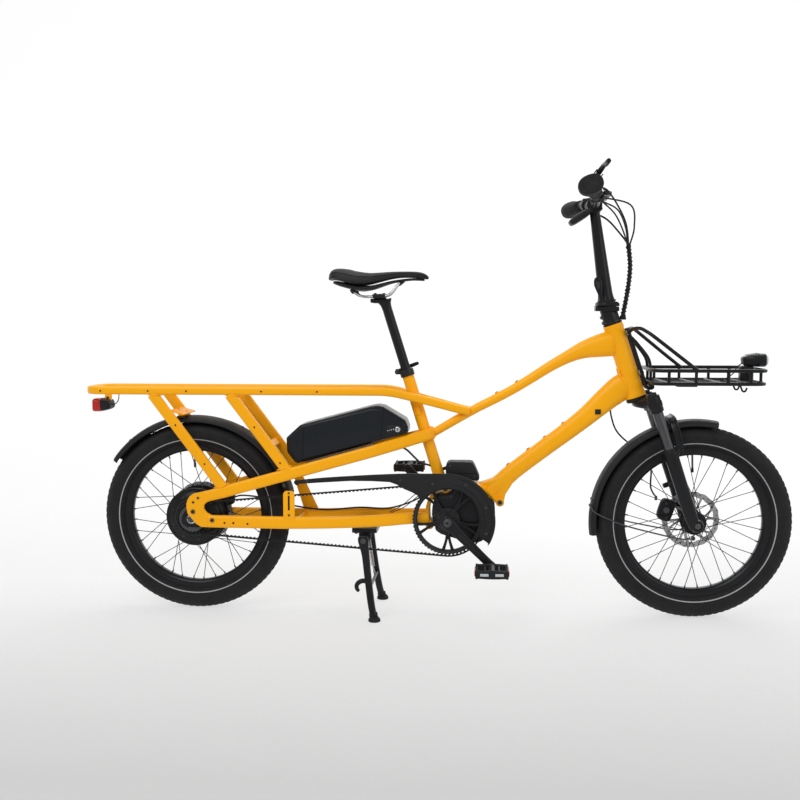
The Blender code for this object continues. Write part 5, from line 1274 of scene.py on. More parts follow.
# ---- cables ----
def wrapped(shape, points, radius, turns_per_metre=95):
    """A bundle with a flat spiral of plastic wound round it."""
    shape.tube(points, radius, PLASTIC, 16, 8)
    path = [Vector(point) for point in spline(points, 10)]
    coil = []
    travelled = 0.0
    for index in range(len(path) - 1):
        span = path[index + 1] - path[index]
        axis, first, second = frame_of(span)
        if index and first.dot(last) < 0:
            first, second = -first, -second
        last = first
        parts = 8
        for part in range(parts):
            along = travelled + span.length * part / parts
            turn = 2 * math.pi * along * turns_per_metre
            centre = path[index] + span * part / parts
            coil.append(centre + (SIDEWAYS * math.cos(turn) + axis.cross(SIDEWAYS) * math.sin(turn))
                    * (radius + 0.0007))
        travelled += span.length
    shape.loft([(*point, 0.0021, 0.001) for point in coil], SATIN_BLACK, SIDEWAYS, 8, 3.0, 1)


def make_control_cables():
    low = [(1.1925, 0, 0.829), (1.1935, 0, 0.841), (1.1985, 0, 0.87), (1.2035, 0, 0.9)]
    high = [(1.2035, 0, 0.9), (1.2075, 0, 0.935), (1.209, 0, 0.97), (1.2065, 0, 1.0), (1.203, 0, 1.025)]
    shape = Shape()
    wrapped(shape, low, 0.0056)
    shape.turned((1.1925, 0, 0.824), (0, 0, 1), [(0.0056, 0), (0.0088, 0.0), (0.0092, 0.004),
            (0.0078, 0.011), (0.0056, 0.0125)], RUBBER, 28)
    shape.piece("cable_bundle_lower", "fork", "black_plastic",
            blend=("frame", "fork", (1.1925, 0, 0.834), (1.2035, 0, 0.898)))
    shape = Shape()
    wrapped(shape, high, 0.0056)
    ends = [((1.133, 0.07, 1.162), (1.214, 0.056, 1.138), (1.2205, 0.02, 1.075), 0.0024),
            (swung_up((1.133, -0.07, 1.162)), (1.142, -0.052, 1.162), (1.19, -0.02, 1.09), 0.0024),
            ((1.118, -0.129, 1.128), (1.156, -0.085, 1.1), (1.185, -0.03, 1.06), 0.0022),
            ((1.119, -0.127, 1.129), (1.165, -0.07, 1.112), (1.192, -0.022, 1.07), 0.0022),
            ((1.105, 0.022, 1.115), (1.146, 0.03, 1.098), (1.18, 0.016, 1.06), 0.0026)]
    for index, (first, second, third, radius) in enumerate(ends):
        turn = 2 * math.pi * index / 5
        join = Vector((1.2035 + 0.003 * math.cos(turn), 0.003 * math.sin(turn), 1.022))
        far = join + Vector((0.002, 0, -0.025))
        shape.tube([first, second, third, join, far], radius, PLASTIC, 12, 8)
    for z in (1.02, 0.905):
        centre = Vector((1.2035, 0, z))
        shape.turned(centre, (0, 0, 1), [(0.0064, -0.002), (0.0074, -0.0014), (0.0074, 0.0014),
                (0.0064, 0.002)], RUBBER, 24, True)
    shape.piece("cable_bundle_upper", "stem", "black_plastic", "control_cables",
            blend=("fork", "stem", (1.2035, 0, 0.9), (1.2035, 0, 1.025)))


def make_front_hose():
    start = [(1.164, 0.01, 0.588), (1.168, 0.014, 0.56), (1.18, 0.022, 0.525), (1.199, 0.032, 0.5),
            (1.226, 0.04, 0.478), (1.25, 0.044, 0.462)]
    shape = Shape()
    shape.tube(start, 0.0024, PLASTIC, 12, 8)
    shape.turned((1.164, 0.01, 0.588), (0.1, 0.1, -1), [(0.0024, 0), (0.0054, 0), (0.005, 0.005),
            (0.0032, 0.009)], RUBBER, 20)
    shape.piece("front_hose_upper", "fork", "black_plastic",
            blend=("frame", "fork", start[0], start[-1]))
    end = [start[-1], (1.268, 0.046, 0.448), (1.283, 0.0465, 0.425), (1.286, 0.046, 0.4),
            (1.285, 0.044, 0.36), (1.291, 0.042, 0.342), (1.3, 0.04, 0.33)]
    shape = Shape()
    shape.tube(end, 0.0024, PLASTIC, 12, 8)
    shape.turned((1.25, 0.044, 0.462), (0.8, 0.1, -0.5), [(0.0026, -0.003), (0.004, -0.002),
            (0.004, 0.002), (0.0026, 0.003)], RUBBER, 16)
    shape.piece("front_hose_lower", "fork", "black_plastic", "front_brake_hose",
            blend=("fork", "fork_lowers", end[1], end[4]))


# ---- drive ----
def belt_path():
    """Points (x, z, outward x, outward z, distance) round the belt's inner line."""
    run = CRANK - REAR
    lean = math.atan2(run.z, run.x)
    wrap = math.acos((RING_BELT_R - COG_BELT_R) / run.length)
    ring_arc, cog_arc = 2 * math.pi - 2 * wrap, 2 * wrap
    straight = run.length * math.sin(wrap)
    parts = ((CRANK, RING_BELT_R, lean - math.pi + wrap, ring_arc),
            (REAR, COG_BELT_R, lean + math.pi - wrap, cog_arc))
    points = []
    travelled = 0.0
    for index, (centre, radius, start, arc) in enumerate(parts):
        steps = max(24, int(arc * radius / 0.0018))
        for step in range(steps):
            angle = start + arc * step / steps
            out = (math.cos(angle), math.sin(angle))
            points.append((centre.x + radius * out[0], centre.z + radius * out[1], *out,
                    travelled + arc * radius * step / steps))
        travelled += arc * radius
        angle = start + arc
        out = (math.cos(angle), math.sin(angle))
        other, other_r = parts[1 - index][0], parts[1 - index][1]
        begin = (centre.x + radius * out[0], centre.z + radius * out[1])
        finish = (other.x + other_r * out[0], other.z + other_r * out[1])
        steps = int(straight / 0.0018)
        for step in range(steps):
            t = step / steps
            points.append((begin[0] + (finish[0] - begin[0]) * t, begin[1] + (finish[1] - begin[1]) * t,
                    *out, travelled + straight * t))
        travelled += straight
    return points, travelled


def make_belt():
    points, total = belt_path()
    teeth = round(total / BELT_PITCH)
    shape = Shape()
    rings = []
    for x, z, out_x, out_z, travelled in points:
        wave = math.cos(2 * math.pi * travelled * teeth / total)
        inside = 0.0006 - 0.0012 * max(-1.0, min(1.0, wave * 2.2))
        ring = []
        for depth, y in ((inside, -0.0058), (0.0042, -0.006), (0.0046, -0.0054), (0.0046, -0.0008),
                (0.004, 0.0), (0.0046, 0.0008), (0.0046, 0.0054), (0.0042, 0.006), (inside, 0.0058)):
            ring.append((x + out_x * depth, BELT_Y + y, z + out_z * depth))
        rings.append(ring)
    shape.rings(rings, RUBBER, True)
    shape.piece("toothed_belt", "frame", "belt_rubber", "drive_belt", angle=50)


def toothed_rim(shape, centre, inner, outer, low, teeth, half, material):
    rings = []
    for step in range(teeth * 6):
        angle = 360 * step / (teeth * 6)
        wave = max(-1.0, min(1.0, math.cos(2 * math.pi * step / 6) * 1.6))
        radius = low + (outer - low) * (0.5 + 0.5 * wave)
        rings.append([around(centre, r, angle, y) for r, y in ((inner, -half), (radius - 0.0005, -half),
                (radius, -half * 0.85), (radius, half * 0.85), (radius - 0.0005, half), (inner, half))])
    shape.rings([[point + Vector((0, BELT_Y, 0)) for point in ring] for ring in rings], material, True)


def make_ring_and_cog():
    shape = Shape()
    toothed_rim(shape, CRANK, 0.085, 0.0986, 0.0965, RING_TEETH, 0.0052, PLASTIC)
    centre = beside(CRANK, BELT_Y)
    for y in (-0.0056, 0.005):
        shape.turned(beside(centre, y), SIDEWAYS, [(0.0885, 0), (0.0945, -0.0004), (0.0955, 0.0002),
                (0.0945, 0.0008), (0.0885, 0.0004)], ALLOY, 96, True)
    shape.turned(centre, SIDEWAYS, [(0.0124, -0.0042), (0.027, -0.0042), (0.032, -0.003), (0.0335, 0.0),
            (0.032, 0.0026), (0.026, 0.0036), (0.0124, 0.0036)], ALLOY, 60, True)
    for index in range(5):
        base = -90 + 72 * index
        for spread in (-1, 1):
            rows = [(*around(CRANK, 0.028, base + spread * 2, BELT_Y), 0.0032, 0.0058),
                    (*around(CRANK, 0.044, base + spread * 3, BELT_Y), 0.003, 0.0044),
                    (*around(CRANK, 0.064, base + spread * 5.5, BELT_Y), 0.0028, 0.0038),
                    (*around(CRANK, 0.091, base + spread * 9, BELT_Y), 0.003, 0.005)]
            shape.loft(rows, ALLOY, SIDEWAYS, 16, 3.0, 5)
        shape.bolt(around(CRANK, 0.0255, base + 36, BELT_Y - 0.004), (0, -1, 0), 0.0034)
        shape.bolt(around(CRANK, 0.0915, base, BELT_Y - 0.0054), (0, -1, 0), 0.0028, DARK_STEEL, 0.0014)
    shape.piece("belt_ring", "crank", "black_plastic", "chainring", origin=CRANK, angle=35)

    shape = Shape()
    toothed_rim(shape, REAR, 0.0062, 0.0386, 0.0365, COG_TEETH, 0.0054, DARK_STEEL)
    shape.turned(beside(REAR, BELT_Y - 0.0056), SIDEWAYS, [(0.0062, -0.0002), (0.03, -0.0002),
            (0.0372, 0.0004), (0.0372, 0.0012), (0.0062, 0.0012)], DARK_STEEL, 60, True)
    for index in range(6):
        shape.hole(around(REAR, 0.0265, 60 * index, BELT_Y - 0.0058), (0, -1, 0), 0.0032, DARK_STEEL)
    shape.turned(beside(REAR, BELT_Y - 0.0052), (0, -1, 0),
            [(0.0062, 0), (0.018, 0), (0.0186, 0.0012), (0.017, 0.0026), (0.0062, 0.0026)], ALLOY, 36,
            True)
    shape.piece("belt_cog", "rear_sprocket", "black_alloy", "rear_sprocket", origin=REAR, angle=35)


def make_cranks():
    for name, node, sign, angle in (("drive_side_crank", "crank_arm_right", -1, CRANK_ANGLE),
            ("off_side_crank", "crank_arm_left", 1, CRANK_ANGLE + math.pi)):
        direction = Vector((math.cos(angle), 0, math.sin(angle)))
        eye = CRANK + direction * CRANK_LENGTH
        y = sign * 0.103
        shape = Shape()
        rows = [(-0.017, 0.0066, 0.011), (-0.012, 0.0084, 0.016), (0.0, 0.0088, 0.0185),
                (0.013, 0.0086, 0.018), (0.033, 0.0078, 0.015), (0.07, 0.007, 0.0132),
                (0.12, 0.0066, 0.0118), (0.155, 0.0068, 0.0116), (0.168, 0.007, 0.0126),
                (0.177, 0.0068, 0.0116), (0.1835, 0.0056, 0.008)]
        shape.loft([(*(CRANK + direction * along + Vector((0, y, 0))), wide, tall) for along, wide,
                tall in rows], ALLOY, SIDEWAYS, 28, 3.0, 5, round_ends=0.0015)
        shape.loft([(*(CRANK + direction * along + Vector((0, y + sign * 0.0068, 0))), 0.0012,
                tall) for along, tall in ((0.045, 0.006), (0.08, 0.0048), (0.14, 0.0042))], PLASTIC,
                SIDEWAYS, 14, 3.0, 4)
        shape.rod(beside(CRANK, y), beside(CRANK, y + sign * 0.0096), 0.0118, DARK_STEEL, 32)
        shape.bolt(beside(CRANK, y + sign * 0.0092), (0, sign, 0), 0.0078, DARK_STEEL, 0.0026)
        shape.rod(beside(eye, y - sign * 0.0075), beside(eye, y + sign * 0.009), 0.0098, ALLOY, 32)
        shape.rod(beside(eye, y + sign * 0.0086), beside(eye, sign * 0.118), 0.0072, STEEL, 6)
        shape.rod(beside(eye, sign * 0.11), beside(eye, sign * 0.2), 0.0049, STEEL, 20)
        if sign > 0:
            shape.rod(beside(CRANK, -0.098), beside(CRANK, 0.102), 0.0119, DARK_STEEL, 36)
        shape.piece(name, "crank", "black_alloy", node, origin=CRANK)
        make_pedal(sign, eye)


def make_pedal(sign, eye):
    shape = Shape()
    x0, x1 = eye.x - 0.044, eye.x + 0.044
    z = eye.z
    for x in (x0 + 0.004, x1 - 0.004):
        shape.loft([(x, 0.123, z, 0.0042, 0.0118), (x, 0.16, z, 0.004, 0.01),
                (x, 0.208, z, 0.0042, 0.0118)], PLASTIC, (1, 0, 0), 24, 4.0, 5)
        for index in range(6):
            y = 0.127 + index * 0.0152
            for lift in (-1, 1):
                shape.rod((x, y, z + lift * 0.0095), (x, y, z + lift * 0.0119), 0.0021, PLASTIC, 10,
                        0.0004)
    for y in (0.1236, 0.2066):
        shape.loft([(x0 + 0.001, y, z, 0.0044, 0.01), (eye.x - 0.012, y, z, 0.0046, 0.0116),
                (eye.x + 0.012, y, z, 0.0046, 0.0116), (x1 - 0.001, y, z, 0.0044, 0.01)], PLASTIC,
                SIDEWAYS, 24, 4.0, 4, round_ends=0.0012)
    shape.turned((eye.x, 0.119, z), SIDEWAYS, [(0.0058, 0.0), (0.01, 0.0), (0.0112, 0.002),
            (0.0112, 0.018), (0.01, 0.024), (0.0096, 0.06), (0.0108, 0.068), (0.0112, 0.083),
            (0.01, 0.092), (0.0058, 0.0926)], PLASTIC, 32, True)
    for x in (eye.x - 0.019, eye.x + 0.019):
        shape.loft([(x, 0.127, z, 0.0028, 0.0085), (x, 0.204, z, 0.0028, 0.0085)], PLASTIC, (1, 0, 0),
                16, 4.0, 1)
    for x, outward in ((x0, -1), (x1, 1)):
        shape.loft([(x + outward * 0.0008, 0.138, z, 0.0016, 0.0072),
                (x + outward * 0.0008, 0.194, z, 0.0016, 0.0072)], RED_LENS, (1, 0, 0), 16, 6.0, 1)
    for start, end in ((-0.031, -0.009), (0.009, 0.031)):
        shape.loft([(eye.x + start, 0.2104, z, 0.0014, 0.0036),
                (eye.x + end, 0.2104, z, 0.0014, 0.0036)], CLEAR_LENS, SIDEWAYS, 16, 6.0, 1)
    shape.turned((eye.x, 0.2112, z), SIDEWAYS, [(0.0066, -0.002), (0.0066, 0.0), (0.005, 0.001)],
            PLASTIC, 24)
    for vert in shape.bm.verts:
        vert.co.y *= sign
    side = "right" if sign < 0 else "left"
    shape.piece(f"platform_pedal_{side}", f"pedal_{side}", "black_plastic", f"pedal_{side}", origin=eye)


def make_motor():
    outline = [(0.6745, 0.283), (0.675, 0.298), (0.6765, 0.312), (0.6825, 0.328), (0.691, 0.34),
            (0.7, 0.3425), (0.724, 0.3425), (0.731, 0.352), (0.74, 0.362), (0.768, 0.361),
            (0.795, 0.3555), (0.812, 0.348), (0.826, 0.3375), (0.84, 0.325), (0.849, 0.311),
            (0.85, 0.29), (0.846, 0.268), (0.838, 0.246), (0.826, 0.223), (0.814, 0.212), (0.8, 0.206),
            (0.77, 0.211), (0.74, 0.218), (0.7, 0.23), (0.685, 0.24), (0.681, 0.262)]
    shape = Shape()
    shape.plate(outline, -0.045, 0.059, MOTOR, 0.0055, 4)
    middle = (0.762, 0.286)
    for scale, low, high in ((0.86, -0.0458, -0.044), (0.8, 0.058, 0.0606)):
        smaller = [(middle[0] + (x - middle[0]) * scale, middle[1] + (z - middle[1]) * scale) for x,
                z in outline]
        shape.plate(smaller, low, high, ALLOY, 0.0009, 2)
    for index in range(0, len(outline), 3):
        x = middle[0] + (outline[index][0] - middle[0]) * 0.9
        z = middle[1] + (outline[index][1] - middle[1]) * 0.9
        shape.bolt((x, -0.045, z), (0, -1, 0), 0.003)
        shape.bolt((x, 0.059, z), (0, 1, 0), 0.003)
    for index in range(9):
        z = 0.252 + index * 0.0095
        shape.loft([(0.806, -0.0462, z, 0.001, 0.0016), (0.838 - abs(index - 4) * 0.002, -0.0462, z,
                0.001, 0.0016)], ALLOY, SIDEWAYS, 10, 3.0, 1)
    shape.turned(beside(CRANK, -0.045), (0, -1, 0), [(0.0126, -0.002), (0.03, -0.002), (0.03, 0.0006),
            (0.028, 0.002), (0.0126, 0.0024)], ALLOY, 48, True)
    shape.turned(beside(CRANK, 0.059), SIDEWAYS, [(0.0126, -0.002), (0.032, -0.002), (0.032, 0.003),
            (0.029, 0.006), (0.018, 0.0075), (0.0126, 0.0075)], ALLOY, 48, True)
    shape.piece("motor_case", "frame", "black_plastic", "motor_housing")

    shape = Shape()
    outline = [(0.7135, 0.385), (0.7118, 0.404), (0.712, 0.42), (0.716, 0.428), (0.724, 0.431),
            (0.78, 0.431), (0.787, 0.429), (0.792, 0.42), (0.8, 0.403), (0.806, 0.388), (0.804, 0.381),
            (0.8, 0.379), (0.782, 0.38), (0.76, 0.3808), (0.74, 0.38), (0.722, 0.379)]
    shape.plate(outline, -0.0295, 0.0295, PLASTIC, 0.0065, 4)
    for x, z in ((0.724, 0.42), (0.792, 0.392)):
        for sign in (-1, 1):
            shape.bolt((x, sign * 0.0293, z), (0, sign, 0), 0.0028, DARK_STEEL, 0.0012)
    # a thin line of painted shade along the cover's drive side, for a seam
    shape.loft([(0.719, -0.03, 0.4, 0.0006, 0.001), (0.8, -0.03, 0.4, 0.0006, 0.001)], PAINTED_SHADE,
            SIDEWAYS, 8, 3.0, 1)
    shape.rod((0.712, 0.01, 0.41), (0.702, 0.01, 0.406), 0.0048, RUBBER, 18)
    shape.piece("motor_top_cover", "frame", "black_plastic", "motor_cover")


def make_belt_guard():
    rim = [around(CRANK, 0.131, degrees) for degrees in range(91, -31, -4)]
    back = [around(CRANK, 0.0925, degrees) for degrees in range(-26, 149, 5)]
    outline = [(0.2955, 0.381), (0.2935, 0.376), (0.296, 0.3712), (0.36, 0.376), (0.45, 0.382),
            (0.51, 0.3822), (0.56, 0.38), (0.58, 0.373), (0.6, 0.361), (0.622, 0.352), (0.636, 0.344)]
    outline += [(point.x, point.z) for point in reversed(back)] + [(point.x,
            point.z) for point in reversed(rim)]
    outline += [(0.66, 0.4042), (0.6, 0.4038), (0.52, 0.3998), (0.45, 0.3952), (0.37, 0.389)]
    shape = Shape()
    shape.plate(outline, -0.0795, -0.0775, PLASTIC, 0.0008, 2)
    lip = [(x, -0.0735, z) for x, z in ((0.296, 0.38), (0.37, 0.3878), (0.45, 0.3938), (0.52, 0.3984),
            (0.6, 0.4022), (0.66, 0.4026), (0.7, 0.403))]
    lip += [(point.x, -0.0735, point.z) for point in (around(CRANK, 0.1292,
            degrees) for degrees in range(86, -32, -9))]
    shape.loft([(*point, 0.0062, 0.0011) for point in lip], PLASTIC, SIDEWAYS, 16, 6.0, 4)
    for degrees in (112, 64, 20, -18):
        place = around(CRANK, 0.111, degrees, -0.0788)
        shape.turned(place, (0, -1, 0), [(0.0075, -0.001), (0.0075, 0.001), (0.006, 0.0014)], PLASTIC,
                24)
        shape.bolt(place, (0, -1, 0), 0.0036, DARK_STEEL, 0.0018)
    for x, z in ((0.33, 0.3795), (0.59, 0.386)):
        shape.bolt((x, -0.0792, z), (0, -1, 0), 0.0036, DARK_STEEL, 0.0018)
    for radius, first in ((0.1215, 80), (0.101, 84)):
        ridge = [around(CRANK, radius, degrees, -0.0797) for degrees in range(first, first - 106, -8)]
        shape.loft([(*point, 0.0008, 0.0012) for point in ridge], ALLOY, SIDEWAYS, 10, 3.0, 4)
    shape.rod((0.66, -0.078, 0.385), (0.668, -0.042, 0.362), 0.0052, PLASTIC, 18)
    shape.rod((0.302, -0.078, 0.376), (0.302, -0.076, 0.37), 0.005, PLASTIC, 18)
    shape.piece("belt_cover", "frame", "black_plastic", "belt_guard")


# ---- battery ----
def battery_outline(inset=0.0):
    points = [(0.27, 0.457), (0.268, 0.497), (0.307, 0.533), (0.505, 0.586), (0.523, 0.588),
            (0.539, 0.585), (0.6, 0.549), (0.608, 0.53), (0.608, 0.514), (0.585, 0.5065), (0.3, 0.4255),
            (0.293, 0.4275)]
    middle = (0.44, 0.506)
    return [(middle[0] + (x - middle[0]) * (1 - inset), middle[1] + (z - middle[1]) * (1 - inset * 2.4))
            for x, z in points]


def make_battery():
    shape = Shape()
    shape.plate(battery_outline(), -0.049, 0.049, BATTERY, 0.006, 4)
    for sign in (-1, 1):
        low, high = sorted((sign * 0.047, sign * 0.0545))
        shape.plate(battery_outline(0.04), low, high, BATTERY, 0.0036, 4)
    panel = [(0.547, 0.513), (0.5465, 0.527), (0.552, 0.5335), (0.564, 0.5355), (0.58, 0.535),
            (0.592, 0.53), (0.596, 0.522), (0.592, 0.515), (0.578, 0.5115), (0.556, 0.509)]
    shape.plate(panel, -0.056, -0.053, PLASTIC, 0.001, 2)
    shape.turned((0.58, -0.0556, 0.5235), (0, -1, 0), [(0.0072, -0.001), (0.0072, 0.001),
            (0.006, 0.0016), (0.003, 0.0016)], STEEL, 30)
    # the key slot, drawn as a small block of painted shade
    shape.block((0.579, -0.0578, 0.52), (0.5808, -0.0568, 0.527), PAINTED_SHADE, 0.0)
    for index in range(4):
        x = 0.553 + index * 0.0052
        shape.rod((x, -0.0548, 0.52 + index * 0.0013), (x, -0.0564, 0.52 + index * 0.0013), 0.0014,
                CLEAR_LENS, 12, 0.0002)
    # thin lines of painted shade for the seams near both ends of the shell, on both sides
    for x, low, high in ((0.313, 0.432, 0.531), (0.534, 0.495, 0.5835)):
        for y in (-0.0546, 0.0546):
            shape.loft([(x, y, low, 0.0008, 0.0009), (x + 0.006, y, high, 0.0008, 0.0009)], PAINTED_SHADE,
                    SIDEWAYS, 8, 3.0, 1)
    shape.rod((0.2725, -0.01, 0.475), (0.2665, -0.01, 0.4755), 0.0105, RUBBER, 30)
    shape.piece("battery_shell", "battery", "battery_plastic", "battery_case", origin=(0.44, 0, 0.5))

    shape = Shape()
    shape.loft([(0.316, 0, 0.415, 0.056, 0.0042), (0.33, 0, 0.419, 0.0583, 0.005),
            (0.49, 0, 0.464, 0.0583, 0.005), (0.506, 0, 0.4688, 0.056, 0.0042)], PLASTIC, SIDEWAYS, 32,
            8.0, 4)
    for x, z in ((0.36, 0.4265), (0.45, 0.452)):
        for sign in (-1, 1):
            shape.block((x + 0.001, sign * 0.0575 - 0.001, z - 0.012),
                    (x + 0.029, sign * 0.0575 + 0.001, z), PLASTIC, 0.0009, 2)
            shape.bolt((x + 0.015, sign * 0.0585, z - 0.006), (0, sign, 0), 0.003, DARK_STEEL, 0.0016)
    for y in (-0.03, 0.03):
        shape.loft([(0.33, y, 0.4145, 0.003, 0.0022), (0.49, y, 0.4595, 0.003, 0.0022)], PLASTIC,
                SIDEWAYS, 14, 4.0, 1)
    shape.piece("battery_rail", "frame", "black_plastic", "battery_tray")


# ---- stand ----
def spring(shape, start, end, radius, wire, turns, material):
    start, end = Vector(start), Vector(end)
    axis, first, second = frame_of(end - start)
    length = (end - start).length
    points = [start + axis * length * step / (turns * 10) + (first * math.cos(2 * math.pi * step / 10)
            + second * math.sin(2 * math.pi * step / 10)) * radius for step in range(turns * 10 + 1)]
    shape.loft([(*point, wire, wire) for point in points], material, axis, 6, 2.0, 1)


def make_stand():
    shape = Shape()
    shape.loft([(0.4525, 0, 0.2392, 0.0575, 0.007), (0.462, 0, 0.2392, 0.0588, 0.0078),
            (0.512, 0, 0.2392, 0.0588, 0.0078), (0.5215, 0, 0.2392, 0.0575, 0.007)], SATIN_BLACK,
            SIDEWAYS, 28, 8.0, 3)
    for low in (-0.044, 0.038):
        outline = [(0.47, 0.238), (0.47, 0.216), (0.4735, 0.2075), (0.48, 0.203), (0.487, 0.202),
                (0.494, 0.203), (0.5005, 0.2075), (0.504, 0.216), (0.504, 0.238)]
        shape.plate(outline, low, low + 0.006, SATIN_BLACK, 0.001, 2)
    for x in (0.463, 0.511):
        for y in (-0.046, 0.046):
            shape.bolt((x, y, 0.2316), (0, 0, -1), 0.0044)
    shape.piece("stand_bracket", "frame", "black_alloy", "kickstand_bracket")

    shape = Shape()
    shape.rod(beside(STAND_PIVOT, -0.088), beside(STAND_PIVOT, 0.088), 0.006, DARK_STEEL, 28)
    for sign in (-1, 1):
        leg = [(0.485, 0.082 * sign, 0.229, 0.0052, 0.013),
                (0.487, 0.0826 * sign, 0.216, 0.0064, 0.0148),
                (0.4895, 0.084 * sign, 0.2, 0.007, 0.0128),
                (0.494, 0.087 * sign, 0.175, 0.0076, 0.0108), (0.501, 0.098 * sign, 0.12, 0.0084, 0.01),
                (0.511, 0.112 * sign, 0.05, 0.0084, 0.0098),
                (0.519, 0.121 * sign, 0.013, 0.0086, 0.0096)]
        shape.loft(leg, SATIN_BLACK, SIDEWAYS, 24, 3.0, 6, round_ends=0.002)
        shape.rod(beside(STAND_PIVOT, 0.088 * sign), beside(STAND_PIVOT, 0.0915 * sign), 0.0085,
                DARK_STEEL, 6)
        shape.turned((0.5215, 0.125 * sign, 0.0), UP, [(0.015, 0.0001), (0.0166, 0.0014),
                (0.017, 0.004), (0.016, 0.008), (0.0128, 0.012), (0.011, 0.0136)], RUBBER, 40)
        shape.turned((0.5185, 0.1205 * sign, 0.012), (0, 0.15 * sign, 1),
                [(0.0118, 0), (0.0122, 0.006), (0.0112, 0.012), (0.01, 0.0125)], RUBBER, 24)
    shape.loft([(0.507, -0.103, 0.088, 0.0044, 0.0044), (0.507, 0.103, 0.088, 0.0044, 0.0044)],
            SATIN_BLACK, (1, 0, 0), 18, 2.0, 1)
    shape.loft([(0.5, -0.103, 0.104, 0.0058, 0.0058), (0.492, -0.105, 0.1085, 0.0066, 0.0066),
            (0.48, -0.107, 0.1065, 0.0068, 0.0066), (0.4715, -0.1082, 0.0975, 0.0066, 0.0062),
            (0.472, -0.1092, 0.087, 0.0058, 0.0054), (0.478, -0.11, 0.08, 0.0048, 0.0044)], SATIN_BLACK,
            SIDEWAYS, 20, 2.6, 6, round_ends=0.002)
    for sign in (-1, 1):
        spring(shape, (0.486, 0.05 * sign, 0.21), (0.499, 0.056 * sign, 0.115), 0.0052, 0.0012, 22,
                STEEL)
    for sign in (-1, 1):
        shape.tube([(0.499, 0.056 * sign, 0.116), (0.503, 0.058 * sign, 0.1),
                (0.507, 0.06 * sign, 0.0905)], 0.0014, STEEL, 8, 5)
    shape.piece("double_leg_stand", "kickstand", "black_alloy", "kickstand_legs", origin=STAND_PIVOT)


# ---- lights ----
def make_lights():
    shape = Shape()
    shape.loft([(-0.2895, 0, 0.5835, 0.032, 0.018), (-0.286, 0, 0.5835, 0.0345, 0.0192),
            (-0.272, 0, 0.5838, 0.0348, 0.0192), (-0.267, 0, 0.584, 0.034, 0.0186)], RED_LENS, SIDEWAYS,
            36, 5.0, 4)
    shape.loft([(-0.269, 0, 0.584, 0.033, 0.0176), (-0.26, 0, 0.5845, 0.032, 0.0172),
            (-0.25, 0, 0.5855, 0.029, 0.015), (-0.242, 0, 0.587, 0.023, 0.011)], PLASTIC, SIDEWAYS, 36,
            4.0, 4, round_ends=0.001)
    for index in range(7):
        y = -0.027 + index * 0.009
        shape.loft([(-0.2902, y, 0.57, 0.0026, 0.0007), (-0.2902, y, 0.597, 0.0026, 0.0007)], RED_LENS,
                SIDEWAYS, 12, 3.0, 1)
    shape.loft([(-0.256, 0, 0.598, 0.0056, 0.002), (-0.2545, 0, 0.605, 0.0056, 0.002),
            (-0.2525, 0, 0.616, 0.0058, 0.006)], PAINT, SIDEWAYS, 18, 5.0, 4)
    shape.plate([(-0.262, 0.59), (-0.244, 0.59), (-0.244, 0.6165), (-0.262, 0.6165)], -0.0058, 0.0058,
            PAINT, 0.0014, 2)
    for sign in (-1, 1):
        shape.bolt((-0.253, 0.0058 * sign, 0.604), (0, sign, 0), 0.0034)
    shape.tube([(-0.245, -0.008, 0.585), (-0.228, -0.015, 0.587), (-0.213, -0.032, 0.6),
            (-0.205, -0.05, 0.615), (-0.2, -0.059, 0.622)], 0.0014, PLASTIC, 8, 6)
    shape.piece("rear_lamp", "frame", "red_lens", "rear_light")

    shape = Shape()
    shape.loft([(1.514, 0, 0.712, 0.015, 0.0085), (1.52, 0, 0.713, 0.0215, 0.0125),
            (1.534, 0, 0.7145, 0.029, 0.0165), (1.552, 0, 0.715, 0.0325, 0.0182),
            (1.568, 0, 0.7152, 0.033, 0.0186), (1.574, 0, 0.7152, 0.0322, 0.018)], SATIN_BLACK,
            SIDEWAYS, 40, 3.2, 5, round_ends=0.001)
    shape.loft([(1.573, 0, 0.7152, 0.0298, 0.0158), (1.577, 0, 0.7152, 0.029, 0.0152),
            (1.5795, 0, 0.7152, 0.025, 0.0125)], CLEAR_LENS, SIDEWAYS, 40, 3.2, 4)
    for index in range(5):
        x = 1.527 + index * 0.0065
        shape.loft([(x, 0, 0.7262 + index * 0.001, 0.02 + index * 0.0015, 0.0042),
                (x + 0.0024, 0, 0.7268 + index * 0.001, 0.02 + index * 0.0015, 0.0042)], ALLOY,
                SIDEWAYS, 16, 3.0, 1)
    shape.block((1.52, -0.0088, 0.699), (1.542, 0.0088, 0.708), SATIN_BLACK, 0.0016, 2)
    shape.bolt((1.531, -0.0086, 0.7025), (0, -1, 0), 0.0036)
    shape.tube([(1.518, 0.006, 0.708), (1.505, 0.008, 0.696), (1.485, 0.008, 0.67), (1.43, 0.01, 0.65),
            (1.33, 0.012, 0.649), (1.275, 0.012, 0.65)], 0.0016, PLASTIC, 8, 6)
    shape.piece("front_lamp", "frame", "black_plastic", "front_light")


# ---- front tray ----
def tray_loop(z, inset):
    y, x0, x1, bend = 0.13 - inset, 1.262, 1.553 - inset, 0.03
    half = [(x0, 0, z), (x0, y * 0.5, z), (x0, y - bend, z), (x0 + 0.0028, y - 0.0165, z),
            (x0 + 0.009, y - 0.009, z), (x0 + 0.0165, y - 0.0028, z), (x0 + bend, y, z),
            (x0 + 0.1, y, z), (x0 + 0.19, y, z), (x1 - bend, y, z), (x1 - 0.0165, y - 0.0028, z),
            (x1 - 0.009, y - 0.009, z), (x1 - 0.0028, y - 0.0165, z), (x1, y - bend, z),
            (x1, y * 0.5, z), (x1, 0, z)]
    return half + [(x, -yy, zz) for x, yy, zz in reversed(half[1:-1])]


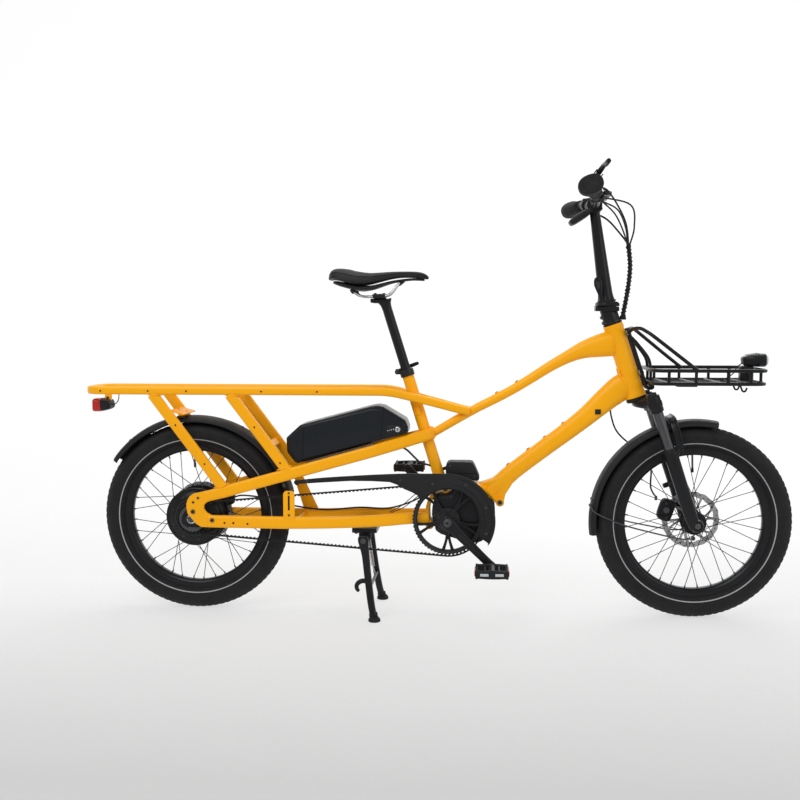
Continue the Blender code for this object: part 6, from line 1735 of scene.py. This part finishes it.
def make_tray():
    top_z, low_z = 0.6905, 0.656
    spine = 0.033
    shape = Shape()
    shape.loft([(*point, 0.005, 0.005) for point in tray_loop(top_z, 0.0)], SATIN_BLACK, UP, 18, 2.0, 3,
            closed=True)
    shape.loft([(*point, 0.0048, 0.0048) for point in tray_loop(low_z, 0.002)], SATIN_BLACK, UP, 18,
            2.0, 3, closed=True)
    posts = [(x, y) for x in (1.3, 1.37, 1.452, 1.51) for y in (-0.129, 0.129)] + [(1.552, -0.06),
            (1.552, 0.06)]
    for x, y in posts:
        shape.rod((x, y, low_z), (x, y, top_z), 0.0042, SATIN_BLACK, 14, 0.0)
        for z in (low_z + 0.0045, top_z - 0.0045):
            shape.turned((x, y, z), UP, [(0.004, -0.001), (0.0052, 0.0), (0.004, 0.001)], SATIN_BLACK,
                    14, True)
    for x in (1.3, 1.37, 1.44, 1.51):
        shape.rod((x, -0.127, low_z), (x, 0.127, low_z), 0.004, SATIN_BLACK, 14, 0.0)
    for y in (-0.045, 0.045):
        shape.rod((1.262, y, low_z - 0.002), (1.55, y, low_z - 0.002), 0.0038, SATIN_BLACK, 14, 0.0)
    shape.block((1.336, -0.04, low_z - 0.013), (1.391, 0.04, low_z - 0.002), SATIN_BLACK, 0.0022, 3)
    shape.block((1.509, -0.0138, low_z + 0.0015), (1.544, 0.0138, 0.6984), SATIN_BLACK, 0.002, 3)
    shape.hole((1.5265, -0.0138, 0.679), (0, -1, 0), 0.005, SATIN_BLACK)
    for y in (-0.017, 0.017):
        rail = [steer(spine, y, -0.188), steer(spine, y, -0.12), steer(spine, y, -0.04),
                steer(spine + 0.001, y, -0.02), steer(spine + 0.006, y, -0.0135),
                steer(spine + 0.016, y, -0.013), (1.265, y, low_z)]
        shape.loft([(*point, 0.0048, 0.0048) for point in rail], SATIN_BLACK, SIDEWAYS, 16, 2.0, 6,
                round_ends=0.0015)
    for down in (-0.175, -0.06):
        shape.loft([(*steer(spine, -0.0185, down), 0.008, 0.004),
                (*steer(spine, 0.0185, down), 0.008, 0.004)], SATIN_BLACK, STEER_DOWN, 18, 4.0, 1)
        for y in (-0.009, 0.009):
            shape.bolt(steer(spine + 0.0038, y, down), STEER_FRONT, 0.004, DARK_STEEL, 0.0026)
    for sign in (-1, 1):
        hoop = [steer(spine, 0.015 * sign, -0.172), (1.206, 0.031 * sign, 0.79),
                (1.215, 0.047 * sign, 0.799), (1.229, 0.08 * sign, 0.801), (1.243, 0.099 * sign, 0.793),
                (1.262, 0.111 * sign, 0.779), (1.32, 0.124 * sign, 0.733), (1.374, 0.129 * sign, top_z)]
        shape.tube(hoop, 0.005, SATIN_BLACK, 16, 6)
        inner = [steer(spine, 0.017 * sign, -0.165), (1.23, 0.023 * sign, 0.76),
                (1.26, 0.028 * sign, 0.72), (1.2665, 0.03 * sign, 0.685), (1.266, 0.03 * sign, low_z)]
        shape.tube(inner, 0.004, SATIN_BLACK, 14, 6)
        shape.tube([(1.5, 0.045 * sign, low_z - 0.001), (1.504, 0.045 * sign, 0.644),
                (1.509, 0.045 * sign, 0.633), (1.516, 0.045 * sign, 0.633),
                (1.52, 0.045 * sign, 0.642)], 0.0026, SATIN_BLACK, 10, 5)
    shape.piece("front_rack", "frame", "black_alloy", "front_tray")


# ---- seat ----
def make_seat_parts():
    shape = Shape()
    shape.turned(SEAT_TOP, SEAT_DOWN, [(0.0142, -0.0088), (0.019, -0.0088), (0.02, -0.0078),
            (0.02, 0.009), (0.0192, 0.0099), (0.0167, 0.0099), (0.0167, -0.0005), (0.0142, -0.0005)],
            ALLOY, 48, True)
    shape.block((0.5702, -0.0088, 0.6727), (0.5845, 0.0018, 0.6878), ALLOY, 0.0024, 3)
    shape.bolt((0.5765, -0.0088, 0.68), (0, -1, 0), 0.0046)
    shape.piece("seat_collar", "frame", "black_alloy", "seat_clamp")

    shape = Shape()
    shape.loft([(0.5738, 0.0085, 0.6788, 0.0046, 0.0046), (0.574, 0.015, 0.6792, 0.0048, 0.0048),
            (0.5755, 0.0205, 0.6805, 0.004, 0.0046), (0.582, 0.0245, 0.6845, 0.0032, 0.0046),
            (0.592, 0.026, 0.6885, 0.003, 0.005), (0.612, 0.0258, 0.696, 0.003, 0.0054),
            (0.626, 0.024, 0.7015, 0.003, 0.005), (0.633, 0.0226, 0.704, 0.0026, 0.004)], ALLOY,
            (0.3, 1, 0), 20, 3.0, 6, round_ends=0.0015)
    shape.turned((0.574, 0.0085, 0.679), (0, 1, 0), [(0.0045, -0.002), (0.007, -0.001), (0.0076, 0.002),
            (0.007, 0.008), (0.0045, 0.0095)], ALLOY, 28, True)
    shape.piece("seat_quick_lever", "seat_clamp_lever", "black_alloy", "seat_clamp_lever",
            origin=(0.574, 0.0125, 0.679))

    shape = Shape()
    top = SEAT_TOP - SEAT_DOWN * 0.206
    bottom = SEAT_TOP + SEAT_DOWN * 0.165
    shape.rod(bottom, top + SEAT_DOWN * 0.004, 0.0136, SATIN_BLACK, 48, 0.0008)
    shape.loft([(*(top + SEAT_DOWN * 0.02), 0.0136, 0.0136),
            (*(top + SEAT_DOWN * 0.008), 0.0142, 0.015), (*top, 0.0155, 0.019),
            (*(top - SEAT_DOWN * 0.0045), 0.0155, 0.02)], SATIN_BLACK, SIDEWAYS, 32, 2.6, 5)
    shape.loft([(0.5035, 0, 0.8762, 0.0152, 0.006), (0.515, 0, 0.8762, 0.0158, 0.007),
            (0.537, 0, 0.8762, 0.0158, 0.007), (0.5475, 0, 0.8762, 0.015, 0.006)], SATIN_BLACK,
            SIDEWAYS, 28, 4.0, 3)
    shape.rod((0.5, 0, 0.8765), (0.512, 0, 0.8765), 0.0054, DARK_STEEL, 24, 0.0008)
    shape.piece("seat_pillar", "seatpost", "black_alloy", "seatpost", origin=SEAT_TOP)
    make_saddle_base()
    make_saddle_pad()


def make_saddle_base():
    shape = Shape()
    for sign in (-1, 1):
        path = [(0.448, 0.036 * sign, 0.905), (0.456, 0.0355 * sign, 0.901),
                (0.468, 0.032 * sign, 0.8915), (0.48, 0.0265 * sign, 0.888),
                (0.495, 0.0235 * sign, 0.8872), (0.525, 0.0225 * sign, 0.889),
                (0.548, 0.022 * sign, 0.891), (0.56, 0.019 * sign, 0.8985),
                (0.572, 0.014 * sign, 0.914), (0.585, 0.008 * sign, 0.929)]
        shape.tube(path, 0.0035, STEEL, 16, 6)
        shape.block((0.508, sign * 0.0225 - 0.0052, 0.883), (0.543, sign * 0.0225 + 0.0052, 0.894),
                ALLOY, 0.0024, 3)
    shape.loft([(0.507, 0, 0.889, 0.0255, 0.0046), (0.526, 0, 0.89, 0.0262, 0.0054),
            (0.544, 0, 0.8905, 0.0255, 0.0048)], ALLOY, SIDEWAYS, 28, 4.0, 4)
    for sign in (-1, 1):
        shape.bolt((0.5255 + 0.012 * sign, 0, 0.8948), (0, 0, 1), 0.0042)
    rows = [(0.4, 0, 0.9265, 0.028, 0.004), (0.41, 0, 0.9245, 0.042, 0.006),
            (0.43, 0, 0.9195, 0.052, 0.0074), (0.47, 0, 0.9105, 0.0555, 0.0078),
            (0.49, 0, 0.9105, 0.05, 0.0072), (0.51, 0, 0.913, 0.0395, 0.0062),
            (0.535, 0, 0.92, 0.028, 0.005), (0.56, 0, 0.927, 0.02, 0.004),
            (0.59, 0, 0.932, 0.0165, 0.0036), (0.62, 0, 0.9345, 0.014, 0.0034),
            (0.65, 0, 0.933, 0.01, 0.003)]
    shape.loft(rows, PLASTIC, SIDEWAYS, 36, 3.4, 5)
    for sign in (-1, 1):
        shape.turned((0.456, 0.0355 * sign, 0.902), (0.5, 0.2 * sign, -0.85),
                [(0.0034, -0.006), (0.0075, -0.006), (0.0068, 0.004), (0.0052, 0.006), (0.0034, 0.006)],
                PLASTIC, 24, True)
    shape.loft([(0.578, 0, 0.92, 0.012, 0.005), (0.586, 0, 0.9265, 0.0135, 0.006),
            (0.594, 0, 0.931, 0.013, 0.004)], PLASTIC, SIDEWAYS, 24, 3.0, 4)
    shape.piece("saddle_shell_and_rails", "seatpost", "black_plastic", "saddle_frame", origin=SEAT_TOP)


# x, crest z, half width, edge drop, groove depth
SADDLE_ROWS = ((0.387, 0.944, 0.033, 0.013, 0.0), (0.393, 0.9575, 0.052, 0.0235, 0.0),
        (0.404, 0.964, 0.064, 0.03, 0.0008), (0.42, 0.965, 0.072, 0.0345, 0.002),
        (0.44, 0.962, 0.076, 0.037, 0.0032), (0.46, 0.9575, 0.0745, 0.037, 0.0042),
        (0.48, 0.9545, 0.067, 0.035, 0.0048), (0.5, 0.953, 0.055, 0.031, 0.005),
        (0.52, 0.9535, 0.043, 0.027, 0.005), (0.54, 0.955, 0.0335, 0.0235, 0.0046),
        (0.56, 0.9565, 0.0275, 0.0205, 0.0038), (0.585, 0.9578, 0.0235, 0.0185, 0.0026),
        (0.61, 0.9575, 0.0212, 0.0178, 0.0012), (0.63, 0.956, 0.02, 0.0175, 0.0004),
        (0.645, 0.953, 0.018, 0.0165, 0.0), (0.656, 0.948, 0.014, 0.013, 0.0),
        (0.662, 0.9425, 0.008, 0.007, 0.0))


def saddle_section(row, count=48):
    """A cross-section: domed top with a channel, sides that turn under, and a flat bottom above the shell."""
    x, crest, half, drop, groove = row
    points = []
    for step in range(count):
        angle = 2 * math.pi * step / count
        side, lift = math.cos(angle), math.sin(angle)
        y = math.copysign(abs(side) ** 0.8, side) * half
        share = abs(y) / half if half else 0.0
        if lift >= 0:
            z = crest - drop * (0.18 * share ** 2 + 0.52 * share ** 5)
            z -= drop * 0.3 * (1 - abs(lift) ** 0.55)
            z -= groove * math.exp(-(y / 0.0085) ** 2)
        else:
            z = crest - drop * (0.7 + 0.3 * (1 - (1 - abs(lift)) ** 2)) - 0.0006
        points.append((x, y, z))
    return points


def make_saddle_pad():
    rows = spline(SADDLE_ROWS, 5)
    shape = Shape()
    shape.rings([saddle_section(row) for row in rows], LEATHER)
    pad = shape.piece("saddle_cushion", "seatpost", "saddle_skin", "saddle_pad", origin=SEAT_TOP,
            angle=60)
    soften(pad)
    add_saddle_seams(rows)


VOXEL = 0.003
CLOTH_FRAMES = 14
MOST_SWELLING = 0.0016
CLOTH_SETTINGS = {"quality": 4, "mass": 0.3, "tension_stiffness": 40, "compression_stiffness": 40,
        "bending_stiffness": 2.0, "use_pressure": True, "uniform_pressure_force": 3.0}


def soften(pad):
    """Voxel remesh, a short pressure simulation with the base held, then the swelling is capped."""
    bpy.context.view_layer.objects.active = pad
    pad.select_set(True)
    remesh = pad.modifiers.new("voxels", "REMESH")
    remesh.mode = "VOXEL"
    remesh.voxel_size = VOXEL
    bpy.ops.object.modifier_apply(modifier=remesh.name)
    mesh = pad.data
    before = [vert.co.copy() for vert in mesh.vertices]
    held = pad.vertex_groups.new(name="held")
    for index, point in enumerate(before):
        normal = mesh.vertices[index].normal
        held.add([index], 1.0 if normal.z < -0.2 else max(0.0, 0.25 - normal.z * 0.25), "REPLACE")
    cloth = pad.modifiers.new("stuffing", "CLOTH")
    for name, value in CLOTH_SETTINGS.items():
        setattr(cloth.settings, name, value)
    cloth.settings.effector_weights.gravity = 0.0
    cloth.settings.vertex_group_mass = held.name
    cloth.point_cache.frame_start = 1
    cloth.point_cache.frame_end = CLOTH_FRAMES
    scene = bpy.context.scene
    for step in range(1, CLOTH_FRAMES + 1):
        scene.frame_set(step)
    bpy.ops.object.modifier_apply(modifier=cloth.name)
    scene.frame_set(1)
    mesh = pad.data
    for vert, start in zip(mesh.vertices, before):
        moved = vert.co - start
        if moved.length > MOST_SWELLING:
            vert.co = start + moved.normalized() * MOST_SWELLING
    pad.vertex_groups.clear()
    smooth = pad.modifiers.new("even", "SMOOTH")
    smooth.factor = 0.5
    smooth.iterations = 3
    bpy.ops.object.modifier_apply(modifier=smooth.name)
    finer = pad.modifiers.new("finer", "SUBSURF")
    finer.levels = finer.render_levels = 1
    bpy.ops.object.modifier_apply(modifier=finer.name)
    mesh = pad.data
    if not mesh.materials:
        mesh.materials.append(LEATHER)
    mesh.shade_smooth()
    pad.select_set(False)


def add_saddle_seams(rows):
    """Stitched cords along the cushion's sides."""
    shape = Shape()
    for sign in (-1, 1):
        edge = []
        for row in rows[3:-2]:
            points = saddle_section(row)
            chosen = min(points, key=lambda point: abs(point[1] - sign * row[2] * 0.8) + (1
                    if point[2] < row[1] - row[3] * 0.68 else 0))
            edge.append((chosen[0], chosen[1], chosen[2] + 0.0004))
        shape.tube(edge[::3], 0.0008, LEATHER, 8, 4)
    shape.piece("saddle_seams", "seatpost", "saddle_skin", origin=SEAT_TOP)


def make_small_cables():
    """The black cable under the stays, and two thin wires at the bottom bracket."""
    shape = Shape()
    shape.tube([(0.585, -0.025, 0.474), (0.605, -0.023, 0.462), (0.625, -0.02, 0.442),
            (0.642, -0.015, 0.426), (0.662, -0.008, 0.42), (0.69, 0.0, 0.41), (0.705, 0.008, 0.407)],
            0.0028, PLASTIC, 12, 8)
    shape.tube([(0.555, -0.03, 0.288), (0.59, -0.032, 0.308), (0.625, -0.033, 0.338),
            (0.65, -0.03, 0.356), (0.67, -0.02, 0.362)], 0.0012, PLASTIC, 8, 6)
    shape.tube([(0.56, -0.027, 0.286), (0.598, -0.03, 0.304), (0.632, -0.03, 0.332),
            (0.655, -0.026, 0.348)], 0.0012, PLASTIC, 8, 6)
    shape.tube([(0.096, 0.0505, 0.313), (0.125, 0.048, 0.318), (0.19, 0.05, 0.31), (0.26, 0.056, 0.29),
            (0.36, 0.058, 0.278), (0.46, 0.056, 0.286), (0.55, 0.042, 0.288), (0.63, 0.025, 0.318),
            (0.662, 0.02, 0.35)], 0.0024, PLASTIC, 12, 8)
    shape.piece("frame_wiring", "frame", "black_plastic")


# ---- floor, light and camera ----
# how bright the paper is, by distance behind the object plus a share of height
PAPER_STOPS = ((-1.2, 0.44), (-0.73, 0.58), (-0.29, 0.69), (0.3, 0.8), (2.0, 0.92), (3.2, 1.0),
        (4.3, 1.0))
PAPER_HEIGHT_SHARE = 0.8
PAPER_GLOW = 0.8
FLOOR_FRONT, FLOOR_BACK = -7.0, 1.6
FLOOR_HALF_WIDTH = 14.0
WALL_BEND, WALL_TOP = 2.0, 7.0
# name, place, target, size, power
LIGHTS = (("key", (-1.6, -3.2, 3.6), (0, 0, 0.5), (3.0, 2.2), 92),
        ("fill", (3.2, -2.6, 2.2), (0, 0, 0.5), (2.4, 2.4), 30),
        ("top", (0.0, 0.6, 4.2), (0, 0, 0.4), (4.0, 2.4), 60),
        ("rim", (1.5, 3.0, 2.4), (0, 0, 0.7), (2.6, 1.2), 26))
SKY_STRENGTH = 0.3
CAMERA_PLACE = (0.13525, -3.048, 0.816)
CAMERA_TURN = (math.radians(83.9), 0.0, math.radians(4.55))
CAMERA_LENS, CAMERA_SHIFT_X, CAMERA_SHIFT_Y = 49.27, 0.0035, 0.0496


def make_paper():
    """Pale paper that grows lighter with distance, faintly lit from within so that it stays even."""
    nodes = Nodes("studio_paper", (0.24, 0.24, 0.24), 0.9)
    split = nodes.add("ShaderNodeSeparateXYZ")
    nodes.link(nodes.place, split.inputs[0])
    away = nodes.math("MULTIPLY_ADD", split.outputs[2], PAPER_HEIGHT_SHARE, split.outputs[1])
    ramp = nodes.add("ShaderNodeValToRGB")
    nearest, farthest = PAPER_STOPS[0][0], PAPER_STOPS[-1][0]
    for index, (place, level) in enumerate(PAPER_STOPS):
        share = (place - nearest) / (farthest - nearest)
        stop = ramp.color_ramp.elements[0] if index == 0 else ramp.color_ramp.elements.new(share)
        stop.position = share
        stop.color = (level, level, level, 1)
    nodes.link(nodes.span(away, nearest, farthest, 0.0, 1.0), ramp.inputs[0])
    nodes.link(ramp.outputs[0], nodes.shader.inputs["Emission Color"])
    nodes.shader.inputs["Emission Strength"].default_value = PAPER_GLOW
    return nodes.finish(0.01)


def make_stage():
    """A plain floor that bends up into a wall in front and behind, closed at both ends."""
    bm = bmesh.new()
    turns = [math.radians(degrees) for degrees in range(0, 91, 5)]
    sweep = [(WALL_BEND * math.sin(turn), WALL_BEND - WALL_BEND * math.cos(turn)) for turn in turns]
    rows = [(FLOOR_FRONT - WALL_BEND, WALL_TOP)] + [(FLOOR_FRONT - out, up) for out,
            up in reversed(sweep)]
    rows += [(FLOOR_BACK + out, up) for out, up in sweep] + [(FLOOR_BACK + WALL_BEND, WALL_TOP)]
    ends = (-FLOOR_HALF_WIDTH, FLOOR_HALF_WIDTH)
    lines = [[bm.verts.new((x, y, z)) for x in ends] for y, z in rows]
    for low, high in zip(lines, lines[1:]):
        bm.faces.new((low[0], low[1], high[1], high[0]))
    for x in ends:
        bm.faces.new([bm.verts.new((x, y, z)) for y, z in rows])
    mesh = bpy.data.meshes.new("studio_floor")
    bm.to_mesh(mesh)
    bm.free()
    mesh.shade_smooth()
    mesh.materials.append(make_paper())
    floor = bpy.data.objects.new("studio_floor", mesh)
    bpy.context.scene.collection.objects.link(floor)


def make_light(name, place, target, size, power):
    data = bpy.data.lights.new(name, "AREA")
    data.shape = "RECTANGLE"
    data.size, data.size_y = size
    data.energy = power
    lamp = bpy.data.objects.new(name, data)
    lamp.location = place
    lamp.rotation_euler = (Vector(target) - Vector(place)).to_track_quat("-Z", "Y").to_euler()
    bpy.context.scene.collection.objects.link(lamp)


def make_view():
    for light in LIGHTS:
        make_light(*light)
    world = bpy.data.worlds.new("studio")
    world.use_nodes = True
    world.node_tree.nodes["Background"].inputs["Color"].default_value = (1, 1, 1, 1)
    world.node_tree.nodes["Background"].inputs["Strength"].default_value = SKY_STRENGTH
    bpy.context.scene.world = world
    data = bpy.data.cameras.new("camera")
    data.lens, data.shift_x, data.shift_y = CAMERA_LENS, CAMERA_SHIFT_X, CAMERA_SHIFT_Y
    camera = bpy.data.objects.new("camera", data)
    camera.location = CAMERA_PLACE
    camera.rotation_euler = CAMERA_TURN
    bpy.context.scene.collection.objects.link(camera)
    bpy.context.scene.camera = camera
    bpy.context.scene.view_settings.view_transform = "Standard"


make_wheels()
make_front_frame()
make_seat_tube()
make_motor_cradle()
make_rear_frames()
make_rack()
make_fork()
make_fork_lowers()
make_front_axle()
make_calipers()
make_rear_axle()
make_mudguards()
make_stem()
make_handlebar()
make_grips()
make_brakes()
make_shifter()
make_control_cables()
make_front_hose()
make_belt()
make_ring_and_cog()
make_cranks()
make_motor()
make_belt_guard()
make_battery()
make_stand()
make_lights()
make_tray()
make_seat_parts()
make_small_cables()
make_stage()
make_view()
